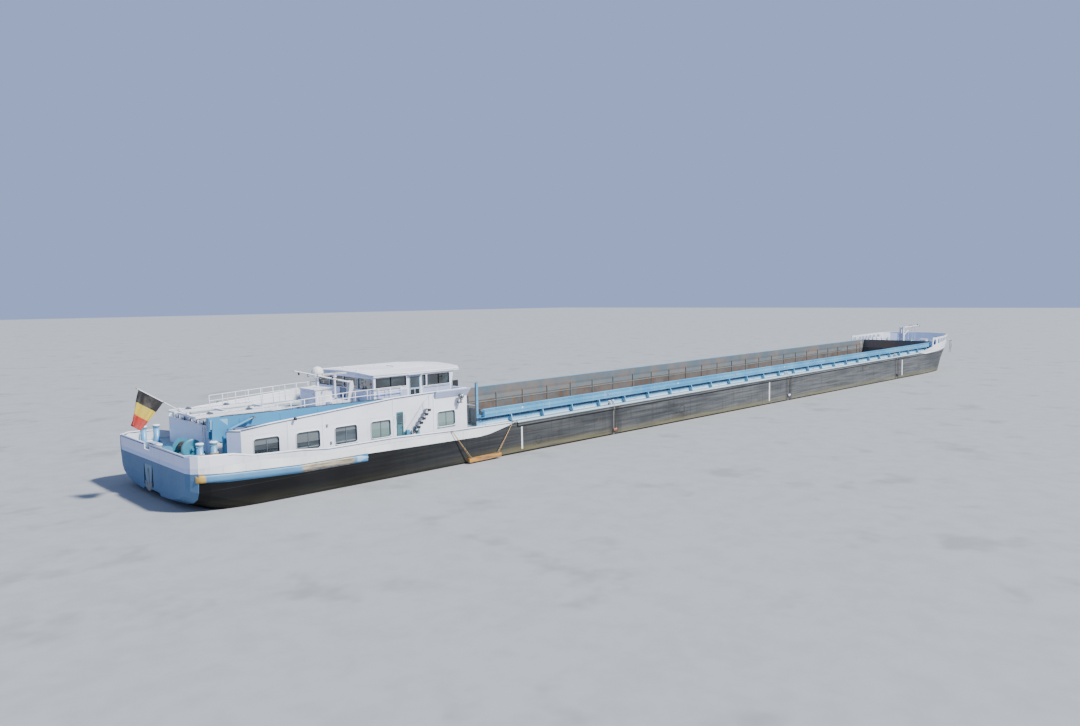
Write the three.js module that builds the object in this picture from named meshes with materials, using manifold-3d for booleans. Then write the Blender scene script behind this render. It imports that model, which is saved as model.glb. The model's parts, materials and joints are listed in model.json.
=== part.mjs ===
// River barge, a self-propelled container vessel for inland waterways, at a scale of 1:10.
// Units are millimetres, so one millimetre stands for one real centimetre.
// The origin is at the middle of the flat bottom. +X points to the bow, +Y to port, +Z up.
import * as THREE from 'three';
import { mergeVertices } from 'three/addons/utils/BufferGeometryUtils.js';
import Module from 'manifold-3d';

const wasm = await Module();
wasm.setup();

// Driving dimensions of the vessel.
const LENGTH = 11000;
const BEAM = 1145;
const DEPTH = 370;
const GAP = 0.3;
const HALF_BEAM = BEAM / 2;
const SIDE = HALF_BEAM - 7;

// Cargo hold and its coaming.
const HOLD_AFT = 1945;
const HOLD_FORE = 10215;
const HOLD_HALF = 500;
const HOLD_FLOOR = 50;
const COAMING_TOP = 110;
const COAMING_WALL = 5;
const FLANGE_OUT = 528;
const FLANGE_BOTTOM = 56;
const STAY_PITCH = 305;

// Deckhouse aft, with the wheelhouse over its forward end.
const HOUSE_AFT = 240;
const HOUSE_FORE = 1810;
const HOUSE_HALF = 500;
const HOUSE_WALL = 6;
const ROOF_TOP = 180;
const ROOF_THICK = 6;
const CABIN_AFT = 1197;
const CABIN_FORE = 1800;
const CABIN_HALF = 355;
const CABIN_FLOOR = 186;
const CABIN_TOP = 375;
const CABIN_WALL = 6;

// Machinery aft, under the water.
const SHAFT_HEIGHT = 110;
const SHAFT_END = 848;
const PROPELLER_AT = 470;

// Lengths along the vessel are given from the transom, heights from the deck edge.
const at = (fromTransom) => fromTransom - LENGTH / 2;
const up = (aboveDeck) => DEPTH + aboveDeck;

// Paints and bare materials.
const paint = (color, roughness, metalness = 0) => new THREE.MeshStandardMaterial({ color, roughness, metalness });
const hullBlack = paint(0x55575a, 0.6);
const white = paint(0xe6e9ec, 0.4);
const coamingBlue = paint(0x63a5c4, 0.5);
const boomBlue = paint(0x3f92bd, 0.4);
const turquoise = paint(0x4fb3bb, 0.45);
const deckGrey = paint(0x8f9aa0, 0.7);
const galvanised = paint(0x9aa0a3, 0.45, 0.8);
const rubber = paint(0x1d1e20, 0.8);
const wood = paint(0xc98a3c, 0.75);
const glassDark = paint(0x26313a, 0.15);
const bronze = paint(0xb08a4a, 0.35, 0.9);
const engineGreen = paint(0x4f6f5a, 0.6);
const flagCloth = paint(0xc9a227, 0.9);
const upholstery = paint(0x2b2c30, 0.8);

// A closed mesh as a solid that can be joined and cut, and back again.
function solid(geometry) {
  const bare = geometry.clone();
  bare.deleteAttribute('normal');
  bare.deleteAttribute('uv');
  const merged = mergeVertices(bare, 1e-4);
  return new wasm.Manifold(new wasm.Mesh({
    numProp: 3,
    vertProperties: new Float32Array(merged.attributes.position.array),
    triVerts: new Uint32Array(merged.index.array),
  }));
}

function surface(manifold) {
  const mesh = manifold.getMesh();
  const geometry = new THREE.BufferGeometry();
  geometry.setAttribute('position', new THREE.BufferAttribute(new Float32Array(mesh.vertProperties), 3));
  geometry.setIndex(new THREE.BufferAttribute(new Uint32Array(mesh.triVerts), 1));
  geometry.computeVertexNormals();
  return geometry;
}

const join = (...pieces) => surface(pieces.map(solid).reduce((sum, next) => sum.add(next)));
const cut = (body, ...tools) => surface(tools.map(solid).reduce((rest, next) => rest.subtract(next), solid(body)));
const meet = (one, other) => surface(solid(one).intersect(solid(other)));

// A block between two corners.
function block(x0, x1, y0, y1, z0, z1) {
  return new THREE.BoxGeometry(x1 - x0, y1 - y0, z1 - z0)
    .translate((x0 + x1) / 2, (y0 + y1) / 2, (z0 + z1) / 2);
}

// An outline from points, and three ways to give it a thickness.
const outline = (points) => new THREE.Shape(points.map(([a, b]) => new THREE.Vector2(a, b)));

function extrudeUp(shape, z0, z1, curveSegments = 3) {
  return new THREE.ExtrudeGeometry(shape, { depth: z1 - z0, bevelEnabled: false, curveSegments }).translate(0, 0, z0);
}

// The outline is drawn in X and Z and runs from y0 to y1.
function extrudeAcross(shape, y0, y1, curveSegments = 3) {
  return new THREE.ExtrudeGeometry(shape, { depth: y1 - y0, bevelEnabled: false, curveSegments })
    .rotateX(Math.PI / 2).translate(0, y1, 0);
}

// The outline is drawn in Y and Z and runs from x0 to x1.
function extrudeAlong(shape, x0, x1, curveSegments = 3) {
  const turn = new THREE.Matrix4().set(0, 0, 1, x0, 1, 0, 0, 0, 0, 1, 0, 0, 0, 0, 0, 1);
  return new THREE.ExtrudeGeometry(shape, { depth: x1 - x0, bevelEnabled: false, curveSegments }).applyMatrix4(turn);
}

// A rectangle with round corners, drawn about its own middle or between two corners.
function roundedRect(a0, b0, a1, b1, r) {
  const s = new THREE.Shape();
  s.moveTo(a0 + r, b0);
  s.lineTo(a1 - r, b0);
  s.absarc(a1 - r, b0 + r, r, -Math.PI / 2, 0);
  s.lineTo(a1, b1 - r);
  s.absarc(a1 - r, b1 - r, r, 0, Math.PI / 2);
  s.lineTo(a0 + r, b1);
  s.absarc(a0 + r, b1 - r, r, Math.PI / 2, Math.PI);
  s.lineTo(a0, b0 + r);
  s.absarc(a0 + r, b0 + r, r, Math.PI, Math.PI * 1.5);
  return s;
}

// A round bar between two points.
function bar(from, to, radius, sides = 8, endRadius = radius) {
  const a = new THREE.Vector3(...from);
  const b = new THREE.Vector3(...to);
  const length = a.distanceTo(b);
  const turn = new THREE.Quaternion().setFromUnitVectors(new THREE.Vector3(0, 1, 0), b.clone().sub(a).normalize());
  return new THREE.CylinderGeometry(endRadius, radius, length, sides)
    .applyQuaternion(turn)
    .translate((a.x + b.x) / 2, (a.y + b.y) / 2, (a.z + b.z) / 2);
}

// A body turned about +Z from a profile of radius and height.
function turned(profile, sides = 16) {
  return new THREE.LatheGeometry(profile.map(([r, z]) => new THREE.Vector2(r, z)), sides).rotateX(Math.PI / 2);
}

// One of a pair: drawn on the port side, and turned over for the starboard side.
const handed = (geometry, side) => surface(solid(geometry).scale([1, side, 1]));

// A skin over rings of equally many points, closed at both ends by fans.
function loft(rings) {
  const count = rings[0].length;
  const vertices = rings.flat(2);
  const indices = [];
  for (let i = 0; i < rings.length - 1; i += 1) {
    for (let j = 0; j < count; j += 1) {
      const a = i * count + j;
      const b = i * count + ((j + 1) % count);
      indices.push(a, b, a + count, b, b + count, a + count);
    }
  }
  const lastRing = (rings.length - 1) * count;
  for (let j = 1; j < count - 1; j += 1) {
    indices.push(0, j + 1, j);
    indices.push(lastRing, lastRing + j, lastRing + j + 1);
  }
  const geometry = new THREE.BufferGeometry();
  geometry.setAttribute('position', new THREE.BufferAttribute(new Float32Array(vertices), 3));
  geometry.setIndex(indices);
  return geometry;
}

const barge = new THREE.Group();
barge.name = 'river_barge';

function piece(name, geometry, material, place = [0, 0, 0], parent = barge) {
  const mesh = new THREE.Mesh(geometry, material);
  mesh.name = name;
  mesh.position.set(...place);
  parent.add(mesh);
  return mesh;
}

// Hull sections from the transom to the stem. Columns: place from the transom, height of the
// bottom, half-breadth of the flat bottom, half-breadth of the side at a quarter of the depth,
// half-breadth at the deck, height of the deck edge, radius of the bilge.
const HULL_SECTIONS = [
  [0, 202, 150, 478, 492, 400, 82],
  [15, 196, 200, 504, 522, 400, 82],
  [45, 186, 280, 530, 546, 400, 80],
  [100, 170, 400, 548, 559, 400, 76],
  [180, 146, 470, 558, 563, 400, 70],
  [380, 96, 509, 563, SIDE, 400, 58],
  [700, 45, 515, SIDE, SIDE, 372, 48],
  [1050, 12, 520, SIDE, SIDE, 370, 45],
  [1300, 0, 520, SIDE, SIDE, 370, 45],
  [9450, 0, 520, SIDE, SIDE, 370, 45],
  [9800, 0, 506, 560, 564, 370, 48],
  [10000, 0, 488, 547, 561, 370, 54],
  [10235, 3, 455, 524, 552, 370, 62],
  [10262, 4, 448, 519, 550, 400, 64],
  [10400, 8, 385, 470, 537, 400, 80],
  [10600, 22, 245, 330, 500, 400, 90],
  [10750, 48, 112, 180, 448, 400, 84],
  [10850, 92, 30, 62, 385, 400, 60],
  [10910, 150, 12, 40, 305, 400, 40],
  [10955, 245, 6, 30, 185, 400, 24],
];

const ARC_STEPS = 4;

// One closed ring of a section, from the bottom on the starboard side round to port.
function hullRing([place, bottom, flat, low, deck, top, bilge]) {
  const half = [[flat, bottom]];
  const rise = Math.min(bilge * 1.1, (top - bottom) * 0.45);
  for (let i = 1; i <= ARC_STEPS; i += 1) {
    const angle = (i / ARC_STEPS) * (Math.PI / 2);
    half.push([flat + (low - flat) * Math.sin(angle), bottom + rise * (1 - Math.cos(angle))]);
  }
  half.push([low + (deck - low) * 0.62, bottom + rise + (top - bottom - rise) * 0.5]);
  half.push([deck, top]);
  const port = half.map(([y, z]) => [at(place), y, z]);
  const starboard = half.map(([y, z]) => [at(place), -y, z]).reverse();
  return [...port, ...starboard];
}

// Hull: outer skin, less the hold, the engine room, the propeller tunnel and the lift well.
const TUNNEL_HALF = 150;
const TUNNEL_TOP = 235;
const ENGINE_ROOM = { aft: 960, fore: 1440, half: 360, floor: 60 };
const LIFT_AT = 1520;
const LIFT_HALF = 28;
const WELL_HALF = LIFT_HALF + 6;

function tunnel() {
  const side = new THREE.Shape();
  side.moveTo(at(-20), -20);
  side.lineTo(at(-20), TUNNEL_TOP - 20);
  side.quadraticCurveTo(at(280), TUNNEL_TOP, at(560), TUNNEL_TOP - 8);
  side.quadraticCurveTo(at(760), TUNNEL_TOP - 30, at(900), 90);
  side.quadraticCurveTo(at(1000), 10, at(1120), -20);
  const arch = new THREE.Shape();
  arch.moveTo(-TUNNEL_HALF, -30);
  arch.lineTo(TUNNEL_HALF, -30);
  arch.lineTo(TUNNEL_HALF, TUNNEL_TOP - 90);
  arch.absarc(TUNNEL_HALF - 90, TUNNEL_TOP - 90, 90, 0, Math.PI / 2);
  arch.lineTo(-TUNNEL_HALF + 90, TUNNEL_TOP);
  arch.absarc(-TUNNEL_HALF + 90, TUNNEL_TOP - 90, 90, Math.PI / 2, Math.PI);
  return meet(extrudeAcross(side, -TUNNEL_HALF - 5, TUNNEL_HALF + 5), extrudeAlong(arch, at(-30), at(1150)));
}

const skin = loft(HULL_SECTIONS.map(hullRing));
const holdCut = extrudeUp(roundedRect(at(HOLD_AFT), -HOLD_HALF, at(HOLD_FORE), HOLD_HALF, 4), HOLD_FLOOR, up(60), 2);
const engineRoomCut = block(at(ENGINE_ROOM.aft), at(ENGINE_ROOM.fore), -ENGINE_ROOM.half, ENGINE_ROOM.half,
  ENGINE_ROOM.floor, up(60));
const liftWell = block(at(LIFT_AT - WELL_HALF), at(LIFT_AT + WELL_HALF), -WELL_HALF, WELL_HALF, 40, up(60));
const anchorPocket = block(at(-10), at(38), -30, 118, up(-140), up(-22));
piece('hull', cut(skin, holdCut, engineRoomCut, tunnel(), liftWell, anchorPocket), hullBlack);

// Main engine, a closed block in the engine room.
piece('main_engine', block(at(980), at(1290), -75, 75, ENGINE_ROOM.floor + GAP, 270), engineGreen);

// Gunwales: a rubbing strake just under the deck edge, a bar along the side deck over it, and the
// twin bollards that stand on the side deck.
const BOLLARD_PLACES = [3210, 5940, 8700];
const GUNWALE_Y = SIDE - 6;

function twinBollard(place) {
  const posts = [-21, 21].map((shift) => turned([
    [0, 0], [8, 0], [8, 27], [10, 30], [10, 35], [0, 36],
  ], 10).translate(at(place) + shift, GUNWALE_Y - 12, up(GAP)));
  const foot = block(at(place) - 36, at(place) + 36, GUNWALE_Y - 24, GUNWALE_Y, up(GAP), up(4));
  return [foot, ...posts];
}

const gunwaleSection = outline([
  [SIDE + GAP, up(-33)], [HALF_BEAM - 3, up(-33)], [HALF_BEAM, up(-30)], [HALF_BEAM, up(-6)], [HALF_BEAM - 4, up(-2)],
  [SIDE + 3, up(7)], [GUNWALE_Y - 5, up(7)], [GUNWALE_Y - 5, up(GAP)], [SIDE + GAP, up(GAP)],
]);
for (const [name, side] of [['gunwale_starboard', -1], ['gunwale_port', 1]]) {
  const whole = join(extrudeAlong(gunwaleSection, at(2200), at(9440)), ...BOLLARD_PLACES.flatMap(twinBollard));
  piece(name, handed(whole, side), hullBlack);
}

// Coamings along the hold: an upright plate with a boxed flange, a stay at every frame, and at the
// aft end the upright post that guides the cargo.
const coamingSection = outline([
  [HOLD_HALF + 1, up(GAP)],
  [HOLD_HALF + 1 + COAMING_WALL, up(GAP)],
  [HOLD_HALF + 1 + COAMING_WALL, up(FLANGE_BOTTOM)],
  [FLANGE_OUT - 2, up(FLANGE_BOTTOM)],
  [FLANGE_OUT, up(FLANGE_BOTTOM + 18)],
  [FLANGE_OUT - 1, up(COAMING_TOP - 8)],
  [FLANGE_OUT - 4, up(COAMING_TOP)],
  [HOLD_HALF + 1, up(COAMING_TOP)],
]);
const COAMING_AFT = HOLD_AFT - 6;
const COAMING_FORE = HOLD_FORE + 6;
const staySide = outline([
  [HOLD_HALF + COAMING_WALL - 2, up(1)],
  [SIDE - 22, up(1)],
  [FLANGE_OUT - 4, up(FLANGE_BOTTOM + 4)],
  [HOLD_HALF + COAMING_WALL - 2, up(FLANGE_BOTTOM + 4)],
]);
for (const [name, side] of [['coaming_starboard', -1], ['coaming_port', 1]]) {
  const parts = [extrudeAlong(coamingSection, at(COAMING_AFT), at(COAMING_FORE))];
  for (let place = HOLD_AFT + 235; place < COAMING_FORE - 60; place += STAY_PITCH) {
    parts.push(extrudeAlong(staySide, at(place) - 2, at(place) + 2));
  }
  parts.push(
    block(at(1888), at(1904), 492, 506, up(GAP), up(290)),
    extrudeAcross(outline([[at(1895), up(2)], [at(1945), up(2)], [at(1945), up(60)], [at(1895), up(90)]]), 501.5, 504.5),
    block(at(1880), at(1928), 486, 512, up(GAP), up(4)),
  );
  piece(name, handed(join(...parts), side), coamingBlue);
}

// Cross coamings at the two ends of the hold. Columns: name, plate's two faces from the transom.
const CROSS_COAMINGS = [
  ['coaming_aft', HOLD_AFT - 8, HOLD_AFT - 3],
  ['coaming_forward', HOLD_FORE + 1, HOLD_FORE + 6],
];
for (const [name, aft, fore] of CROSS_COAMINGS) {
  piece(name, block(at(aft), at(fore), -HOLD_HALF + 0.5, HOLD_HALF - 0.5, up(GAP), up(COAMING_TOP)), coamingBlue);
}

// White bulwark round the stern and along the deckhouse. Rows give place from the transom and
// height of its top over the deck edge at rest.
const STERN_TOP = [
  [-8, 92], [67, 90], [200, 82], [225, 80], [320, 59], [580, 47], [760, 30], [1200, 29], [1640, 12], [2190, 1],
];
const BULWARK_WALL = 7;

function sternOutline(inset) {
  const rows = HULL_SECTIONS.filter(([place]) => place <= 1300);
  const y = (deck) => deck - inset;
  const port = rows.map(([place, , , , deck]) => [at(Math.max(place, inset * 0.8)), y(deck)]);
  port.push([at(2190), y(SIDE)]);
  return outline([...port, ...port.map(([x, v]) => [x, -v]).reverse()]);
}

const bulwarkRing = cut(
  extrudeUp(sternOutline(0), up(1), up(130)),
  extrudeUp(sternOutline(BULWARK_WALL), up(-10), up(140)),
  block(at(2150), at(2300), -SIDE + BULWARK_WALL, SIDE - BULWARK_WALL, up(-20), up(150)),
);
const bulwarkSide = outline([
  ...STERN_TOP.map(([place, top]) => [at(place), up(top)]),
  [at(2190), up(-50)], [at(-8), up(-50)],
].reverse());
const sternDeckTop = outline([
  [at(-30), up(-60)], [at(2300), up(-60)], [at(2300), up(GAP)], [at(1050), up(GAP)],
  [at(700), up(2 + GAP)], [at(380), up(30 + GAP)], [at(-30), up(30 + GAP)],
]);
piece('stern_bulwark', cut(
  meet(bulwarkRing, extrudeAcross(bulwarkSide, -600, 600)),
  extrudeAcross(sternDeckTop, -600, 600),
  block(at(-40), at(60), 4, 84, up(60), up(140)),
), white);

// White bulwark round the bow. Rows of its foot are the hull's own deck line, and its top stands
// further out. Columns: place of the foot, half-breadth, height; place of the top, half-breadth, height.
const BOW_ROWS = [
  [9460, SIDE - 1, 371, 9460, SIDE - 1, 374],
  [9700, SIDE - 1.5, 371, 9702, SIDE, 399],
  [9850, 563, 371, 9854, 565, 418],
  [9922, 562, 371, 9925, 565, 425],
  [9924, 562, 371, 9929, 566, 541],
  [10060, 559, 371, 10070, 563, 537],
  [10235, 552, 371, 10250, 557, 541],
  [10262, 550, 401, 10280, 556, 542],
  [10400, 537, 401, 10430, 543, 547],
  [10600, 500, 401, 10640, 513, 551],
  [10750, 448, 401, 10790, 462, 554],
  [10850, 385, 401, 10890, 392, 556],
  [10910, 305, 401, 10950, 300, 557],
  [10955, 185, 401, 10990, 168, 558],
];
// Openings through the bow bulwark: aft edge, forward edge, foot, top, corner radius.
const BOW_OPENINGS = [
  [9968, 10072, 74, 151, 34],
  [10150, 10210, 88, 153, 12],
  [10250, 10310, 95, 155, 12],
  [10350, 10410, 103, 157, 12],
  [10450, 10510, 111, 159, 12],
  [10550, 10610, 118, 161, 12],
  [10650, 10705, 124, 163, 12],
];

function bowBulwark() {
  const wall = 7;
  const ring = ([fp, fy, fz, tp, ty, tz], towards) => {
    const nx = towards[0] * wall;
    const ny = towards[1] * wall;
    return [
      [at(fp), fy, fz + 1], [at(tp), ty, tz], [at(tp) - nx, ty - ny, tz], [at(fp) - nx, fy - ny, fz + 1],
    ];
  };
  const rings = BOW_ROWS.map((row, i) => {
    const before = BOW_ROWS[Math.max(i - 1, 0)];
    const after = BOW_ROWS[Math.min(i + 1, BOW_ROWS.length - 1)];
    const along = new THREE.Vector2(after[0] - before[0], after[1] - before[1]).normalize();
    return ring(row, [-along.y, along.x]);
  });
  const starboard = rings.map((points) => points.map(([x, y, z]) => [x, -y, z])).reverse();
  return loft([...rings, ...starboard]);
}

// Each bow anchor hangs with its shank through a hawse hole in the bulwark.
const BOW_ANCHOR = { x: at(10882), y: 474, z: up(92) };
const SHANK = [-66, -86, 18];
const hawseHoles = [-1, 1].map((side) => bar(
  [BOW_ANCHOR.x - SHANK[0] * 0.5, side * (BOW_ANCHOR.y - SHANK[1] * 0.5), BOW_ANCHOR.z - SHANK[2] * 0.5],
  [BOW_ANCHOR.x + SHANK[0] * 1.3, side * (BOW_ANCHOR.y + SHANK[1] * 1.3), BOW_ANCHOR.z + SHANK[2] * 1.3], 10, 12));
const bowOpenings = BOW_OPENINGS.map(([aft, fore, foot, top, corner]) => extrudeAcross(
  roundedRect(at(aft), up(foot), at(fore), up(top), corner), -600, 600, 3));
piece('bow_bulwark', cut(bowBulwark(), ...hawseHoles, ...bowOpenings), white);

// Deckhouse walls: one ring with a recess for the crane, windows, door openings and a top edge
// that rises forward.
const RECESS = { fore: 370, port: -240, starboard: -440 };
// The two aft corners are cut off at a slant. The small factors keep the wall's thickness there.
const CORNER = { starboard: 50, port: 48, portFrom: 375 };
const housePlan = (inset) => outline([
  [at(HOUSE_AFT + CORNER.starboard + inset * 0.47), -HOUSE_HALF + inset],
  [at(HOUSE_FORE - inset), -HOUSE_HALF + inset],
  [at(HOUSE_FORE - inset), HOUSE_HALF - inset],
  [at(HOUSE_AFT + CORNER.port + inset * 0.69), HOUSE_HALF - inset],
  [at(HOUSE_AFT + inset), CORNER.portFrom - inset * 0.19],
  [at(HOUSE_AFT + inset), RECESS.port + inset],
  [at(RECESS.fore + inset), RECESS.port + inset],
  [at(RECESS.fore + inset), RECESS.starboard - inset],
  [at(HOUSE_AFT + inset * 2.13), RECESS.starboard - inset],
]);
// The top edge of the wall: place from the transom, height.
const WALL_TOP = [
  [230, 182], [450, 203], [770, 224], [1245, 257], [1500, 263], [1810, 266],
];
// Windows of the deckhouse: aft edge, forward edge, sill, head.
const HOUSE_WINDOWS = [
  [358, 500, 30, 130], [602, 743, 30, 130], [840, 982, 30, 130], [1079, 1215, 30, 131], [1570, 1708, 38, 133],
];
const HOUSE_DOOR = { aft: 1259, fore: 1309, sill: 11, head: 168 };

const wallSide = outline([
  ...WALL_TOP.map(([place, top]) => [at(place), up(top)]).reverse(), [at(230), up(-10)], [at(1812), up(-10)],
]);
const windowTools = [-1, 1].flatMap((side) => {
  const y0 = side * (HOUSE_HALF - 20);
  const y1 = side * (HOUSE_HALF + 20);
  const openings = HOUSE_WINDOWS.map(([aft, fore, sill, head]) => extrudeAcross(
    roundedRect(at(aft), up(sill), at(fore), up(head), 14), Math.min(y0, y1), Math.max(y0, y1), 2));
  const door = block(at(HOUSE_DOOR.aft), at(HOUSE_DOOR.fore), Math.min(y0, y1), Math.max(y0, y1),
    up(HOUSE_DOOR.sill), up(HOUSE_DOOR.head));
  return [...openings, door];
});
const houseRing = cut(extrudeUp(housePlan(0), up(1.5), up(290)), extrudeUp(housePlan(HOUSE_WALL), up(-20), up(300)));
piece('house_walls', cut(
  meet(houseRing, extrudeAcross(wallSide, -600, 600)),
  ...windowTools,
  extrudeAcross(sternDeckTop, -600, 600),
  block(at(200), at(430), -HOUSE_HALF + 3, RECESS.port + 4, up(ROOF_TOP - 4), up(300)),
), white);

// Deckhouse roof, laid inside the walls, with the hatch that the wheelhouse lift comes up through.
piece('house_roof', cut(
  extrudeUp(housePlan(HOUSE_WALL + GAP), up(ROOF_TOP - ROOF_THICK), up(ROOF_TOP)),
  block(at(LIFT_AT - WELL_HALF), at(LIFT_AT + WELL_HALF), -WELL_HALF, WELL_HALF, up(100), up(200)),
), deckGrey);

// Window lining behind the deckhouse walls: a band along both sides, joined across the front.
const LINING_OUT = HOUSE_HALF - HOUSE_WALL - GAP;
piece('house_glazing', cut(
  block(at(340), at(HOUSE_FORE - HOUSE_WALL) - GAP, -LINING_OUT, LINING_OUT, up(22), up(142)),
  block(at(300), at(HOUSE_FORE - HOUSE_WALL) - 4, -LINING_OUT + 4, LINING_OUT - 4, up(10), up(150)),
  block(at(HOUSE_DOOR.aft - 7), at(HOUSE_DOOR.fore + 7), -HOUSE_HALF, HOUSE_HALF, up(10), up(130)),
  extrudeAcross(sternDeckTop, -600, 600),
), glassDark);

// Side doors of the deckhouse, hung at their aft edge.
const DOOR_THICK = 4;
for (const [name, side] of [['house_door_starboard', -1], ['house_door_port', 1]]) {
  const leaf = block(1, HOUSE_DOOR.fore - HOUSE_DOOR.aft - 1, 0.5, 0.5 + DOOR_THICK,
    0, HOUSE_DOOR.head - HOUSE_DOOR.sill - 2);
  piece(name, handed(leaf, -side), turquoise,
    [at(HOUSE_DOOR.aft), side * (HOUSE_HALF + 0.5), up(HOUSE_DOOR.sill + 1)]);
}

// Side stairs from the walkway up to the wheelhouse deck.
for (const [name, side] of [['side_stair_starboard', -1], ['side_stair_port', 1]]) {
  const inner = HOUSE_HALF + 1;
  const outer = HOUSE_HALF + 38;
  const foot = [at(1340), up(2)];
  const head = [at(1486), up(172)];
  const stringer = (y) => extrudeAcross(outline([
    [foot[0] - 6, foot[1]], [foot[0] + 8, foot[1]], [head[0] + 8, head[1]], [head[0] - 6, head[1]],
  ]), y, y + 3);
  const treads = Array.from({ length: 7 }, (unused, i) => {
    const t = (i + 0.6) / 7;
    const x = foot[0] + (head[0] - foot[0]) * t;
    const z = foot[1] + (head[1] - foot[1]) * t;
    return block(x - 13, x + 13, inner + 1, outer - 1, z, z + 3);
  });
  const rail = bar([foot[0], outer - 1.5, up(90)], [head[0], outer - 1.5, up(262)], 2, 6);
  const posts = [0.05, 0.95].map((t) => {
    const x = foot[0] + (head[0] - foot[0]) * t;
    return bar([x, outer - 1.5, foot[1] + (head[1] - foot[1]) * t], [x, outer - 1.5, up(90 + 172 * t)], 2, 6);
  });
  const stair = join(stringer(inner), stringer(outer - 3), ...treads, rail, ...posts);
  piece(name, handed(stair, side), rubber);
}

// Wheelhouse walls with their floor, windows and door openings.
const CABIN_WINDOWS = [
  [1212, 1440, 306, 368], [1562, 1592, 292, 364], [1604, 1784, 292, 364],
];
const CABIN_DOOR = { aft: 1462, fore: 1548, sill: 226, head: 368 };
// The front leans forward over its sill. A side outline of the cabin, moved in by a margin.
const RAKE_FROM = 285;
const RAKE_SLOPE = 0.245;
const rake = (height) => Math.max(0, height - RAKE_FROM) * RAKE_SLOPE;

function cabinSide(margin, low, high) {
  const aft = at(CABIN_AFT + margin);
  const fore = (height) => at(CABIN_FORE - margin + rake(height));
  const corner = low < RAKE_FROM ? [[fore(low), up(low)], [fore(RAKE_FROM), up(RAKE_FROM)]] : [[fore(low), up(low)]];
  return outline([[aft, up(low)], ...corner, [fore(high), up(high)], [aft, up(high)]]);
}

const sideOpenings = [
  ...CABIN_WINDOWS.map(([aft, fore, sill, head]) => roundedRect(at(aft), up(sill), at(fore), up(head), 6)),
  roundedRect(at(CABIN_DOOR.aft), up(CABIN_DOOR.sill), at(CABIN_DOOR.fore), up(CABIN_DOOR.head), 3),
].map((shape) => extrudeAcross(shape, -CABIN_HALF - 20, CABIN_HALF + 20, 1));
const PANE_PITCH = (2 * CABIN_HALF - 20) / 4;
const endOpenings = [0, 1, 2, 3].flatMap((i) => {
  const y0 = -CABIN_HALF + 12 + i * PANE_PITCH;
  const pane = roundedRect(y0, up(296), y0 + PANE_PITCH - 6, up(364), 6);
  return [extrudeAlong(pane, at(CABIN_FORE - 30), at(CABIN_FORE + 60), 1),
    extrudeAlong(pane, at(CABIN_AFT - 30), at(CABIN_AFT + 30), 1)];
});
piece('wheelhouse_walls', cut(
  extrudeAcross(cabinSide(0, CABIN_FLOOR, CABIN_TOP), -CABIN_HALF, CABIN_HALF),
  extrudeAcross(cabinSide(CABIN_WALL, CABIN_FLOOR + CABIN_WALL, CABIN_TOP + 10), -CABIN_HALF + CABIN_WALL,
    CABIN_HALF - CABIN_WALL),
  ...sideOpenings, ...endOpenings,
), white);

// Glazing band just inside the wheelhouse walls, open where the side doors are.
const GLASS_THICK = 3;
piece('wheelhouse_glass', cut(
  extrudeAcross(cabinSide(CABIN_WALL + GAP, 288, 370), -CABIN_HALF + CABIN_WALL + GAP, CABIN_HALF - CABIN_WALL - GAP),
  extrudeAcross(cabinSide(CABIN_WALL + GLASS_THICK, 280, 380), -CABIN_HALF + CABIN_WALL + GLASS_THICK,
    CABIN_HALF - CABIN_WALL - GLASS_THICK),
  block(at(CABIN_DOOR.aft - 4), at(CABIN_DOOR.fore + 4), -CABIN_HALF - 10, CABIN_HALF + 10, up(270), up(362)),
), glassDark);

// Wheelhouse roof with its visor.
const roofPlan = outline([
  [at(CABIN_AFT - 2), -CABIN_HALF - 9], [at(1860), -CABIN_HALF - 9], [at(1925), -CABIN_HALF + 90],
  [at(1950), 0], [at(1925), CABIN_HALF - 90], [at(1860), CABIN_HALF + 9], [at(CABIN_AFT - 2), CABIN_HALF + 9],
]);
const camber = outline([
  [-CABIN_HALF - 12, up(CABIN_TOP + GAP)], [CABIN_HALF + 12, up(CABIN_TOP + GAP)], [CABIN_HALF + 12, up(387)],
  [180, up(398)], [0, up(402)], [-180, up(398)], [-CABIN_HALF - 12, up(387)],
]);
piece('wheelhouse_roof', meet(
  extrudeUp(roofPlan, up(CABIN_TOP - 10), up(CABIN_TOP + 50)),
  extrudeAlong(camber, at(CABIN_AFT - 20), at(1960)),
), white);

// Wheelhouse side doors, hung at their forward edge.
for (const [name, side] of [['wheelhouse_door_starboard', -1], ['wheelhouse_door_port', 1]]) {
  const width = CABIN_DOOR.fore - CABIN_DOOR.aft;
  const leaf = cut(
    block(-width + 1, -1, 0.5, 0.5 + DOOR_THICK, 0, CABIN_DOOR.head - CABIN_DOOR.sill - 2),
    extrudeAcross(roundedRect(-width + 14, 66, -14, 130, 6), -10, 10, 3),
  );
  piece(name, handed(leaf, -side), white,
    [at(CABIN_DOOR.fore), side * (CABIN_HALF + 0.5), up(CABIN_DOOR.sill + 1)]);
}

// Steering console and the skipper's chair, seen through the wheelhouse windows.
piece('helm_console', extrudeAcross(outline([
  [at(1700), up(CABIN_FLOOR + CABIN_WALL + GAP)], [at(1770), up(CABIN_FLOOR + CABIN_WALL + GAP)],
  [at(1770), up(292)], [at(1745), up(298)], [at(1690), up(284)],
]), -150, 150), upholstery);
piece('helm_chair', join(
  bar([at(1630), 0, up(CABIN_FLOOR + CABIN_WALL + GAP)], [at(1630), 0, up(250)], 6, 10),
  block(at(1604), at(1656), -25, 25, up(248), up(262)),
  extrudeAcross(outline([[at(1596), up(256)], [at(1610), up(256)], [at(1600), up(338)], [at(1588), up(338)]]), -24, 24),
), upholstery);

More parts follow.
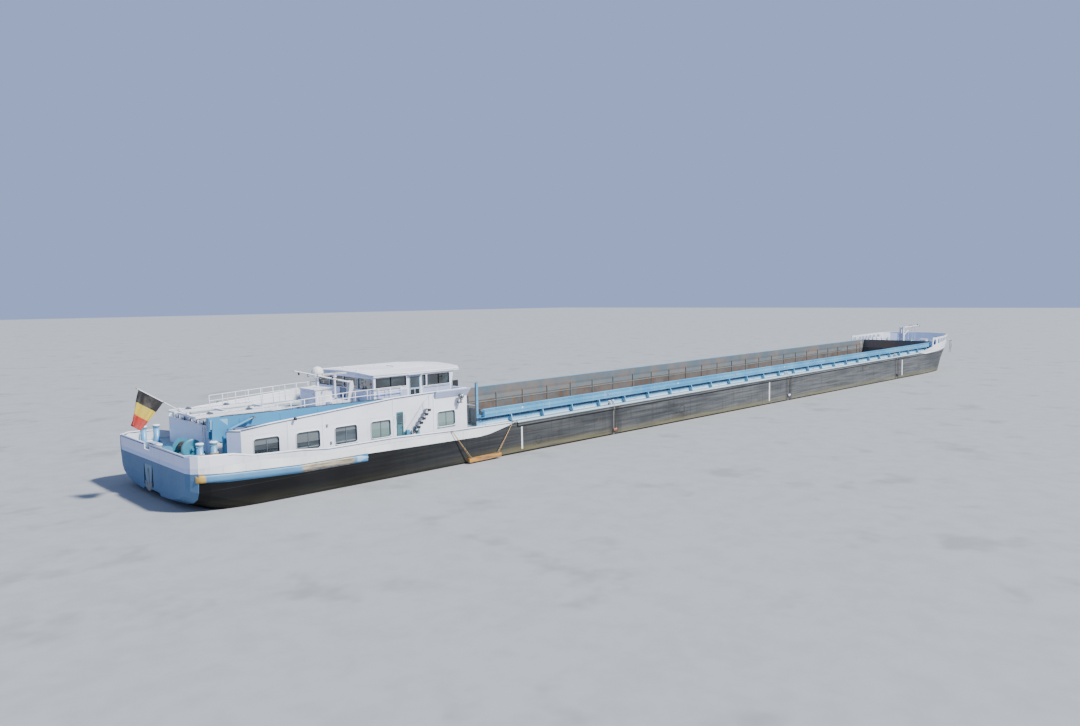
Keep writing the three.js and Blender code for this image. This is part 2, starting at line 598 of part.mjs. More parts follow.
// Lift: a guide fixed in the hull and the column that carries the wheelhouse.
const COLUMN_FOOT = 60;
piece('lift_guide', cut(
  block(at(LIFT_AT - WELL_HALF + 1), at(LIFT_AT + WELL_HALF - 1), -WELL_HALF + 1, WELL_HALF - 1, 41, up(ROOF_TOP - ROOF_THICK - 4)),
  block(at(LIFT_AT - LIFT_HALF - 1), at(LIFT_AT + LIFT_HALF + 1), -LIFT_HALF - 1, LIFT_HALF + 1, 46, up(300)),
), deckGrey);
piece('lift_column', block(at(LIFT_AT - LIFT_HALF), at(LIFT_AT + LIFT_HALF), -LIFT_HALF, LIFT_HALF,
  COLUMN_FOOT, up(CABIN_FLOOR - GAP)), galvanised);

// Low box on the roof behind the wheelhouse. It carries the step of the folding signal mast, the
// radar's pedestal and the post of the satellite dome, and the white locker stands at its aft end.
const MAST_FOOT = [at(1145), -175, up(341)];
const MAST_TIP = [at(772), -175, up(442)];
const DOME = [at(1052), 62, up(361)];
const RADAR = [at(1094), -75, up(386)];
const BOX_TOP = 232;
piece('mast_base', join(
  block(at(1000), at(1180), -200, 150, up(ROOF_TOP + GAP), up(BOX_TOP)),
  extrudeUp(roundedRect(at(925), -130, at(1045), 60, 8), up(ROOF_TOP + GAP), up(308), 2),
  ...[-191, -164].map((y) => extrudeAcross(outline([
    [at(1115), up(BOX_TOP - 4)], [at(1172), up(BOX_TOP - 4)], [at(1155), up(351)], [at(1135), up(351)],
  ]), y, y + 5)),
  bar([DOME[0], DOME[1], up(BOX_TOP - 4)], [DOME[0], DOME[1], DOME[2] - GAP], 7, 8),
  bar([RADAR[0], RADAR[1], up(BOX_TOP - 4)], [RADAR[0], RADAR[1], RADAR[2] - 5], 7, 8),
  turned([[0, -14], [13, -14], [13, -5], [0, -4]], 12).translate(...RADAR),
), white);
piece('signal_mast', join(
  bar(MAST_FOOT, MAST_TIP, 6, 8, 3.5),
  bar([MAST_FOOT[0], -184, MAST_FOOT[2]], [MAST_FOOT[0], -166, MAST_FOOT[2]], 7, 8),
  bar([at(1010), -203, up(377.6)], [at(1010), -147, up(377.6)], 2.5, 6),
), white);

// Satellite dome, and the radar scanner that turns on its pedestal.
piece('satellite_dome', turned([
  [0, 0], [22, 0], [38, 12], [40, 30], [38, 44], [32, 58], [22, 68], [10, 73], [0, 74],
], 14), white, DOME);
piece('radar_scanner', join(
  turned([[0, 0], [8, 0], [8, 4], [0, 5]], 12), extrudeAcross(roundedRect(-85, 2, 85, 12, 4), -5, 5, 2),
), white, RADAR);

// Raised platform on its legs, with the flagstaff that leans aft over the transom.
const STAFF_FOOT = [at(190), -60, up(240)];
const STAFF_TIP = [at(-66), -60, up(412)];
const PLATFORM = { aft: 165, fore: 655, starboard: -235, port: 160, top: 246 };
const platformLegs = [280, 460, 635].flatMap((place) => [PLATFORM.starboard + 8, PLATFORM.port - 8]
  .map((y) => bar([at(place), y, up(ROOF_TOP + GAP)], [at(place), y, up(240)], 6, 8)));
piece('car_platform', join(
  block(at(PLATFORM.aft), at(PLATFORM.fore), PLATFORM.starboard, PLATFORM.starboard + 90, up(236), up(PLATFORM.top)),
  block(at(PLATFORM.aft), at(PLATFORM.fore), PLATFORM.port - 90, PLATFORM.port, up(236), up(PLATFORM.top)),
  ...[190, 400, 630].map((place) => block(at(place - 8), at(place + 8), PLATFORM.starboard + 5, PLATFORM.port - 5, up(230), up(242))),
  ...platformLegs,
  bar(STAFF_FOOT, STAFF_TIP, 3.2, 8, 2.4),
  block(STAFF_FOOT[0] - 6, STAFF_FOOT[0] + 6, -66, -54, STAFF_FOOT[2], STAFF_FOOT[2] + 14),
  turned([[0, 0], [8, 0], [8, 12], [0, 12]], 12).translate(at(146), -60, up(268)),
), white);

// Railings along both sides of the roof deck, from the platform to the wheelhouse doors.
const RAILING_Y = 365;
const RAILING_TOP = [[480, 283], [1040, 306], [1395, 307]];
const railHeight = (place) => {
  const [low, high] = place < RAILING_TOP[1][0] ? RAILING_TOP.slice(0, 2) : RAILING_TOP.slice(1);
  return low[1] + ((high[1] - low[1]) * (place - low[0])) / (high[0] - low[0]);
};
for (const [name, side] of [['roof_railing_starboard', -1], ['roof_railing_port', 1]]) {
  const [from, knee, to] = RAILING_TOP.map(([place]) => place);
  const run = (a, b, drop) => bar([at(a), RAILING_Y, up(railHeight(a) - drop)], [at(b), RAILING_Y,
    up(railHeight(b) - drop)], 2, 4);
  const parts = [0, 34, 68].flatMap((drop) => [run(from, knee + 2, drop), run(knee - 2, to, drop)]);
  for (let i = 0; i <= 8; i += 1) {
    const place = from + ((to - from) * i) / 8;
    parts.push(bar([at(place), RAILING_Y, up(ROOF_TOP + GAP)], [at(place), RAILING_Y, up(railHeight(place))], 2.2, 4));
  }
  parts.push(block(at(from - 3), at(to + 3), RAILING_Y - 4, RAILING_Y + 4, up(ROOF_TOP + GAP), up(ROOF_TOP + 4)));
  piece(name, handed(join(...parts), side), white);
}

// Crane: column in the recess, boom along the roof, an inner boom, and the lifting cylinder.
const CRANE = { x: at(200), z: up(222), y: -390, lift: 60 };
const BOOM_HALF = 17;
piece('crane_column', join(
  turned([[0, 0], [46, 0], [46, 6], [40, 8], [40, 90], [34, 96], [0, 96]], 20)
    .translate(at(286), CRANE.y + 18, up(30 + GAP)),
  ...[-1, 1].map((side) => {
    const plate = outline([[at(175), up(140)], [at(280), up(110)], [at(280), up(192)], [at(222), CRANE.z + 22],
      [at(180), CRANE.z + 22]]);
    const middle = CRANE.y + side * (BOOM_HALF + 5.5);
    return extrudeAcross(plate, middle - 3.5, middle + 3.5);
  }),
  block(at(225), at(300), CRANE.y - BOOM_HALF - 9, CRANE.y + BOOM_HALF + 9, up(118), up(158)),
), boomBlue);
const BOOM_WALL = 5;
const boomSide = outline([
  [at(165), up(187)], [at(330), up(190)], [at(1255), up(190)], [at(1255), up(241)],
  [at(700), up(248)], [at(430), up(251)], [at(165), up(256)],
]);
const JIB_HALF = 10;
piece('crane_boom', join(
  cut(extrudeAcross(boomSide, CRANE.y - BOOM_HALF, CRANE.y + BOOM_HALF),
    block(at(400), at(1265), CRANE.y - BOOM_HALF + BOOM_WALL, CRANE.y + BOOM_HALF - BOOM_WALL, up(196), up(232))),
  bar([CRANE.x, CRANE.y - 18.6, CRANE.z], [CRANE.x, CRANE.y + 18.6, CRANE.z], 12, 12),
  bar([at(400), CRANE.y - 22, up(238)], [at(400), CRANE.y - 10, up(238)], 9, 10),
), boomBlue);
piece('crane_jib', join(
  block(at(420), at(1300), CRANE.y - JIB_HALF, CRANE.y + JIB_HALF, up(199), up(229)),
  extrudeAcross(outline([[at(1260), up(196)], [at(1366), up(203)], [at(1366), up(223)], [at(1260), up(238)]]),
    CRANE.y - JIB_HALF - 4, CRANE.y + JIB_HALF + 4),
), boomBlue);

// Lifting cylinder beside the boom. Its foot turns on the column, and its rod's eye is the pivot
// that is left open.
const CYLINDER_Y = CRANE.y - 35;
const CYLINDER_FOOT = [at(262), CYLINDER_Y, up(186)];
const CYLINDER_EYE = [at(400), CYLINDER_Y, up(238)];
const CYLINDER_LENGTH = Math.hypot(CYLINDER_EYE[0] - CYLINDER_FOOT[0], CYLINDER_EYE[2] - CYLINDER_FOOT[2]);
const onCylinder = (distance) => CYLINDER_FOOT.map(
  (start, i) => start + ((CYLINDER_EYE[i] - start) * distance) / CYLINDER_LENGTH);
const crossPin = ([x, y, z], radius) => bar([x, y - 7, z], [x, y + 7, z], radius, 12);
piece('lift_cylinder', cut(
  join(bar(onCylinder(0), onCylinder(118), 7, 12), crossPin(CYLINDER_FOOT, 8)),
  bar(onCylinder(24), onCylinder(125), 4.6, 12),
), boomBlue);
piece('lift_rod', join(bar(onCylinder(28), onCylinder(CYLINDER_LENGTH), 4, 12), crossPin(CYLINDER_EYE, 7)), galvanised);

// Mooring deck aft: winch with its turning drum, bollards, fairlead, ladder and stern anchor.
const STERN_DECK = up(30 + GAP);
const winchCheek = (x, z, tall) => outline([
  [x - tall * 0.55, z], [x + tall * 0.55, z], [x + tall * 0.3, z + tall], [x - tall * 0.3, z + tall],
]);

function winchFrame(x, y, z, half, tall) {
  const reach = tall * 0.55 + 6;
  return join(
    block(x - reach, x + reach, y - half - 8, y + half + 8, z, z + 6),
    extrudeAcross(winchCheek(x, z, tall), y - half - 6, y - half),
    extrudeAcross(winchCheek(x, z, tall), y + half, y + half + 6),
    block(x + reach - 4, x + reach + 22, y + half - 34, y + half + 6, z, z + tall * 0.6),
  );
}

function winchDrum(half, rim) {
  const core = rim / 2;
  const profile = [[0, -half + 1], [rim, -half + 1], [rim, -half + 5], [core, -half + 6], [core, half - 6],
    [rim, half - 5], [rim, half - 1], [0, half - 1]];
  const drum = turned(profile, 20).rotateX(Math.PI / 2);
  const grip = block(-4, 4, -half + 0.8, -half + 2, core + 1, rim - 3);
  return join(drum, grip);
}

const STERN_WINCH = [at(108), -232, STERN_DECK + 62];

function deckBollards(x, y, z, half, radius, height) {
  const post = (shift) => turned([
    [0, 0], [radius, 0], [radius, height - 12], [radius + 4, height - 8], [radius + 4, height - 2], [0, height],
  ], 12).translate(x + shift, y, z);
  return [block(x - half - radius - 8, x + half + radius + 8, y - radius - 6, y + radius + 6, z, z + 5),
    post(-half), post(half)];
}

// One doubling plate carries the winch's frame, the fairlead and both pairs of bollards.
piece('stern_deck_gear', join(
  block(at(80), at(200), -440, 440, STERN_DECK, STERN_DECK + 4),
  winchFrame(STERN_WINCH[0], STERN_WINCH[1], STERN_DECK, 66, 92),
  ...deckBollards(at(143), -418, STERN_DECK, 36, 16, 100),
  ...deckBollards(at(143), 418, STERN_DECK, 36, 16, 100),
  block(at(18), at(85), 2, 86, STERN_DECK, STERN_DECK + 8),
  block(at(26), at(50), 2, 14, STERN_DECK, STERN_DECK + 62),
  block(at(26), at(50), 74, 86, STERN_DECK, STERN_DECK + 62),
  bar([at(38), 32, STERN_DECK], [at(38), 32, STERN_DECK + 56], 9, 10),
  bar([at(38), 56, STERN_DECK], [at(38), 56, STERN_DECK + 56], 9, 10),
), turquoise);
piece('stern_winch_drum', winchDrum(66, 46), turquoise, STERN_WINCH);

piece('stern_anchor', join(
  bar([0, 0, 0], [0, 0, 100], 6, 8),
  block(-8, 8, -34, 34, -8, 10),
  bar([0, -30, 0], [-7, -44, 84], 8, 8, 3), bar([0, 30, 0], [-7, 44, 84], 8, 8, 3),
), galvanised, [at(13), 44, up(-128)]);
piece('aft_ladder', join(
  ...[-1, 1].map((side) => bar([at(234), -155 + side * 17, up(34)], [at(234), -155 + side * 17, up(178)], 2.5, 6)),
  ...Array.from({ length: 6 }, (unused, i) => bar([at(234), -172, up(50 + i * 22)], [at(234), -138, up(50 + i * 22)], 2, 6)),
), white);

// Flag that hangs from the staff.
piece('flag', extrudeAcross(outline([
  [at(-58), up(401)], [at(66), up(320)], [at(40), up(238)], [at(-20), up(200)], [at(-66), up(208)],
]), -63, -57), flagCloth);

// Foredeck: one doubling plate carries the winch's frame, both pairs of bollards, the mast's step
// and crutch, and the locker.
const FORE_DECK = up(30 + GAP);
const BOW_WINCH = [at(10500), 0, FORE_DECK + 40];
const FOREMAST_PIVOT = [at(10325), 0, up(287)];
const FOREMAST_TIP = [at(10978), 0, up(294)];
piece('foredeck_gear', join(
  block(at(10300), at(10800), -70, 70, FORE_DECK, FORE_DECK + 4),
  block(at(10450), at(10540), -350, 350, FORE_DECK, FORE_DECK + 4),
  block(at(10600), at(10680), -235, 0, FORE_DECK, FORE_DECK + 4),
  winchFrame(BOW_WINCH[0], BOW_WINCH[1], FORE_DECK, 80, 62),
  ...deckBollards(at(10495), -330, FORE_DECK, 34, 15, 62),
  ...deckBollards(at(10495), 330, FORE_DECK, 34, 15, 62),
  block(at(10305), at(10345), -26, -12, FORE_DECK, up(299)),
  block(at(10305), at(10345), 12, 26, FORE_DECK, up(299)),
  block(at(10300), at(10350), -30, 30, FORE_DECK, up(206)),
  bar([at(10340), 0, up(150)], [at(10560), 0, up(238)], 5, 8),
  bar([at(10560), 0, FORE_DECK], [at(10560), 0, up(240)], 4, 8),
  ...[-20, 20].map((y) => bar([at(10760), y, FORE_DECK], [at(10760), y, up(290)], 3.5, 8)),
  bar([at(10760), -22, up(280)], [at(10760), 22, up(280)], 3.5, 8),
  extrudeUp(roundedRect(at(10600), -235, at(10680), -145, 10), FORE_DECK, FORE_DECK + 80, 3),
), white);
piece('foremast', join(
  bar(FOREMAST_PIVOT, FOREMAST_TIP, 9, 10, 5),
  bar([FOREMAST_PIVOT[0], -11, FOREMAST_PIVOT[2]], [FOREMAST_PIVOT[0], 11, FOREMAST_PIVOT[2]], 10, 12),
  bar([at(10840), -60, up(292.5)], [at(10840), 60, up(292.5)], 3.5, 8),
  turned([[0, -8], [8, -8], [8, 8], [0, 8]], 12).translate(at(10840), -56, up(292.5)),
  turned([[0, -8], [8, -8], [8, 8], [0, 8]], 12).translate(at(10840), 56, up(292.5)),
), white);
piece('bow_winch_drum', winchDrum(80, 30), white, BOW_WINCH);
for (const [name, side] of [['bow_anchor_starboard', -1], ['bow_anchor_port', 1]]) {
  const anchor = join(
    bar([0, 0, 0], SHANK, 6, 8),
    bar([-24, 20, -2], [24, -18, 2], 8, 8),
    bar([-20, 17, 0], [-16, 24, -80], 8, 8, 7), bar([-16, 24, -74], [-26, 12, -176], 7, 8, 3),
    bar([20, -15, 0], [26, -8, -80], 8, 8, 7), bar([26, -8, -74], [16, -20, -176], 7, 8, 3),
  );
  piece(name, handed(anchor, side), galvanised,
    [BOW_ANCHOR.x, side * BOW_ANCHOR.y, BOW_ANCHOR.z]);
}

// Propeller, its shaft, the nozzle round it and the two rudders in the tunnel.
function propellerBlade(turn) {
  const blade = new THREE.Shape();
  blade.moveTo(-9, 12);
  blade.quadraticCurveTo(-40, 50, -26, 76);
  blade.quadraticCurveTo(0, 96, 24, 76);
  blade.quadraticCurveTo(34, 46, 9, 12);
  return new THREE.ExtrudeGeometry(blade, { depth: 4, bevelEnabled: false, curveSegments: 3 })
    .translate(0, 0, -2).rotateY(0.55 + Math.PI / 2).rotateX(turn);
}

const BLADE_COUNT = 4;
piece('propeller', join(
  turned([[0, -30], [9, -28], [17, -14], [19, 14], [15, 22], [0, 22]], 20).rotateY(Math.PI / 2),
  ...Array.from({ length: BLADE_COUNT }, (unused, i) => propellerBlade(((i + 0.5) * 2 * Math.PI) / BLADE_COUNT)),
  bar([0, 0, 0], [SHAFT_END - PROPELLER_AT, 0, 0], 9, 12),
), bronze, [at(PROPELLER_AT), 0, SHAFT_HEIGHT]);
piece('nozzle', join(
  turned([[89, -36], [98, -38], [102, 10], [97, 36], [92, 38], [89, -36]], 32).rotateY(Math.PI / 2)
    .translate(at(PROPELLER_AT), 0, SHAFT_HEIGHT),
  block(at(PROPELLER_AT - 24), at(PROPELLER_AT + 24), -18, 18, SHAFT_HEIGHT + 97, 227.5),
), hullBlack);
const RUDDER_AT = 300;
for (const [name, side] of [['rudder_starboard', -1], ['rudder_port', 1]]) {
  const foil = outline([[45, 0], [36, 6], [10, 7.5], [-30, 5], [-84, 1], [-84, -1], [-30, -5], [10, -7.5], [36, -6]]);
  piece(name, join(extrudeUp(foil, 18, 188), bar([0, 0, 180], [0, 0, 226.5], 6, 12)), hullBlack,
    [at(RUDDER_AT), side * 50, 0]);
}

// Searchlight and the folding signal board at the wheelhouse.
piece('searchlight', join(
  turned([[0, -12], [14, -12], [16, 8], [12, 14], [0, 14]], 16).rotateY(Math.PI / 2).translate(0, 0, 16),
  block(-4, 4, -4, 4, -24, 4), block(-10, 10, -4, 26, -28, -22),
), white, [at(1740), -HOUSE_HALF - 28, up(205)]);
piece('signal_board', block(0.5, 45, -2, 2, -26, 26), rubber, [at(1818), -CABIN_HALF + 8, up(279)]);

// Timber fender hung over the side on two taut ropes from the side deck.
const FENDER_Y = -SIDE - 26;
piece('side_fender', join(
  block(at(1738), at(2012), FENDER_Y - 14, FENDER_Y + 8, up(-206), up(-180)),
  bar([at(1760), FENDER_Y - 3, up(-190)], [at(1628), -SIDE - 6, up(9)], 1.4, 6),
  bar([at(1990), FENDER_Y - 3, up(-190)], [at(2156), -SIDE - 6, up(9)], 1.4, 6),
), wood);

barge.updateMatrixWorld(true);
export default barge;
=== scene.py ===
"""River barge, a 1:10 scale model: its looks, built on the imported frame.

Lengths along the vessel are given in millimetres from the transom and heights in
millimetres above the deck edge, as in the part's source. at() and up() turn them to metres.
"""

import json
import logging
import math
from dataclasses import dataclass, field
from enum import Enum
from functools import cached_property
from typing import Iterable, Sequence, Union

import bmesh
import bpy
import numpy as np
from mathutils import Matrix, Vector
from mathutils.bvhtree import BVHTree


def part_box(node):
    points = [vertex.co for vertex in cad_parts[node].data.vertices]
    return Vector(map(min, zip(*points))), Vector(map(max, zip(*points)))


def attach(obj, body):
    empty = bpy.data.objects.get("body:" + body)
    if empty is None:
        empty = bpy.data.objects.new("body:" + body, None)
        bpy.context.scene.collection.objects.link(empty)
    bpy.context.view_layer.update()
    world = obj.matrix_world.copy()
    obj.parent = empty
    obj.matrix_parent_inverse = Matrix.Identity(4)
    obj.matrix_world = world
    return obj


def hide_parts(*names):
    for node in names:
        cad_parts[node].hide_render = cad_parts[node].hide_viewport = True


log = logging.getLogger("river_barge")
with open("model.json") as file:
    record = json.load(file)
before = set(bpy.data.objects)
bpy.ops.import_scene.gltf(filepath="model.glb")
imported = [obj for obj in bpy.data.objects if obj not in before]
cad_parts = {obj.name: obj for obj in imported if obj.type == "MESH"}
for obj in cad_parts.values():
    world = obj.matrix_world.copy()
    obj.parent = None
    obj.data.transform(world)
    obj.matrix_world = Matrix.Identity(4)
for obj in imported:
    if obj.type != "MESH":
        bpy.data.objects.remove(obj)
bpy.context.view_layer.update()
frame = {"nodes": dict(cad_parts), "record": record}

Point = Sequence[float]
DECK_EDGE = 370.0
MIDSHIP = 5500.0
WATERLINE = 0.1183
TRIM = 0.009574
HOUSE_FACE = 500.0


class Side(Enum):
    """The vessel's two sides, by the sign of their y."""

    STARBOARD = -1
    PORT = 1


SIGNS = tuple(side.value for side in Side)
SIDES = tuple((side.value, side.name.lower()) for side in Side)


def at(place: float) -> float:
    """Returns x in metres for a place in mm from the transom."""
    return (place - MIDSHIP) / 1000


def up(height: float) -> float:
    """Returns z in metres for a height in mm above the deck edge."""
    return (DECK_EDGE + height) / 1000


def spot(place: float, across: float, height: float) -> Vector:
    """Returns a point from mm from the transom, mm to port and mm above the deck edge."""
    return Vector((at(place), across / 1000, up(height)))


def around(count: int) -> list[tuple[float, float]]:
    """Returns the cosine and sine of even steps round a circle."""
    return [(math.cos(t), math.sin(t)) for t in (math.tau * k / count for k in range(count))]


def tint(code: int) -> tuple[float, float, float, float]:
    """Turns a plain screen colour into the linear colour that a shader takes.

    Args:
        code: The colour as 0xRRGGBB.

    Returns:
        Linear red, green, blue and an alpha of 1.
    """
    parts = [((code >> shift) & 255) / 255 for shift in (16, 8, 0)]
    linear = [p / 12.92 if p <= 0.04045 else ((p + 0.055) / 1.055) ** 2.4 for p in parts]
    return (linear[0], linear[1], linear[2], 1.0)


class Val:
    """A socket's number, colour or vector. Numbers take part in plain sums."""

    def __init__(self, shader: "Shader", socket: bpy.types.NodeSocket) -> None:
        """Keeps the socket and the shader that it is in."""
        self.shader = shader
        self.socket = socket

    def do(self, operation: str, *others: "Number") -> "Val":
        """Returns the result of a Math node on this value and others."""
        return self.shader.node("Math", {"operation": operation}, [self, *others])

    def __add__(self, other: "Number") -> "Val":
        """Returns the sum."""
        return self.do("ADD", other)

    def __mul__(self, other: "Number") -> "Val":
        """Returns the product."""
        return self.do("MULTIPLY", other)

    def __sub__(self, other: "Number") -> "Val":
        """Returns the difference."""
        return self.do("SUBTRACT", other)

    def __rsub__(self, other: float) -> "Val":
        """Returns the difference from a plain number."""
        return self.shader.node("Math", {"operation": "SUBTRACT"}, [other, self])

    def __gt__(self, other: "Number") -> "Val":
        """Returns 1 where this is above the other, else 0."""
        return self.do("GREATER_THAN", other)

    def __lt__(self, other: "Number") -> "Val":
        """Returns 1 where this is below the other, else 0."""
        return self.do("LESS_THAN", other)

    __radd__ = __add__
    __rmul__ = __mul__

    def size(self) -> "Val":
        """Returns the value without its sign."""
        return self.do("ABSOLUTE")

    def fade(self, start: "Number", end: "Number", low: float = 0.0, high: float = 1.0) -> "Val":
        """Goes smoothly from low at start to high at end.

        Args:
            start: Value where the fade begins.
            end: Value where it ends.
            low: Result at and before the start.
            high: Result at and past the end.

        Returns:
            The faded value.
        """
        kind = {"interpolation_type": "SMOOTHSTEP"}
        return self.shader.node("MapRange", kind, [self, start, end, low, high])

    def table(self, stops: Sequence[Sequence[float]]) -> "Val":
        """Reads a table of places and values, straight between its rows.

        Args:
            stops: Rows of place and value, in rising order of place.

        Returns:
            The value at this place.
        """
        places = [row[0] for row in stops]
        values = [row[1] for row in stops]
        low, high = min(values), max(values)
        reach = (high - low) or 1.0
        along = (self - places[0]) * (1 / (places[-1] - places[0]))
        rows = [((p - places[0]) / (places[-1] - places[0]), (v - low) / reach) for p, v in stops]
        ramp = self.shader.ramp(along, [(p, (v, v, v, 1.0)) for p, v in rows])
        grey = self.shader.node("SeparateColor", {}, [ramp])
        return grey * reach + low


Number = Union[Val, float]


class Shader:
    """The node tree of one material, with a few plain ways to add to it."""

    def __init__(self, name: str) -> None:
        """Makes an empty material.

        Args:
            name: The finish's plain name.
        """
        self.material = bpy.data.materials.new(name)
        self.material.use_nodes = True
        self.tree = self.material.node_tree
        self.base = self.tree.nodes["Principled BSDF"]
        place = self.node("TexCoord", {}, [], "Object")
        self.place = place
        self.x, self.y, self.z = (self.node("SeparateXYZ", {}, [place], i) for i in range(3))

    @cached_property
    def s(self) -> Val:
        """The place in mm from the transom."""
        return self.x * 1000 + MIDSHIP

    @cached_property
    def h(self) -> Val:
        """The height above the deck edge in mm."""
        return self.z * 1000 - DECK_EDGE

    @cached_property
    def beam(self) -> Val:
        """The distance from the centreline in mm."""
        return (self.y * 1000).size()

    def node(self, kind: str, settings: dict, inputs: Union[dict, list], output: Union[int, str] = 0) -> Val:
        """Adds one node.

        Args:
            kind: The node's type after "ShaderNode" or "ShaderNodeTex".
            settings: Its own settings, set before its sockets.
            inputs: Values or links, by socket name or in order. None leaves a socket alone.
            output: Name or number of the socket that is returned.

        Returns:
            The chosen output.
        """
        found = self.tree.nodes.new(f"ShaderNode{kind}")
        for key, value in settings.items():
            setattr(found, key, value)
        pairs = inputs.items() if isinstance(inputs, dict) else enumerate(inputs)
        for key, value in pairs:
            if value is not None:
                self.feed(found.inputs[key], value)
        return Val(self, found.outputs[output])

    def feed(self, socket: bpy.types.NodeSocket, value: Union[Number, Sequence[float]]) -> None:
        """Links a value to a socket, or sets the socket to a plain number.

        Args:
            socket: The input.
            value: A Val to link, or a number, colour or vector to set.
        """
        if isinstance(value, Val):
            self.tree.links.new(value.socket, socket)
        else:
            socket.default_value = value

    def ramp(self, value: Val, stops: Sequence[tuple]) -> Val:
        """Adds a colour ramp.

        Args:
            value: Where on the ramp.
            stops: Rows of position and colour.

        Returns:
            The ramp's colour.
        """
        result = self.node("ValToRGB", {}, [value])
        marks = result.socket.node.color_ramp.elements
        while len(marks) < len(stops):
            marks.new(1.0)
        for mark, (position, colour) in zip(marks, stops):
            mark.position = position
            mark.color = colour
        return result

    def mix(self, share: Number, first: Union[Val, tuple], second: Union[Val, tuple],
            way: str = "MIX") -> Val:
        """Mixes two colours.

        Args:
            share: How much of the second, 0 to 1.
            first: The colour below.
            second: The colour above.
            way: The blend type.

        Returns:
            The mixed colour.
        """
        inputs = {0: share, 6: first, 7: second}
        return self.node("Mix", {"data_type": "RGBA", "blend_type": way}, inputs, 2)

    def spread(self, x: float = 1.0, y: float = 1.0, z: float = 1.0, shift: float = 0.0) -> Val:
        """Returns the place on the piece, stretched along each axis and shifted."""
        return self.node("Mapping", {},
                         {"Vector": self.place, "Scale": (x, y, z), "Location": (shift, shift, shift)})

    def facing(self, axis: int, start: float, end: float) -> Val:
        """Tells how far the face points along an axis.

        Args:
            axis: 0, 1 or 2 for x, y or z.
            start: Part of the normal where the result is 0.
            end: Part of the normal where the result is 1.

        Returns:
            A value from 0 to 1.
        """
        normal = self.node("NewGeometry", {}, [], "Normal")
        return self.node("SeparateXYZ", {}, [normal], axis).fade(start, end)

    def noise(self, scale: float, detail: float = 3.0, rough: float = 0.55, where: Union[Val, None] = None,
              bend: float = 0.0) -> Val:
        """Adds a noise texture.

        Args:
            scale: How many bumps there are in a metre.
            detail: Number of finer layers.
            rough: How strong the finer layers are.
            where: The place to read, by default the place on the piece.
            bend: How much the pattern is pulled about.

        Returns:
            A value about 0.5.
        """
        place = where or self.place
        inputs = {"Vector": place, "Scale": scale, "Detail": detail, "Roughness": rough, "Distortion": bend}
        return self.node("TexNoise", {}, inputs)

    def cells(self, scale: float, where: Union[Val, None] = None) -> Val:
        """Returns the distance to the nearest of scattered points, 0 at the points."""
        return self.node("TexVoronoi", {}, {"Vector": where or self.place, "Scale": scale})

    def bump(self, height: Val, depth: float, under: Union[Val, None] = None) -> Val:
        """Adds a Bump node.

        Args:
            height: The relief, about 0 to 1.
            depth: What 1 stands for, in metres.
            under: Another Bump node's normal to lie on.

        Returns:
            The normal.
        """
        return self.node("Bump", {}, {"Strength": 1.0, "Distance": depth, "Height": height, "Normal": under})

    def finish(self, colour: Union[Val, tuple], rough: Number, normal: Union[Val, None] = None,
               **others: object) -> None:
        """Feeds the surface.

        Args:
            colour: Base colour.
            rough: Roughness.
            normal: The normal, if it has relief.
            **others: Further sockets, with underlines for spaces.
        """
        sockets = {"Base Color": colour, "Roughness": rough, "Normal": normal}
        sockets.update({key.replace("_", " "): value for key, value in others.items()})
        for key, value in sockets.items():
            if value is not None:
                self.feed(self.base.inputs[key], value)


WHITE = 0xE9ECF3
# Painted shade: the lilac that white paint takes in shade, used as a colour of its own.
PAINTED_SHADE_LILAC = 0xB4BEDC
CYAN = 0x5EA3C8
SKY = 0x458DB8
TEAL = 0x3F8BA5


@dataclass(frozen=True)
class Finish:
    """What a surface is made of. Each kind of finish draws its own nodes."""

    name: str

    def draw(self, shader: Shader) -> None:
        """Adds this finish's nodes to the shader."""
        raise NotImplementedError

    def material(self) -> bpy.types.Material:
        """Returns this finish's material, made the first time it is asked for."""
        if self not in MADE:
            shader = Shader(self.name)
            self.draw(shader)
            MADE[self] = shader.material
        return MADE[self]


MADE: dict[Finish, bpy.types.Material] = {}


@dataclass(frozen=True)
class Paint(Finish):
    """Brushed ship's paint on steel, with runs, grime, a few rust spots and slight hollows; white paint turns
    pale blue on aft-facing faces as painted shade.
    """

    colour: int = WHITE
    grime: int = 0x8A8272
    rust: float = 0.3
    dirt: float = 0.35
    rough: float = 0.38
    hollows: float = 0.0012
    grain: float = 0.00012

    def draw(self, shader: Shader) -> None:
        """Adds this paint's nodes to the shader."""
        broad = shader.noise(3.1, 4.0, 0.6)
        runs = shader.noise(42.0, 3.0, 0.6, shader.spread(1.0, 1.0, 0.09))
        fine = shader.noise(260.0, 2.0)
        base = shader.mix(broad.fade(0.3, 0.75), tint(self.colour), tint(shaded(self.colour, 0.9)))
        # Painted shade: white is tinted pale blue on faces that point aft.
        if self.colour == WHITE:
            base = shader.mix(shader.facing(0, -0.4, -0.9), base, tint(0xC3CFEE))
        stained = (runs.fade(0.52, 0.78) * broad.fade(0.35, 0.65) * self.dirt)
        dirty = shader.mix(stained, base, tint(self.grime))
        chips = shader.noise(55.0, 5.0, 0.7).fade(0.69, 0.74) * self.rust
        worn = shader.mix(chips, dirty, tint(0x6E4A33))
        rough = broad * 0.16 + fine * 0.08 + (self.rough - 0.1) + chips * 0.3
        hollow = shader.bump(shader.noise(9.0, 1.0, 0.4), self.hollows)
        normal = shader.bump(fine + runs * 0.6, self.grain, hollow)
        shader.finish(worn, rough, normal, Coat_Weight=0.12, Coat_Roughness=0.25)


def shaded(code: int, share: float) -> int:
    """Returns a screen colour with its three parts made darker by a share."""
    parts = [int(((code >> shift) & 255) * share) for shift in (16, 8, 0)]
    return parts[0] << 16 | parts[1] << 8 | parts[2]


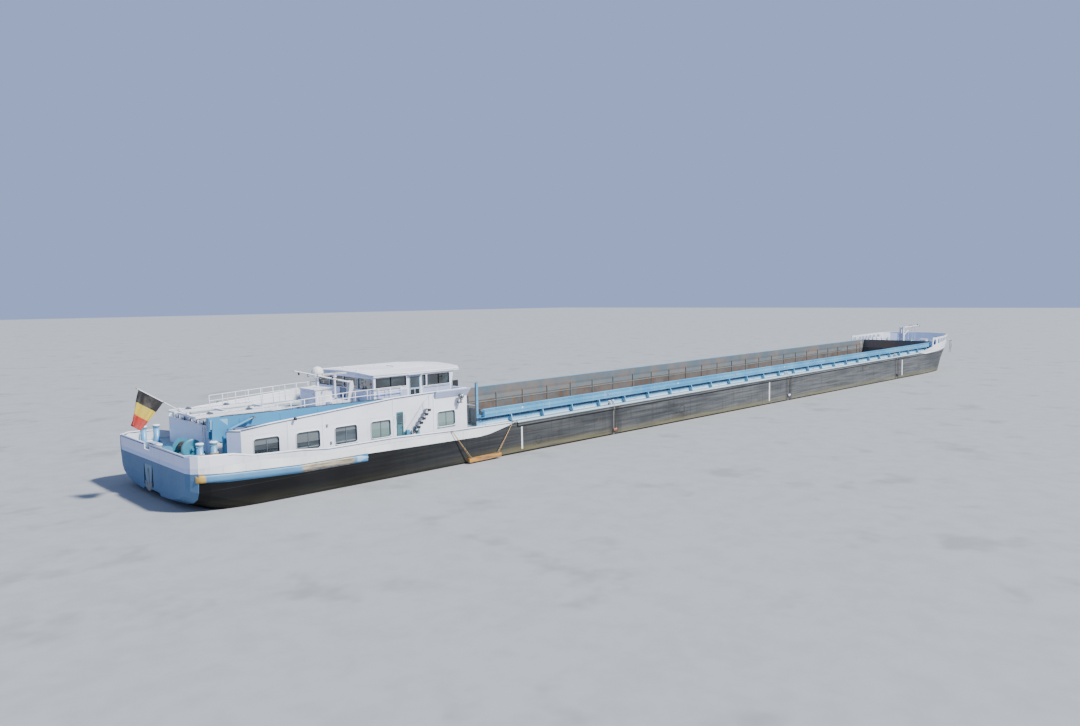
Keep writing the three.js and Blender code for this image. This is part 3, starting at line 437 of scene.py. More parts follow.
@dataclass(frozen=True)
class HullShell(Finish):
    """The hull: its paint bands outside, deck paint on top and scraped steel in the hold."""

    hold_half: float = 501.0
    hold_aft: float = 959.0
    hold_fore: float = 10216.5
    hold_floor: float = -325.0
    gangway_aft: float = 2180.0
    gangway_fore: float = 9455.0
    strake_end: float = 1010.0

    def draw(self, shader: Shader) -> None:
        """Adds the hull's zones to the shader."""
        s, h, beam = shader.s, shader.h, shader.beam
        normal = shader.node("NewGeometry", {}, [], "Normal")
        lift = shader.node("SeparateXYZ", {}, [normal], 2)
        tar = self.tar(shader)
        over_water = (shader.z - (WATERLINE - shader.x * TRIM)) * 1000
        lined = shader.noise(22.0, 4.0, 0.6, shader.spread(0.15, 1.0, 2.0))
        weed = over_water.fade(72.0, 16.0) * s.fade(1500.0, 2300.0, 0.1, 1.0) * lined.fade(0.2, 0.6)
        side = shader.mix(weed * 0.62, tar, tint(0x77714F))
        side = shader.mix(over_water.fade(13.0, 9.0), side, tint(0x1E1D18))
        under = over_water.fade(2.0, -6.0)
        bottom = shader.mix(shader.noise(14.0, 5.0).fade(0.45, 0.62), tint(0x2B2624), tint(0x4A3328))
        side = shader.mix(under, side, bottom)
        side = self.marks(shader, side)
        side = self.bands(shader, side)
        deck = self.deck(shader)
        flat = (lift > 0.7) * (h > -20.0)
        colour = shader.mix(flat, side, deck)
        within = (s > self.hold_aft) * (s < self.hold_fore)
        inside = (beam < self.hold_half) * (h < -1.0) * (h > self.hold_floor) * within
        colour = shader.mix(inside, colour, self.hold(shader, lift))
        rough = shader.noise(70.0, 3.0) * 0.25 + 0.42
        seams = self.relief(shader)
        fine = shader.bump(shader.noise(240.0, 3.0, 0.7), 0.0003, seams)
        shader.finish(colour, rough, fine, Specular_IOR_Level=0.22)

    def tar(self, shader: Shader) -> Val:
        """Returns the hull side's worn black, greyer along the hold, with a painted highlight and a painted
        shadow along the rubbing strake.

        Args:
            shader: The hull's shader.

        Returns:
            The colour of the side.
        """
        s, h = shader.s, shader.h
        greyed = s.table([(0, 0.0), (900, 0.03), (1500, 0.16), (1950, 0.3), (2300, 0.5), (3600, 0.75),
                          (5200, 1.0), (9600, 1.0), (10000, 0.8), (11000, 0.5)])
        broad = shader.noise(2.4, 4.0, 0.6, shader.spread(1.0, 1.0, 2.5))
        rubs = shader.noise(30.0, 4.0, 0.65, shader.spread(0.05, 1.0, 1.6))
        runs = shader.noise(36.0, 3.0, 0.6, shader.spread(1.0, 1.0, 0.1))
        blotch = shader.noise(16.0, 5.0, 0.7)
        fresh = shader.mix(broad.fade(0.35, 0.7), tint(0x050506), tint(0x101114))
        old = shader.mix(rubs.fade(0.32, 0.68), tint(0x3F4347), tint(0x66696A))
        old = shader.mix(runs.fade(0.5, 0.8) * 0.55, old, tint(0x3A3B3C))
        old = shader.mix(blotch.fade(0.57, 0.68) * 0.5, old, tint(0x6F5D4C))
        colour = shader.mix(greyed * broad.fade(0.1, 0.5), fresh, old)
        rail = (h + 10).fade(0.0, -3.0) * (h + 31).fade(-3.0, 0.0) * greyed
        colour = shader.mix(rail * 0.8, colour, tint(0x35383B))
        # Painted highlight: a pale line along the round of the rubbing strake, broken by rub marks.
        line = (h + 22).size().fade(3.0, 1.0) * rubs.fade(0.3, 0.55) * greyed
        colour = shader.mix(line * 0.7, colour, tint(0x9A9C9B))
        # Painted shadow: a dark line under the rubbing strake.
        low = (h + 36).size().fade(4.0, 1.5) * greyed
        colour = shader.mix(low * 0.8, colour, tint(0x2A2C2E))
        patches = shader.noise(1.7, 2.0, 0.4, shader.spread(1.0, 1.0, 3.0, 4.0)).fade(0.56, 0.66)
        return shader.mix(patches * greyed * 0.35, colour, tint(0x35383C))

    def marks(self, shader: Shader, below: Val) -> Val:
        """Adds white draught bars, rubbed rings, and the dark scuffs that hang below the bollards.

        Args:
            shader: The hull's shader.
            below: The colour of the side.

        Returns:
            The marked colour.
        """
        s, h = shader.s, shader.h
        rubbed = shader.noise(26.0, 5.0, 0.7).fade(0.3, 0.5)
        upright = shader.noise(30.0, 4.0, 0.7, shader.spread(1.0, 1.0, 0.12))
        colour = below
        for place in (3230, 5965, 8725):
            near = (s - place).size().fade(95.0, 20.0) * upright.fade(0.3, 0.5)
            colour = shader.mix(near * 0.75, colour, tint(0x2C2D2F))
            line = (s - place + 12).size().fade(5.0, 3.0) * upright.fade(0.3, 0.5)
            colour = shader.mix(line * 0.5, colour, tint(0xAAB0B2))
        for place, across, height in ((2400, 26, -150), (4117, 42, -133), (7756, 38, -60)):
            dx, dh = (s - place) * (1 / across), (h - height) * (1 / 30.0)
            ring = (((dx * dx + dh * dh).do("SQRT") - 1.0).size()).fade(0.14, 0.05)
            colour = shader.mix(ring * rubbed * 0.8, colour, tint(0x2E2F31))
        for place, half, foot, top in ((2240, 7, -195, -39), (5583, 10, -222, -34), (8890, 14, -246, -50)):
            bar = ((s - place).size() < half) * (h > foot) * (h < top) * rubbed.fade(-0.3, 0.4)
            colour = shader.mix(bar, colour, tint(0xDADDDD))
        return colour

    def bands(self, shader: Shader, below: Val) -> Val:
        """Lays the white, blue and worn bands over the black, with painted shade, painted shadow lines and a
        painted highlight.

        Args:
            shader: The hull's shader.
            below: The colour of the side.

        Returns:
            The banded colour.
        """
        s, h, beam = shader.s, shader.h, shader.beam
        aft_edge = s.table([(0, 4), (200, -14), (575, -34), (1000, -38), (1330, -46), (1860, -57),
                            (1950, -50), (2120, -16), (2190, 4), (2400, 60)])
        bow_edge = s.table([(9300, 60), (9460, 0), (9680, -25), (10120, -15), (10510, 0), (10650, 20),
                            (11000, 20)])
        dull = shader.noise(5.0, 4.0, 0.6)
        white = shader.mix(dull.fade(0.3, 0.75), tint(0xEDF0F2), tint(0xD5DADF))
        # Painted shade: the white band turns pale blue on faces that point aft.
        white = shader.mix(shader.facing(0, -0.4, -0.9), white, tint(0xB9C8EC))
        runs = shader.noise(40.0, 3.0, 0.6, shader.spread(1.0, 1.0, 0.08)).fade(0.56, 0.74)
        white = shader.mix(runs * 0.25, white, tint(0x9A8F7C))
        aft = (h > aft_edge) * (s < 2300.0)
        fore = (h > bow_edge) * (s > 9400.0)
        colour = shader.mix(aft + fore, below, white)
        gangway = (s > self.gangway_aft) * (s < self.gangway_fore)
        colour = shader.mix((h > -3.5) * (beam > 561.0) * gangway, colour, tint(0x8FC0DC))
        # Painted highlight: a near-white line along the deck edge, standing for its sunlit upper face.
        colour = shader.mix((h > -0.5) * (h < 3.0) * (beam > 530.0) * gangway, colour, tint(0xE2E8EA))
        by_strake = s < self.strake_end
        strip = (aft_edge - h).fade(-1.0, 0.0) * (h - aft_edge + 44).fade(0.0, 3.0) * by_strake
        scraped = s.fade(560.0, 620.0) * s.fade(930.0, 880.0) * shader.noise(34.0, 4.0, 0.7).fade(0.38, 0.5)
        grey = shader.mix(shader.noise(60.0, 4.0).fade(0.4, 0.6), tint(0x8E8879), tint(0xB7AE98))
        blue = shader.mix(scraped, tint(0x4A82B0), grey)
        ochre = s.fade(78.0, 60.0) * shader.noise(45.0, 3.0).fade(0.35, 0.45)
        blue = shader.mix(ochre, blue, tint(0xC8A04A))
        colour = shader.mix(strip, colour, blue)
        plate = (s < 48.0) * (h < 4.0)
        # Painted shadow: dark blue lines along the strake's upper and lower edges.
        upper = (h - aft_edge).size().fade(2.6, 1.2) * by_strake
        lower = (h - aft_edge + 40).size().fade(2.4, 1.0) * by_strake
        colour = shader.mix((upper + lower) * 0.85, colour, tint(0x1D2C44))
        steel = shader.mix(dull.fade(0.3, 0.8), tint(0x56789A), tint(0x486C8E))
        steel = shader.mix(shader.noise(50.0, 3.0, 0.6, shader.spread(1.0, 1.0, 0.15)).fade(0.5, 0.75) * 0.45,
                           steel, tint(0x6E7C84))
        return shader.mix(plate, colour, steel)

    def deck(self, shader: Shader) -> Val:
        """Returns the grey deck paint, trodden and rust-stained."""
        trodden = shader.noise(11.0, 5.0, 0.65)
        colour = shader.mix(trodden.fade(0.35, 0.65), tint(0x7E98A4), tint(0x9AA9AD))
        return shader.mix(shader.noise(23.0, 6.0, 0.7).fade(0.6, 0.72) * 0.6, colour, tint(0x7A5A46))

    def hold(self, shader: Shader, lift: Val) -> Val:
        """Returns the hold's scraped steel, rustier on the floor.

        Args:
            shader: The hull's shader.
            lift: How far the face points up.

        Returns:
            The colour inside.
        """
        runs = shader.noise(24.0, 5.0, 0.65, shader.spread(1.0, 1.0, 0.14))
        wall = shader.mix(runs.fade(0.35, 0.7), tint(0x5A666D), tint(0x765A43))
        wall = shader.mix(shader.noise(7.0, 4.0).fade(0.4, 0.7) * 0.5, wall, tint(0x483A32))
        scrapes = shader.noise(18.0, 5.0, 0.7, shader.spread(0.25, 1.0, 1.0))
        floor = shader.mix(scrapes.fade(0.35, 0.65), tint(0x57463B), tint(0x736961))
        floor = shader.mix(shader.noise(2.2, 5.0, 0.7).fade(0.45, 0.6) * 0.6, floor, tint(0x3E3029))
        return shader.mix(lift > 0.5, wall, floor)

    def relief(self, shader: Shader) -> Val:
        """Presses plate hollows between the frames and raises the weld seams.

        Args:
            shader: The hull's shader.

        Returns:
            The normal.
        """
        s, h = shader.s, shader.h
        frames = (s * (math.tau / 50.0)).do("SINE") * 0.5
        wave = shader.noise(4.5, 2.0, 0.5) + frames * 0.35 * shader.noise(1.3, 1.0)
        hollow = shader.bump(wave, 0.0012)
        butts = (s * (1 / 600.0)).do("FRACT") - 0.5
        seam = butts.size().fade(0.0025, 0.0)
        for below in (92, 190):
            seam = seam + (h + below).size().fade(1.6, 0.2)
        return shader.bump(seam, 0.0006, hollow)


@dataclass(frozen=True)
class BareSteel(Finish):
    """Galvanised or scraped steel, spangled, with rust in patches."""

    colour: int = 0x9AA0A4
    rust: float = 0.3
    metal: float = 0.75

    def draw(self, shader: Shader) -> None:
        """Adds the steel's nodes to the shader."""
        spangle = shader.cells(130.0)
        base = shader.mix(spangle.fade(0.1, 0.7), tint(self.colour), tint(shaded(self.colour, 0.78)))
        rust = shader.noise(38.0, 5.0, 0.7).fade(0.54, 0.66) * self.rust
        colour = shader.mix(rust, base, tint(0x6B4330))
        metal = rust * -self.metal + self.metal
        rough = rust * 0.35 + spangle * 0.1 + 0.38
        shader.finish(colour, rough, shader.bump(shader.noise(300.0, 3.0), 0.0002), Metallic=metal)


@dataclass(frozen=True)
class Pane(Finish):
    """Window glass, dark from outside, with a faint painted reflection of the sky on it and dust at the foot.
    """

    colour: int = 0x141C21
    # The colour of the painted sky reflection.
    pale: int = 0x40545E

    def draw(self, shader: Shader) -> None:
        """Adds the glass's nodes to the shader."""
        # Painted reflection: soft pale patches of sky mixed into the dark glass.
        sky = shader.noise(5.0, 2.0, 0.5, shader.spread(1.0, 1.0, 2.0))
        colour = shader.mix(sky.fade(0.42, 0.7) * 0.55, tint(self.colour), tint(self.pale))
        dust = shader.noise(90.0, 4.0, 0.6)
        shader.finish(colour, dust * 0.08 + 0.05, shader.bump(shader.noise(7.0, 1.0), 0.0004),
                      Coat_Weight=1.0, IOR=1.52)


@dataclass(frozen=True)
class Timber(Finish):
    """Plain softwood, weathered, with its grain along the vessel."""

    colour: int = 0xC08A3E
    dark: int = 0x7A5426

    def draw(self, shader: Shader) -> None:
        """Adds the wood's nodes to the shader."""
        grain = shader.noise(150.0, 4.0, 0.6, shader.spread(0.06, 1.0, 1.0), 0.4)
        colour = shader.mix(grain.fade(0.35, 0.65), tint(self.dark), tint(self.colour))
        grey = shader.noise(12.0, 4.0).fade(0.5, 0.7) * 0.4
        shader.finish(shader.mix(grey, colour, tint(0x8C8375)), grain * 0.2 + 0.6, shader.bump(grain, 0.0008))


@dataclass(frozen=True)
class Plain(Finish):
    """Rubber, plastic, rope and other small goods: a mottled colour with a fine surface."""

    colour: int = 0x303236
    rough: float = 0.6
    scale: float = 180.0
    relief: float = 0.0004
    vary: float = 0.7
    metal: float = 0.0

    def draw(self, shader: Shader) -> None:
        """Adds the nodes to the shader."""
        fine = shader.noise(self.scale, 3.0)
        broad = shader.noise(9.0, 3.0)
        colour = shader.mix(broad.fade(0.35, 0.7), tint(self.colour), tint(shaded(self.colour, self.vary)))
        colour = shader.mix(fine.fade(0.55, 0.75) * 0.4, colour, tint(shaded(self.colour, self.vary * 0.7)))
        shader.finish(colour, fine * 0.2 + (self.rough - 0.1), shader.bump(fine, self.relief),
                      Metallic=self.metal)


@dataclass(frozen=True)
class Laid(Finish):
    """Laid rope: strands that wind round it, read from the rope's own UV map, darker between them as painted
    shade.
    """

    colour: int = 0xC9B48A
    turns: float = 3.0

    def draw(self, shader: Shader) -> None:
        """Adds the rope's nodes to the shader."""
        along = shader.node("UVMap", {}, [])
        u, v = (shader.node("SeparateXYZ", {}, [along], i) for i in range(2))
        strand = ((u * self.turns + v * 60.0) * math.tau).do("SINE") * 0.5 + 0.5
        # Painted shade: the colour darkens in the grooves between the strands.
        colour = shader.mix(strand, tint(shaded(self.colour, 0.55)), tint(self.colour))
        dirt = shader.noise(40.0, 4.0).fade(0.5, 0.7) * 0.5
        shader.finish(shader.mix(dirt, colour, tint(0x6D6352)), strand * 0.1 + 0.75,
                      shader.bump(strand, 0.001))


class Piece:
    """One piece in the making: closed forms are added, each in a finish, and made one object."""

    def __init__(self, name: str, finish: Finish) -> None:
        """Starts an empty piece.

        Args:
            name: The piece's plain name.
            finish: The finish of the forms that come first.
        """
        self.name = name
        self.mesh = bmesh.new()
        self.finishes = [finish]
        self.index = 0

    def use(self, finish: Finish) -> "Piece":
        """Gives the forms that come next another finish, and returns the piece."""
        if finish not in self.finishes:
            self.finishes.append(finish)
        self.index = self.finishes.index(finish)
        return self

    def rings(self, rows: Sequence[Sequence[Point]], smooth: bool = True, loop: bool = False) -> "Piece":
        """Skins closed rings of points, one after the other, and caps the two ends.

        Args:
            rows: The rings, each with as many points.
            smooth: Whether the skin is shaded as one curve.
            loop: Whether the last ring joins the first, with no caps.

        Returns:
            The piece.
        """
        size, count = len(rows[0]), len(rows)
        faces = []
        for i in range(count if loop else count - 1):
            a, b = i * size, ((i + 1) % count) * size
            faces += [(a + k, a + (k + 1) % size, b + (k + 1) % size, b + k) for k in range(size)]
        points = [point for row in rows for point in row]
        inward = self.volume(points, faces) < 0
        if inward:
            faces = [tuple(reversed(face)) for face in faces]
        caps = []
        if not loop:
            first, last = tuple(range(size)), tuple(range((count - 1) * size, count * size))
            caps = [first, last[::-1]] if inward else [first[::-1], last]
        corners = [self.mesh.verts.new(point) for point in points]
        for row, curved in [(face, smooth) for face in faces] + [(cap, False) for cap in caps]:
            made = self.mesh.faces.new([corners[i] for i in row])
            made.material_index, made.smooth = self.index, curved
        return self

    @staticmethod
    def volume(points: Sequence[Point], faces: Sequence[Sequence[int]]) -> float:
        """Returns a signed volume, above 0 where the faces look outwards."""
        middle = sum((Vector(p) for p in points), Vector()) / len(points)
        total = 0.0
        for face in faces:
            a = Vector(points[face[0]]) - middle
            for j in range(1, len(face) - 1):
                total += a.dot((Vector(points[face[j]]) - middle).cross(Vector(points[face[j + 1]]) - middle))
        return total

    def box(self, low: Point, high: Point) -> "Piece":
        """Adds a block between two corners, in metres, and returns the piece."""
        (x0, y0, z0), (x1, y1, z1) = low, high
        ring = [(x0, y0), (x1, y0), (x1, y1), (x0, y1)]
        return self.rings([[(x, y, z) for x, y in ring] for z in (z0, z1)], False)

    def block(self, aft: float, fore: float, right: float, left: float, foot: float, top: float) -> "Piece":
        """Adds a block by mm from the transom, to port and above the deck edge, and returns the piece."""
        return self.box(spot(aft, right, foot), spot(fore, left, top))

    def blocks(self, rows: Iterable[Sequence[float]], side: int = 1) -> "Piece":
        """Adds blocks from rows of aft, fore, inner, outer, foot and top, on one side of the vessel.

        Args:
            rows: Each block's limits in mm, from the transom, from the centreline and above the deck edge.
            side: -1 for starboard, 1 for port.

        Returns:
            The piece.
        """
        for aft, fore, inner, outer, foot, top in rows:
            right, left = sorted((inner * side, outer * side))
            self.block(aft, fore, right, left, foot, top)
        return self

    def prism(self, outline: Sequence[Sequence[float]], near: float, far: float, along: str = "y") -> "Piece":
        """Pushes a flat outline along an axis.

        Args:
            outline: Pairs of metres on the two other axes, in their order.
            near: Where it begins along the axis.
            far: Where it ends.
            along: The axis.

        Returns:
            The piece.
        """
        place = {"x": lambda d, a, b: (d, a, b), "y": lambda d, a, b: (a, d, b), "z": lambda d, a,
                 b: (a, b, d)}[along]
        return self.rings([[place(d, a, b) for a, b in outline] for d in (near, far)], False)

    def pipe(self, path: Sequence[Point], radius: Union[float, Sequence[float]], sides: int = 8,
             loop: bool = False) -> "Piece":
        """Runs a round bar along points.

        Args:
            path: The points, in metres.
            radius: Its radius in metres, or one for each point.
            sides: How many flats it has.
            loop: Whether it closes on itself.

        Returns:
            The piece.
        """
        points = [Vector(p) for p in path]
        count = len(points)
        radii = [radius] * count if isinstance(radius, (int, float)) else list(radius)
        across = None
        rows = []
        for i, point in enumerate(points):
            before = points[i - 1] if i or loop else point
            after = points[(i + 1) % count] if i < count - 1 or loop else point
            way = (after - before).normalized()
            if across is None:
                across = way.orthogonal().normalized()
            across = (across - way * across.dot(way)).normalized()
            other = way.cross(across)
            rows.append([point + (across * u + other * v) * radii[i] for u, v in around(sides)])
        return self.rings(rows, True, loop)

    def rod(self, start: Point, end: Point, radius: float, sides: int = 10) -> "Piece":
        """Adds a straight round bar and returns the piece."""
        return self.pipe([start, end], radius, sides)

    def turned(self, foot: Point, way: Point, profile: Sequence[Sequence[float]], sides: int = 20) -> "Piece":
        """Turns a profile about an axis.

        Args:
            foot: Where the axis begins, in metres.
            way: The axis's direction.
            profile: Rows of distance along the axis and radius, in metres.
            sides: How many flats it has.

        Returns:
            The piece.
        """
        axis = Vector(way).normalized()
        across = axis.orthogonal().normalized()
        other = axis.cross(across)
        rows = []
        for along, radius in profile:
            middle = Vector(foot) + axis * along
            reach = max(radius, 1e-5)
            rows.append([middle + (across * u + other * v) * reach for u, v in around(sides)])
        return self.rings(rows)

    def ball(self, middle: Point, radius: float, squash: float = 1.0, sides: int = 16) -> "Piece":
        """Adds a round knob, squashed upright by a share, and returns the piece."""
        steps = [math.pi * k / (sides // 2) for k in range(sides // 2 + 1)]
        profile = [(-math.cos(t) * radius * squash, math.sin(t) * radius) for t in steps]
        return self.turned(middle, (0, 0, 1), profile, sides)

    def plate(self, corners: Sequence[Point], thick: float) -> "Piece":
        """Adds a flat plate on its corners, as thick on the side that it faces.

        Args:
            corners: Its outline, turning left as seen from the face.
            thick: Its thickness in metres.

        Returns:
            The piece.
        """
        points = [Vector(c) for c in corners]
        normal = Vector()
        for i in range(1, len(points) - 1):
            normal += (points[i] - points[0]).cross(points[i + 1] - points[0])
        normal.normalize()
        return self.rings([points, [p + normal * thick for p in points]], False)

    def hand_wheel(self, place: float, across: float, height: float, reach: float, rim: float,
                   spoke: float) -> None:
        """Adds a level hand wheel with two crossed spokes.

        Args:
            place: Its middle, in mm from the transom.
            across: Its middle, in mm to port.
            height: Its height over the deck edge, in mm.
            reach: Its radius in mm.
            rim: The rim's radius in metres.
            spoke: A spoke's radius in metres.
        """
        ring = [spot(place + reach * u, across + reach * v, height) for u, v in around(20)]
        self.pipe(ring, rim, 6, True)
        for u, v in around(4)[:2]:
            dx, dy = reach * u, reach * v
            self.rod(spot(place - dx, across - dy, height), spot(place + dx, across + dy, height), spoke, 6)

    def done(self, body: str, bevel: float = 0.0,
             replaces: Sequence[str] = ()) -> bpy.types.Object:
        """Makes the object and lets it ride.

        Args:
            body: The body that it moves with.
            bevel: Width in metres of the rounding on its sharp edges.
            replaces: CAD nodes that it stands for.

        Returns:
            The finished object.
        """
        data = bpy.data.meshes.new(self.name)
        self.mesh.normal_update()
        self.mesh.to_mesh(data)
        self.mesh.free()
        return settle(data, self.name, [f.material() for f in self.finishes], body, bevel, replaces)


def settle(data: bpy.types.Mesh, name: str, materials: Sequence[bpy.types.Material], body: str,
           bevel: float = 0.0, replaces: Sequence[str] = ()) -> bpy.types.Object:
    """Makes an object of a mesh, dresses it and lets it ride.

    Args:
        data: The mesh, in place.
        name: The piece's name.
        materials: Its materials, in order.
        body: The body that it moves with.
        bevel: Width in metres of the rounding on its sharp edges.
        replaces: CAD nodes that it stands for.

    Returns:
        The finished object.
    """
    made = bpy.data.objects.new(name, data)
    bpy.context.scene.collection.objects.link(made)
    if not data.materials:
        for material in materials:
            data.materials.append(material)
    if bevel:
        rounding = made.modifiers.new("rounding", "BEVEL")
        rounding.width, rounding.segments = bevel, 2
        rounding.limit_method, rounding.angle_limit = "ANGLE", math.radians(50)
    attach(made, body)
    if replaces:
        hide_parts(*replaces)
    log.info("%s: %d faces", name, len(data.polygons))
    return made


class Grown:
    """A piece made by Geometry Nodes and turned into a plain mesh."""

    def __init__(self, name: str, finish: Finish, sizes: dict[str, float]) -> None:
        """Starts an empty tree with named inputs.

        Args:
            name: The piece's name.
            finish: What the tree's last node dresses it in.
            sizes: The tree's named inputs and their values, in metres.
        """
        self.name, self.finish, self.sizes = name, finish, sizes
        self.tree = bpy.data.node_groups.new(name, "GeometryNodeTree")
        face = self.tree.interface
        face.new_socket("Geometry", in_out="INPUT", socket_type="NodeSocketGeometry")
        face.new_socket("Geometry", in_out="OUTPUT", socket_type="NodeSocketGeometry")
        self.keys = {}
        for size in sizes:
            self.keys[size] = face.new_socket(size, in_out="INPUT", socket_type="NodeSocketFloat").identifier
        self.start = self.tree.nodes.new("NodeGroupInput")
        self.end = self.tree.nodes.new("NodeGroupOutput")

    def node(self, kind: str, settings: dict, inputs: dict,
             output: Union[int, str] = 0) -> bpy.types.NodeSocket:
        """Adds one node.

        Args:
            kind: The node's full type after "GeometryNode", or the type itself for shared nodes.
            settings: Its own settings, set first.
            inputs: Values, sockets or names of the tree's sizes, by socket name or number.
            output: Which socket is returned.

        Returns:
            The output socket.
        """
        full = kind if kind.startswith(("Shader", "Function")) else f"GeometryNode{kind}"
        found = self.tree.nodes.new(full)
        for key, value in settings.items():
            setattr(found, key, value)
        for key, value in inputs.items():
            if isinstance(value, str) and value in self.sizes:
                value = self.start.outputs[value]
            if isinstance(value, bpy.types.NodeSocket):
                self.tree.links.new(value, found.inputs[key])
            else:
                found.inputs[key].default_value = value
        return found.outputs[output]

    @property
    def given(self) -> bpy.types.NodeSocket:
        """The geometry that the tree is given."""
        return self.start.outputs["Geometry"]

    def triple(self, x: object = 0.0, y: object = 0.0, z: object = 0.0) -> bpy.types.NodeSocket:
        """Returns a vector of three numbers, sockets or named sizes."""
        return self.node("ShaderNodeCombineXYZ", {}, {0: x, 1: y, 2: z})

    def joined(self, *parts: bpy.types.NodeSocket) -> bpy.types.NodeSocket:
        """Joins geometries and returns the whole."""
        join = self.tree.nodes.new("GeometryNodeJoinGeometry")
        for part in parts:
            self.tree.links.new(part, join.inputs[0])
        return join.outputs[0]

    def round_bar(self, path: bpy.types.NodeSocket, radius: object, sides: int = 6) -> bpy.types.NodeSocket:
        """Makes a closed round bar along edges.

        Args:
            path: The edges.
            radius: The bar's radius, a number or a named size.
            sides: How many flats it has.

        Returns:
            The bar.
        """
        curve = self.node("MeshToCurve", {}, {0: path})
        ring = self.node("CurvePrimitiveCircle", {}, {"Resolution": sides, "Radius": radius})
        return self.node("CurveToMesh", {}, {"Curve": curve, "Profile Curve": ring, "Fill Caps": True})

    def grow(self, result: bpy.types.NodeSocket, points: Sequence[Point], edges: Sequence[Sequence[int]],
             body: str, slot: str, smooth: bool = True, bevel: float = 0.0) -> bpy.types.Object:
        """Ends the tree, runs it on points and edges, and keeps the plain mesh.

        Args:
            result: The tree's last geometry.
            points: The given points, in metres.
            edges: Pairs of point numbers.
            body: The body that the piece moves with.
            slot: The record's material slot; not used.
            smooth: Whether faces are shaded as curves.
            bevel: Width in metres of the rounding on sharp edges.

        Returns:
            The finished object.
        """
        real = self.node("RealizeInstances", {}, {0: result})
        curved = self.node("SetShadeSmooth", {}, {0: real, "Shade Smooth": smooth})
        dressed = self.node("SetMaterial", {}, {0: curved, "Material": self.finish.material()})
        self.tree.links.new(dressed, self.end.inputs[0])
        data = bpy.data.meshes.new(f"{self.name} path")
        data.from_pydata([tuple(p) for p in points], [tuple(e) for e in edges], [])
        path = bpy.data.objects.new(f"{self.name} path", data)
        bpy.context.scene.collection.objects.link(path)
        modifier = path.modifiers.new("grow", "NODES")
        modifier.node_group = self.tree
        for size, value in self.sizes.items():
            modifier[self.keys[size]] = float(value)
        seen = path.evaluated_get(bpy.context.evaluated_depsgraph_get())
        made = bpy.data.meshes.new_from_object(seen)
        path.modifiers.remove(modifier)
        bpy.data.objects.remove(path)
        made.name = self.name
        return settle(made, self.name, [self.finish.material()], body, bevel)


def railing(name: str, finish: Finish, path: Sequence[Point], radius: float, drops: Sequence[float],
            pitch: float, tall: float, body: str, slot: str) -> bpy.types.Object:
    """Grows a railing: bars one under the other and posts at an even pitch.

    Args:
        name: The piece's name.
        finish: Its finish.
        path: The top bar's corners, in metres.
        radius: Radius of bars and posts.
        drops: How far each bar lies under the path.
        pitch: Distance between posts.
        tall: Height of the posts, down from the path.
        body: The body that it moves with.
        slot: The record's material slot.

    Returns:
        The finished object.
    """
    grown = Grown(name, finish, {"Bar radius": radius, "Post pitch": pitch, "Post height": tall})
    bars = []
    for drop in drops:
        moved = grown.node("SetPosition", {}, {0: grown.given, "Offset": (0.0, 0.0, -drop)})
        bars.append(grown.round_bar(moved, "Bar radius"))
    curve = grown.node("MeshToCurve", {}, {0: grown.given})
    marks = grown.node("CurveToPoints", {"mode": "LENGTH"}, {0: curve, "Length": "Post pitch"})
    post = grown.node("MeshCylinder", {}, {"Vertices": 6, "Radius": "Bar radius", "Depth": "Post height"})
    half = grown.node("ShaderNodeMath", {"operation": "MULTIPLY"}, {0: "Post height", 1: -0.5})
    hung = grown.node("Transform", {}, {0: post, "Translation": grown.triple(0.0, 0.0, half)})
    posts = grown.node("InstanceOnPoints", {}, {0: marks, "Instance": hung})
    edges = [(i, i + 1) for i in range(len(path) - 1)]
    return grown.grow(grown.joined(*bars, posts), list(path), edges, body, slot)


def repeated(name: str, finish: Finish, places: Sequence[Point], size: Point, body: str, slot: str,
             sides: int = 0, way: Point = (0.0, 0.0, 0.0), bevel: float = 0.0) -> bpy.types.Object:
    """Grows the same small block or stud at many places.

    Args:
        name: The piece's name.
        finish: Its finish.
        places: The middles, in metres.
        size: The block's sides in metres, or a stud's diameter twice and its length.
        body: The body that it moves with.
        slot: The record's material slot.
        sides: 0 for a block, else how many flats the stud has.
        way: How each is turned, as three angles.
        bevel: Width in metres of the rounding on sharp edges.

    Returns:
        The finished object.
    """
    grown = Grown(name, finish, {"Length": size[0], "Width": size[1], "Height": size[2]})
    if sides:
        radius = grown.node("ShaderNodeMath", {"operation": "MULTIPLY"}, {0: "Length", 1: 0.5})
        form = grown.node("MeshCylinder", {}, {"Vertices": sides, "Radius": radius, "Depth": "Height"})
    else:
        form = grown.node("MeshCube", {}, {"Size": grown.triple("Length", "Width", "Height")})
    spots = grown.node("MeshToPoints", {}, {0: grown.given})
    set_out = grown.node("InstanceOnPoints", {}, {0: spots, "Instance": form, "Rotation": tuple(way)})
    return grown.grow(set_out, places, [], body, slot, False, bevel)


WHITE_PAINT = Paint("white ship paint")
# White paint coloured lilac as painted shade, for faces that lie in shade.
PAINTED_SHADE_WHITE = Paint("lilac ship paint", PAINTED_SHADE_LILAC, 0x7F7A78)
BLUE_PAINT = Paint("blue crane paint", SKY, 0x4A4A48, 0.35)
CYAN_PAINT = Paint("light blue coaming paint", CYAN, 0x6C6A5E, 0.5, 0.45)
GLASS = Pane("window glass")
HULL_FINISH = HullShell("hull shell")
TEAL_PAINT = Paint("turquoise machinery paint", TEAL, 0x4B463C, 0.5, 0.5)
BODY_BLUE = Paint("pale blue machinery paint", 0x5D9CC6, 0x6C6A5E, 0.4, 0.45)
DOOR_PAINT = Paint("grey green door paint", 0x4A767E, 0x4B463C, 0.3, 0.5)
ANCHOR_PAINT = Paint("pale anchor paint", 0xC9CDD2, 0x6B5F50, 0.8, 0.6, 0.5)
DARK_BLUE = Paint("dark blue trim", 0x2F4E73, 0x3C3B38, 0.2, 0.3)
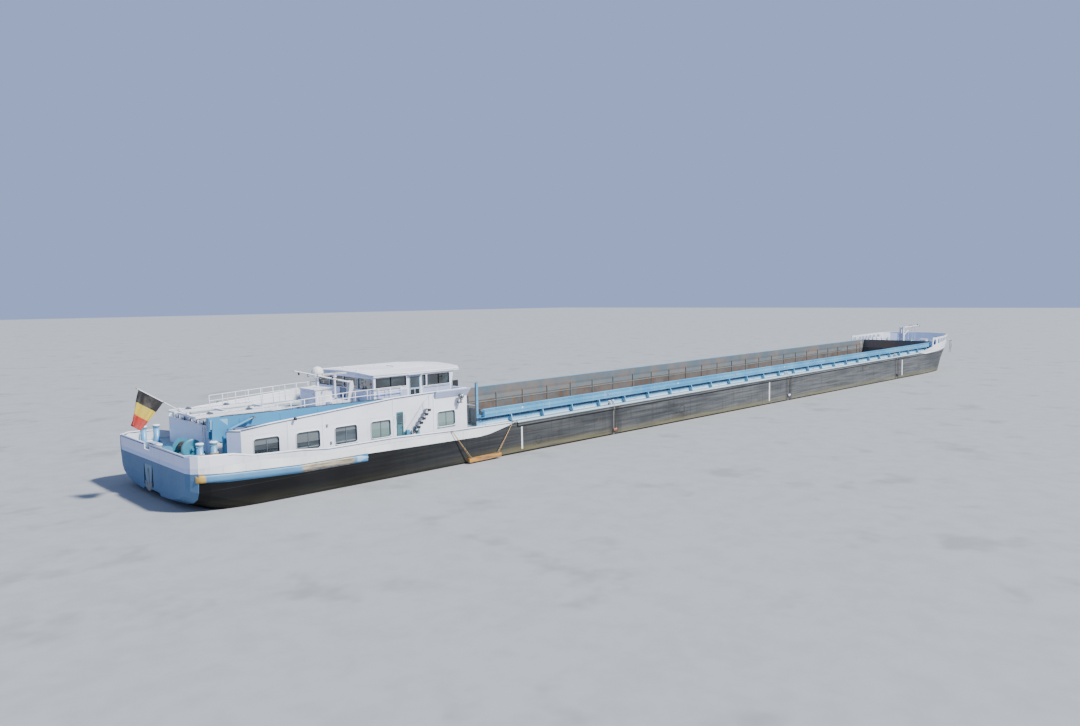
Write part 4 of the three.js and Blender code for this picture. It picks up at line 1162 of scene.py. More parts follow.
BLACK_PAINT = Paint("black paint", 0x222427, 0x5A544A, 0.2, 0.5, 0.45)
GALVANISED = BareSteel("galvanised steel")
WIRE = BareSteel("greased wire rope", 0x5A5650, 0.2, 0.6)
ROPE = Laid("laid mooring rope")
RUBBER = Plain("black rubber", 0x26272A, 0.7)
RED_LAMP = Plain("red lamp glass", 0x9E2B22, 0.25, 60.0, 0.0001)
GREEN_LAMP = Plain("green lamp glass", 0x1F7A4A, 0.25, 60.0, 0.0001)
CLEAR_LAMP = Plain("clear lamp glass", 0xDCE3E6, 0.15, 60.0, 0.0001)
SALMON = Plain("salmon fender bundle", 0xC97F66, 0.7, 90.0)


def rope_form(piece: Piece, path: Sequence[Point], radius: float, sides: int = 8) -> None:
    """Lays a rope along points into a piece, with the UV map that its strands follow.

    Args:
        piece: The piece that it becomes part of.
        path: Its points, in metres.
        radius: Its radius in metres.
        sides: How many flats it has.
    """
    layer = piece.mesh.loops.layers.uv.verify()
    before = set(piece.mesh.faces)
    piece.pipe(path, radius, sides)
    lengths = [0.0]
    for a, b in zip(path, path[1:]):
        lengths.append(lengths[-1] + (Vector(b) - Vector(a)).length)
    fresh = [face for face in piece.mesh.faces if face not in before]
    marks = [Vector(p) for p in path]
    for face in fresh:
        for loop in face.loops:
            near = min(range(len(marks)), key=lambda i: (marks[i] - loop.vert.co).length_squared)
            rest = loop.vert.co - marks[near]
            turn = math.atan2(rest.z, rest.x + rest.y) / math.tau
            loop[layer].uv = (turn, lengths[near])


@dataclass
class SternBulwark:
    """The stern bulwark's cap, stays, dark bars of painted shadow and the strake under its white band."""

    # Place, half beam and height of the bulwark's top.
    top: tuple = ((0, 486, 91), (60, 547, 90), (120, 556, 87), (200, 561, 82), (225, 561, 80), (320, 562, 59),
                  (450, 563, 52), (580, 564, 47), (760, 565, 30), (1200, 565, 29), (1640, 565, 12),
                  (2140, 565, 2))

    def make(self) -> None:
        """Builds the bulwark's dressing."""
        self.cap()
        self.stays()
        self.shadow_bars()
        self.strake()
        self.corner_pipes()

    def cap(self) -> None:
        """Runs a half-round rail along the bulwark's top, open at the fairlead."""
        piece = Piece("bulwark_cap", WHITE_PAINT)
        for side in SIGNS:
            run = [(s, (y - 3.5) * side, h + 1.5) for s, y, h in self.top]
            across = [(3.5, y * side, 92.5) for y in ((84, 300, 470) if side > 0 else (-4, 300, 470))]
            piece.pipe([spot(*p) for p in across[:-1] + [(4, 470 * side, 92.5)] + run[1:]], 0.0042, 8)
        piece.done("vessel")

    def stays(self) -> None:
        """Puts the upright stays inside the bulwark."""
        piece = Piece("bulwark_stays", WHITE_PAINT)
        for place in range(130, 700, 95):
            row = [r for r in self.top if r[0] <= place][-1]
            for side in SIGNS:
                y, foot = (row[1] - 8) * side, 31 if place < 390 else 20
                corners = [spot(place - 1.5, y, foot), spot(place - 1.5, y - 26 * side, foot),
                           spot(place - 1.5, y, row[2] - 6)]
                piece.plate(corners if side < 0 else corners[::-1], 0.003)
        for y in range(-420, 421, 105):
            if abs(y - 44) > 60:
                piece.plate([spot(8.5, y - 1.5, 31), spot(34, y - 1.5, 31), spot(8.5, y - 1.5, 84)], 0.003)
        piece.done("vessel")

    def shadow_bars(self) -> None:
        """Runs thin dark bars that are painted shadow: under the bulwark's cap, along the walkway and round
        the transom.
        """
        # Painted shadow: dark blue bars for the shadow line under the cap and the shaded gap along the
        # walkway.
        piece = Piece("cap_shadow_bars", Paint("dark blue painted shadow", 0x39536B, 0x3C3B38, 0.2, 0.3))
        for side in SIGNS:
            run = [spot(s, (y + 1.2) * side, h - 3.4) for s, y, h in self.top]
            inner = 90 if side > 0 else -8
            piece.pipe([spot(-0.6, inner, 86.5), spot(-0.6, 484 * side, 86.5)] + run[1:], 0.0019, 6)
        for side in SIGNS:
            path = [spot(s, 553 * side, h) for s,
                    h in ((330, 62), (455, 55), (585, 50), (765, 33.5), (1200, 32.5), (1640, 15.5),
                          (2000, 7))]
            piece.pipe(path, 0.0018, 6)
        piece.done("vessel")

    def strake(self) -> None:
        """Fits the half-round blue strake under the white band, worn through amidships of it."""
        piece = Piece("stern_strake", StrakePaint("stern strake"))
        for side in SIGNS:
            rows = []
            for s, y, h in ((34, 533, -24), (60, 547, -26), (100, 557, -27), (180, 562.5, -32),
                            (380, 563.5, -44), (575, 565, -55), (800, 565.5, -57), (960, 565.5, -60),
                            (1012, 565, -58)):
                tall = 20 if s < 1000 else 4
                out = 3.0 if s < 1000 else 0.6
                arc = [(-1, -4.0), (-0.8, 0.5), (-0.3, 1.0), (0.3, 1.0), (0.8, 0.5), (1, -4.0)]
                rows.append([spot(s, (y + (out * b if b > 0 else b)) * side, h + a * tall) for a, b in arc])
            piece.rings(rows)
        piece.done("vessel")

    def corner_pipes(self) -> None:
        """Stands the round pipe at the transom's port corner."""
        piece = Piece("transom_trim", DARK_BLUE)
        line = [spot(1.5, 485, 88), spot(-0.5, 484, 40), spot(-0.5, 480, 2), spot(4, 476, -70)]
        piece.pipe(line, 0.0022, 6)
        piece.done("vessel")


@dataclass(frozen=True)
class StrakePaint(Finish):
    """The strake's blue, scraped to timber and primer along one stretch and ochre at its aft end."""

    def draw(self, shader: Shader) -> None:
        """Adds the strake's nodes to the shader."""
        s = shader.s
        mottle = shader.noise(6.0, 4.0, 0.6)
        blue = shader.mix(mottle.fade(0.3, 0.75), tint(0x568BAF), tint(0x47779B))
        grain = shader.noise(60.0, 4.0, 0.65, shader.spread(0.12, 1.0, 1.0))
        timber = shader.mix(grain.fade(0.35, 0.65), tint(0x6D6558), tint(0xB5AB94))
        scraped = s.fade(585.0, 605.0) * s.fade(935.0, 905.0) * shader.noise(16.0, 3.0).fade(0.28, 0.36)
        colour = shader.mix(scraped, blue, timber)
        ochre = s.fade(84.0, 70.0) * shader.noise(45.0, 3.0).fade(0.3, 0.42)
        colour = shader.mix(ochre, colour, tint(0xC7A24E))
        pale = s.fade(930.0, 945.0)
        colour = shader.mix(pale, colour, tint(0x8DB9D8))
        shader.finish(colour, grain * 0.15 + 0.4, shader.bump(grain, 0.0005))


@dataclass
class SternDeck:
    """The mooring deck aft: winch, fairlead, bollards with rope turns, and the anchor's pocket."""

    winch: Point = (108.0, -232.0, 92.3)
    bollards: tuple = (107, 179)
    bollard_line: float = 418.0

    def make(self) -> None:
        """Builds everything on the stern deck."""
        self.winch_machine()
        self.winch_wire()
        self.fairlead()
        self.bollard_caps()
        self.ropes()
        self.anchor()
        self.aft_wall()

    def winch_machine(self) -> None:
        """Adds the winch's gear wheel, motor, brake band, hand wheel and warping head."""
        x, y, z = self.winch
        piece = Piece("stern_winch_machinery", TEAL_PAINT)
        piece.turned(spot(x, y - 82, z), (0, 1, 0),
                     [(0, 0.037), (0, 0.05), (0.003, 0.053), (0.011, 0.053), (0.014, 0.05), (0.014, 0.037)],
                     36)
        piece.turned(spot(x, y - 84, z), (0, 1, 0), [(0, 0.004), (0, 0.014), (0.018, 0.016), (0.018, 0.004)],
                     20)
        for u, v in around(5):
            reach = Vector((u, 0, v))
            piece.rod(spot(x, y - 75, z) + reach * 0.012, spot(x, y - 75, z) + reach * 0.039, 0.0042, 8)
        piece.use(BLACK_PAINT).turned(spot(x, y - 73.5, z), (0, 1, 0),
                                      [(0, 0.012), (0, 0.0372), (0.0012, 0.0372), (0.0012, 0.012)], 28)
        piece.use(TEAL_PAINT)
        piece.turned(spot(x + 40, y - 83, z - 26), (0, 1, 0),
                     [(0, 0.004), (0, 0.016), (0.014, 0.016), (0.014, 0.004)], 18)
        piece.turned(spot(x + 40, y - 120, z - 26), (0, 1, 0),
                     [(0, 0.012), (0.003, 0.017), (0.034, 0.017), (0.037, 0.014)], 16)
        piece.turned(spot(x, y + 74, z), (0, 1, 0),
                     [(0, 0.012), (0.004, 0.026), (0.012, 0.018), (0.034, 0.015), (0.042, 0.024),
                      (0.046, 0.024)], 20)
        piece.rod(spot(x, y - 96, z), spot(x, y + 76, z), 0.007, 12)
        piece.block(x - 46, x - 30, y - 60, y - 20, 31, 75)
        piece.rod(spot(x - 38, y - 40, 74), spot(x - 38, y - 40, 112), 0.0025, 8)
        piece.use(BLACK_PAINT).hand_wheel(x - 38, y - 40, 112, 14, 0.002, 0.0014)
        piece.use(TEAL_PAINT)
        for place in (-64, 64):
            for dx in (-44, 44):
                piece.rod(spot(x + dx, y + place, 36), spot(x + dx, y + place, 40), 0.004, 6)
        piece.done("vessel", 0.0008)

    def winch_wire(self) -> None:
        """Winds the wire on the winch's drum."""
        x, y, z = self.winch
        piece = Piece("stern_winch_wire", WIRE)
        path = []
        turns, steps = 15, 22
        for k in range(turns * steps + 1):
            t = k / steps
            angle = math.tau * t
            reach = 25.2 + 0.6 * math.sin(t * 1.7)
            path.append(spot(x + reach * math.cos(angle), y - 53 + 106 * t / turns,
                             z + reach * math.sin(angle)))
        piece.pipe(path, 0.0031, 6)
        piece.done("stern_winch_drum")

    def fairlead(self) -> None:
        """Adds the stern fairlead's rollers, cheeks and cap, the cap coloured lilac as painted shade."""
        piece = Piece("stern_fairlead_trim", PAINTED_SHADE_WHITE)
        piece.block(22, 54, 2, 86, 92.5, 96)
        for y in (32, 56):
            piece.use(GALVANISED).turned(spot(38, y, 41), (0, 0, 1),
                                         [(0, 0.0125), (0.006, 0.0135), (0.01, 0.011), (0.034, 0.011),
                                          (0.038, 0.0135), (0.044, 0.0125)], 18)
        piece.use(WHITE_PAINT)
        for y in (-30, 118):
            piece.turned(spot(40, y, 30.6), (0, 0, 1),
                         [(0, 0.014), (0.052, 0.014), (0.056, 0.018), (0.062, 0.018), (0.066, 0.012)], 18)
        piece.use(SALMON).turned(spot(64, 150, 30.6), (0, 0, 1),
                                 [(0, 0.02), (0.012, 0.026), (0.03, 0.026), (0.04, 0.018)], 16)
        piece.done("vessel", 0.0006)

    def bollard_caps(self) -> None:
        """Gives the deck bollards smooth pale bodies, white heads and weld rings."""
        piece = Piece("stern_bollard_caps", BODY_BLUE)
        for y in (-self.bollard_line, self.bollard_line):
            for x in self.bollards:
                piece.use(BODY_BLUE).turned(spot(x, y, 35.5), (0, 0, 1),
                                            [(0, 0.0162), (0, 0.019), (0.004, 0.0168), (0.0785, 0.0168),
                                             (0.0785, 0.0162)], 24)
                piece.use(WHITE_PAINT).turned(spot(x, y, 114), (0, 0, 1),
                                              [(0, 0.0166), (0.0003, 0.0172), (0.0125, 0.0172),
                                               (0.0165, 0.0212), (0.0195, 0.0212), (0.0225, 0.017),
                                               (0.0235, 0.003)], 24)
        piece.done("vessel")

    def ropes(self) -> None:
        """Lays rope turns on the starboard bollards."""
        piece = Piece("stern_bollard_turns", ROPE)
        for x in self.bollards:
            path = [spot(x + 20 * math.cos(math.tau * k / 16),
                         20 * math.sin(math.tau * k / 16) - self.bollard_line, 58 + k * 0.42)
                    for k in range(49)]
            rope_form(piece, path, 0.0032)
        piece.done("vessel")

    def anchor(self) -> None:
        """Covers the anchor pocket with its two tapering slots and hangs the crown below them."""
        piece = Piece("stern_anchor_pocket", TransomPaint("transom plate"))
        wings = (
            [(-31, -21), (-31, -120), (-24, -30), (-21, -21)],
            [(-13, -21), (-8, -60), (8, -141), (80, -141), (96, -60), (101, -21)],
            [(109, -21), (112, -30), (119, -120), (119, -21)],
        )
        for wing in wings:
            piece.prism([(y / 1000, up(h)) for y, h in wing], at(0.4), at(4.4), "x")
        grey = Plain("anchor grey", 0x7E8488, 0.6, 70.0, 0.0006)
        piece.use(grey)
        crown = [(-10, -118), (-4, -146), (14, -163), (40, -168), (48, -168), (74, -163), (92, -146),
                 (98, -118), (76, -112), (66, -132), (44, -138), (22, -132), (12, -112)]
        piece.prism([(y / 1000, up(h)) for y, h in crown], at(-2.5), at(9.5), "x")
        piece.prism([(y / 1000, up(h)) for y,
                     h in ((32, -52), (36, -150), (52, -150), (56, -52), (50, -42), (38, -42))], at(-1.6),
                    at(7.5), "x")
        for y in (12, 76):
            piece.prism([((y + a) / 1000, up(h)) for a, h in ((-8, -126), (-3, -52), (3, -52), (8, -126))],
                        at(3), at(10), "x")
        piece.done("vessel", 0.0012)

    def aft_wall(self) -> None:
        """Adds the aft wall's top rail, coloured lilac as painted shade, with its posts, and the rolls that
        lie behind it.
        """
        piece = Piece("aft_wall_gear", PAINTED_SHADE_WHITE)
        piece.block(238.2, 240.6, -132, 370, 182, 185.5)
        piece.use(BLACK_PAINT)
        for y in (-120, -30, 60, 150, 240, 330):
            piece.rod(spot(249, y, 180.5), spot(249, y, 206), 0.003, 8)
        piece.use(WHITE_PAINT)
        for y in (-75, 15, 105, 195, 285):
            piece.rod(spot(262, y - 36, 191), spot(262, y + 36, 191), 0.0095, 16)
        piece.use(BLACK_PAINT).pipe([spot(249, -120, 204), spot(249, 330, 204)], 0.0017, 6)
        piece.done("vessel", 0.0006)


@dataclass(frozen=True)
class TransomPaint(Finish):
    """The transom's steel-blue paint, rubbed and streaked."""

    def draw(self, shader: Shader) -> None:
        """Adds the transom's nodes to the shader."""
        dull = shader.noise(5.0, 4.0, 0.6)
        steel = shader.mix(dull.fade(0.3, 0.8), tint(0x5E84A0), tint(0x4E7492))
        runs = shader.noise(50.0, 3.0, 0.6, shader.spread(1.0, 1.0, 0.15)).fade(0.5, 0.75) * 0.45
        colour = shader.mix(runs, steel, tint(0x6E7C84))
        shader.finish(colour, dull * 0.2 + 0.35, shader.bump(shader.noise(240.0, 3.0), 0.0002))


@dataclass(frozen=True)
class FlagCloth(Finish):
    """Woven flag cloth in three upright bands, read along the cloth's own fly."""

    bands: tuple = (0x1B1B1E, 0xC9B13A, 0xB4332B)

    def draw(self, shader: Shader) -> None:
        """Adds the cloth's nodes to the shader."""
        along = shader.node("UVMap", {}, [])
        fly, hoist = (shader.node("SeparateXYZ", {}, [along], i) for i in range(2))
        colour = shader.mix(fly > 1 / 3, tint(self.bands[0]), tint(self.bands[1]))
        colour = shader.mix(fly > 2 / 3, colour, tint(self.bands[2]))
        weave = (fly * 900.0).do("SINE") * (hoist * 620.0).do("SINE") * 0.5 + 0.5
        faded = shader.noise(22.0, 3.0).fade(0.4, 0.8) * 0.3
        colour = shader.mix(faded, colour, tint(0x9A8F84))
        hem = (hoist - 0.5).size().fade(0.482, 0.49) * 0.35
        colour = shader.mix(hem, colour, tint(0x2A2422))
        shader.finish(colour, weave * 0.1 + 0.8, shader.bump(weave, 0.00025), Sheen_Weight=0.15)


@dataclass
class Flag:
    """The tricolour on the leaning staff, hung by its own weight, with its staff's ring and halyard."""

    top: Point = (-56.0, -60.0, 403.0)
    foot: Point = (64.0, -60.0, 323.0)
    fly: float = 0.18
    across: int = 22
    along: int = 30
    steps: int = 400
    passes: int = 6
    drag: float = 0.93
    weight: float = 0.00006
    wind: float = 0.85

    def make(self) -> None:
        """Builds the flag and what holds it."""
        cloth = self.cloth()
        piece = Piece("flag_halyard", ROPE)
        low, high = spot(*self.foot), spot(*self.top)
        way = (high - low).normalized()
        side = Vector((0, 0.0042, 0))
        piece.pipe([low - way * 0.06 + side, low + side, high + side, high + way * 0.008], 0.0007, 5)
        for end in (low, high):
            piece.use(GALVANISED).turned(end - way * 0.002, way,
                                         [(0, 0.0031), (0, 0.0044), (0.004, 0.0044), (0.004, 0.0031)], 14)
        gilt = Plain("gilt knob", 0xC9A24A, 0.3, 120.0, 0.0001, 0.8, 0.8)
        piece.use(gilt).ball(spot(-66, -60, 412), 0.0046, 1.0, 14)
        piece.use(WHITE_PAINT)
        ring = [spot(146 + 10 * u, -60, 272 + 10 * v) for u, v in around(24)]
        piece.pipe(ring, 0.0022, 8, True)
        piece.done("vessel")
        self.hoist()

    def hoist(self) -> float:
        """Returns the length of the edge at the staff, in metres."""
        return (spot(*self.top) - spot(*self.foot)).length

    def cloth(self) -> bpy.types.Object:
        """Lets a flat cloth swing down from the staff.

        Returns:
            The flag.
        """
        top, foot = spot(*self.top), spot(*self.foot)
        rows, columns = self.across, self.along
        down = Vector((-0.45, 0.0, -0.9)).normalized()
        start = []
        for i in range(rows):
            held = top.lerp(foot, i / (rows - 1))
            for j in range(columns):
                share = j / (columns - 1)
                wave = 0.024 * min(1.0, share * 1.6) * math.sin(math.tau * (1.5 * i / rows + 0.25 * share))
                swung = -0.035 * share * i / (rows - 1)
                start.append(held + down * self.fly * share * (1 - 0.1 * share) + Vector((swung, wave, 0)))
        points = np.array([tuple(p) for p in start]).reshape(rows, columns, 3)
        points = self.settle_down(points)
        return self.skin(points)

    def settle_down(self, points: "np.ndarray") -> "np.ndarray":
        """Moves the cloth's points under gravity while its threads keep their lengths.

        Args:
            points: Rows along the staff by columns along the fly.

        Returns:
            The points at rest.
        """
        rows, columns = points.shape[:2]
        held = points[:, 0].copy()
        before = points.copy()
        threads = []
        for di, dj, strength in ((1, 0, 1.0), (0, 1, 1.0), (1, 1, 0.3), (1, -1, 0.3), (2, 0, 0.12),
                                 (0, 2, 0.12)):
            length = math.hypot(di * self.hoist() / (rows - 1), dj * self.fly / (columns - 1))
            threads.append((di, dj, length, strength))
        pull = np.zeros(points.shape)
        pull[..., 0] = -0.05 - self.wind * np.linspace(0, 1, rows)[:, None]
        pull[..., 2] = -1.0
        pull *= self.weight
        for _ in range(self.steps):
            moved = points + (points - before) * self.drag + pull
            before, points = points, moved
            for _ in range(self.passes):
                for di, dj, length, strength in threads:
                    points = self.tighten(points, di, dj, length, strength)
                points[:, 0] = held
        return points

    def tighten(self, points: "np.ndarray", di: int, dj: int, length: float, strength: float) -> "np.ndarray":
        """Brings pairs of neighbours back to their distance.

        Args:
            points: The cloth's points.
            di: Step along the staff.
            dj: Step along the fly.
            length: The distance to keep.
            strength: How much of the error goes.

        Returns:
            The corrected points.
        """
        rows, columns = points.shape[:2]
        j0, j1 = (0, columns - dj) if dj >= 0 else (-dj, columns)
        for phase in (0, 1):
            if di:
                first = (slice(phase * di, rows - di, 2 * di), slice(j0, j1))
                second = (slice(phase * di + di, rows, 2 * di), slice(j0 + dj, j1 + dj))
            else:
                first = (slice(0, rows), slice(phase * dj, columns - dj, 2 * dj))
                second = (slice(0, rows), slice(phase * dj + dj, columns, 2 * dj))
            a, b = points[first], points[second]
            count = [min(a.shape[k], b.shape[k]) for k in (0, 1)]
            a, b = a[:count[0], :count[1]], b[:count[0], :count[1]]
            gap = b - a
            size = np.maximum(np.linalg.norm(gap, axis=2, keepdims=True), 1e-9)
            shift = gap * ((size - length) / size * 0.5 * strength)
            a += shift
            b -= shift
        return points

    def skin(self, points: "np.ndarray") -> bpy.types.Object:
        """Makes the cloth's mesh with a UV map along fly and hoist.

        Args:
            points: The cloth's points at rest.

        Returns:
            The flag, which stands for the plain CAD one.
        """
        rows, columns = points.shape[:2]
        faces = [(i * columns + j, i * columns + j + 1, (i + 1) * columns + j + 1, (i + 1) * columns + j)
                 for i in range(rows - 1) for j in range(columns - 1)]
        data = bpy.data.meshes.new("tricolour_flag")
        data.from_pydata([tuple(p) for p in points.reshape(-1, 3)], [], faces)
        layer = data.uv_layers.new(name="cloth")
        for polygon in data.polygons:
            polygon.use_smooth = True
            for loop in polygon.loop_indices:
                vertex = data.loops[loop].vertex_index
                layer.data[loop].uv = ((vertex % columns) / (columns - 1), (vertex // columns) / (rows - 1))
        flag = settle(data, "tricolour_flag", [FlagCloth("tricolour cloth").material()], "vessel",
                      0.0, ["flag"])
        thick = flag.modifiers.new("cloth", "SOLIDIFY")
        thick.thickness, thick.offset = 0.0006, 0.0
        smooth = flag.modifiers.new("soften", "SUBSURF")
        smooth.levels = smooth.render_levels = 1
        return flag


@dataclass(frozen=True)
class LinedPane(Finish):
    """Panes of the deckhouse: dark glass with a painted reflection of the sky, and slatted blinds let down
    behind some of them.
    """

    def draw(self, shader: Shader) -> None:
        """Adds the panes' nodes to the shader."""
        s, h = shader.s, shader.h
        sky = shader.noise(6.0, 2.0, 0.5, shader.spread(1.0, 1.0, 2.5))
        # Painted reflection: pale patches of sky mixed into the dark glass.
        glass = shader.mix(sky.fade(0.4, 0.7) * 0.6, tint(0x1E272D), tint(0x4E5F69))
        glass = shader.mix(s.fade(1040.0, 1050.0) * 0.8, glass, tint(0x6F8A86))
        drop = s.table([(340, 96), (560, 96), (561, 74), (800, 74), (801, 104), (1040, 104), (1041, 84),
                        (1500, 84), (1501, 60), (1800, 60)])
        slat = (h * (1 / 5.5)).do("FRACT")
        blind = shader.mix(slat.fade(0.1, 0.85), tint(0x5E6A70), tint(0xA9B3B4))
        down = (h > drop) * (shader.y.size() > 0.48)
        colour = shader.mix(down * 0.36, glass, blind)
        sill = (h + 3 - 46).size().fade(3.5, 2.0) * (s < 1040.0)
        colour = shader.mix(sill * 0.5, colour, tint(0xA7AFB2))
        shader.finish(colour, sky * 0.1 + 0.04, shader.bump(shader.noise(6.0, 1.0), 0.0004), Coat_Weight=1.0,
                      IOR=1.5)


@dataclass(frozen=True)
class StairPaint(Finish):
    """The side stair: black treads and strings, white handrail."""

    def draw(self, shader: Shader) -> None:
        """Adds the stair's nodes to the shader."""
        s, h = shader.s, shader.h
        over = h - (s - 1340.0) * (170 / 146) - 2
        fine = shader.noise(120.0, 3.0)
        black = shader.mix(fine.fade(0.4, 0.7), tint(0x1F2124), tint(0x3A3B3C))
        string = (shader.y.size() > 0.5345) + (shader.y.size() < 0.5045)
        white = shader.mix(fine.fade(0.4, 0.7), tint(0xD9DEE4), tint(0xB9C2CE))
        colour = shader.mix((over > 16.0) + string, black, white)
        shader.finish(colour, fine * 0.2 + 0.45, shader.bump(fine, 0.0003))


@dataclass
class Deckhouse:
    """The living quarters: window frames, doors, seams, vents, top rail and flared edge."""

    # Aft edge, fore edge, sill and head of each window.
    windows: tuple = ((358, 500, 30, 130), (602, 743, 30, 130), (840, 982, 30, 130), (1079, 1215, 30, 131),
                      (1570, 1708, 38, 133))
    # Place and height of the wall's sloping top.
    wall_top: tuple = ((292, 187.5), (450, 203), (770, 224), (1245, 257), (1500, 263), (1810, 266))
    face: float = HOUSE_FACE

    def make(self) -> None:
        """Builds the deckhouse's dressing on both sides."""
        self.window_frames()
        self.window_bars()
        self.edges()
        self.seams()
        self.flare()
        self.doors()
        self.small_goods()
        self.stair_trim()

    def rounded(self, aft: float, fore: float, foot: float, top: float, corner: float, y: float,
                grow: float) -> list[Vector]:
        """Returns a rounded rectangle of points in the side's plane.

        Args:
            aft: Its aft edge.
            fore: Its forward edge.
            foot: Its lower edge.
            top: Its upper edge.
            corner: Corner radius.
            y: The plane, in mm to port.
            grow: How far it is grown on all sides.

        Returns:
            The points, in order.
        """
        aft, fore, foot, top, corner = aft - grow, fore + grow, foot - grow, top + grow, corner + grow
        points = []
        for cx, cz, start in ((fore - corner, top - corner, 0), (aft + corner, top - corner, 1),
                              (aft + corner, foot + corner, 2), (fore - corner, foot + corner, 3)):
            for k in range(5):
                angle = math.pi / 2 * (start + k / 4)
                points.append(spot(cx + corner * math.cos(angle), y, cz + corner * math.sin(angle)))
        return points

    def window_frames(self) -> None:
        """Rims each window with a white frame and a black seal."""
        piece = Piece("deckhouse_window_frames", WHITE_PAINT)
        for side in SIGNS:
            for aft, fore, foot, top in self.windows:
                for finish, out, grow, radius in ((WHITE_PAINT, 0.8, 2.5, 0.0026),
                                                  (RUBBER, -2.2, -1.0, 0.0016)):
                    path = self.rounded(aft, fore, foot, top, 14, (self.face + out) * side, grow)
                    piece.use(finish).pipe(path, radius, 6, True)
        piece.done("vessel")

    def window_bars(self) -> None:
        """Puts the sliding pane's upright and the sill's drip edge in each window."""
        piece = Piece("deckhouse_window_bars",
                      Plain("brushed window bar", 0x8D979C, 0.35, 200.0, 0.0001, 0.85, 0.6))
        for side in SIGNS:
            for aft, fore, foot, top in self.windows:
                middle, face = aft + (fore - aft) * 0.52, self.face
                bar = (middle - 1.3, middle + 1.3, face - 5.6, face - 3.6, foot + 1, top - 1)
                drip = (aft - 4, fore + 4, face + 0.2, face + 5.5, foot - 5.5, foot - 3.8)
                piece.blocks([bar, drip], side)
        piece.done("vessel")

    def edges(self) -> None:
        """Runs the dark drip rail along the wall's sloping top and the pale cap over it."""
        piece = Piece("deckhouse_top_rail", DARK_BLUE)
        for side in SIGNS:
            piece.pipe([spot(s, (self.face + 2) * side, h - 2.6) for s, h in self.wall_top], 0.0019, 6)
        piece.use(WHITE_PAINT)
        for side in SIGNS:
            piece.pipe([spot(s, (self.face - 3) * side, h + 1) for s, h in self.wall_top], 0.0038, 8)
        piece.pipe([spot(242, -439, 183), spot(292, -497, 187.5)], 0.0034, 8)
        piece.pipe([spot(242, 373, 181.5), spot(289, 497, 186.5)], 0.0034, 8)
        piece.done("vessel")

    def seams(self) -> None:
        """Raises the plating's upright seams and the long panel line under the windows' heads."""
        piece = Piece("deckhouse_seams", WHITE_PAINT)
        for side in SIGNS:
            for place, foot, top in ((764, 34, 220), (1236, 16, 250), (1540, 16, 258), (552, 34, 205)):
                piece.blocks([(place - 2.2, place + 2.2, self.face - 1, self.face + 1.6, foot, top)], side)
            for aft, fore in ((306, 550), (554, 762), (766, 1234)):
                piece.blocks([(aft, fore, self.face - 1, self.face + 0.9, 155, 157)], side)
        piece.done("vessel")

    def flare(self) -> None:
        """Adds the flared edge under the wheelhouse, round the front of the deckhouse, coloured lilac as
        painted shade.
        """
        piece = Piece("deckhouse_flared_edge", PAINTED_SHADE_WHITE)
        outline = [(499.5, 222), (503, 222), (520, 262), (520, 266.5), (499.5, 266.5)]
        for side in SIGNS:
            piece.rings([[spot(s, y * side, h) for y, h in outline] for s in (1552, 1812)], False)
        front = [(1809.5, 222), (1813, 222), (1830, 262), (1830, 266.5), (1809.5, 266.5)]
        piece.rings([[spot(s, y, h) for s, h in front] for y in (-499, 499)], False)
        for side in SIGNS:
            rows = [(1811.5, 499.5, 222), (1813, 503, 222), (1830, 520, 262), (1830, 520, 266.5),
                    (1811.5, 499.5, 266.5)]
            ends = [(1811.5, 499, 222), (1813, 499, 222), (1830, 499, 262), (1830, 499, 266.5),
                    (1811.5, 499, 266.5)]
            bends = [[spot(s, y * side, h) for s, y, h in row] for row in (ends, rows)]
            piece.rings(bends + [[spot(1811, y * side, h) for y, h in outline]], False)
        piece.done("vessel", 0.001)

    def doors(self) -> None:
        """Dresses both side doors with a frame, window, handle and hinges, and lets them swing."""
        for side, name in SIDES:
            piece = Piece(f"house_door_dress_{name}", DOOR_PAINT)
            y = (self.face + 4.7) * side
            lo, hi = sorted((y, y + 1.1 * side))
            for aft, fore, foot, top in ((1262, 1306, 15, 19), (1262, 1306, 160, 164), (1262, 1266, 19, 160),
                                         (1302, 1306, 19, 160)):
                piece.block(aft, fore, lo, hi, foot, top)
            piece.use(GLASS).block(1269, 1299, lo, hi, 102, 150)
            piece.use(DOOR_PAINT).pipe(self.rounded(1269, 1299, 102, 150, 5, y + 1.2 * side, 0.5), 0.0011, 6,
                                       True)
            piece.use(GALVANISED)
            piece.rod(spot(1300, y + 0.5 * side, 84), spot(1300, y + 5.5 * side, 84), 0.0012, 8)
            piece.rod(spot(1300, y + 5 * side, 84), spot(1290, y + 5 * side, 83), 0.0012, 8)
            for h in (34, 86, 138):
                knuckle = (self.face + 2.9) * side
                piece.rod(spot(1260.7, knuckle, h - 5), spot(1260.7, knuckle, h + 5), 0.0018, 8)
            piece.done(f"house_door_{name}", 0.0003)

    def small_goods(self) -> None:
        """Adds vents, a wall lamp, two boxes by the stair and the grab rails by each side door."""
        piece = Piece("deckhouse_small_goods", PAINTED_SHADE_WHITE)
        for side in SIGNS:
            for place, h in ((790, 148), (812, 46)):
                case = (place - 5, place + 5, self.face + 0.2, self.face + 4, h - 8, h + 8)
                piece.use(DARK_BLUE).blocks([case], side)
                slats = [(place - 4.4, place + 4.4, self.face + 3.8, self.face + 4.8, h - 6 + rise,
                          h - 5 + rise) for rise in (k * 3.4 for k in range(4))]
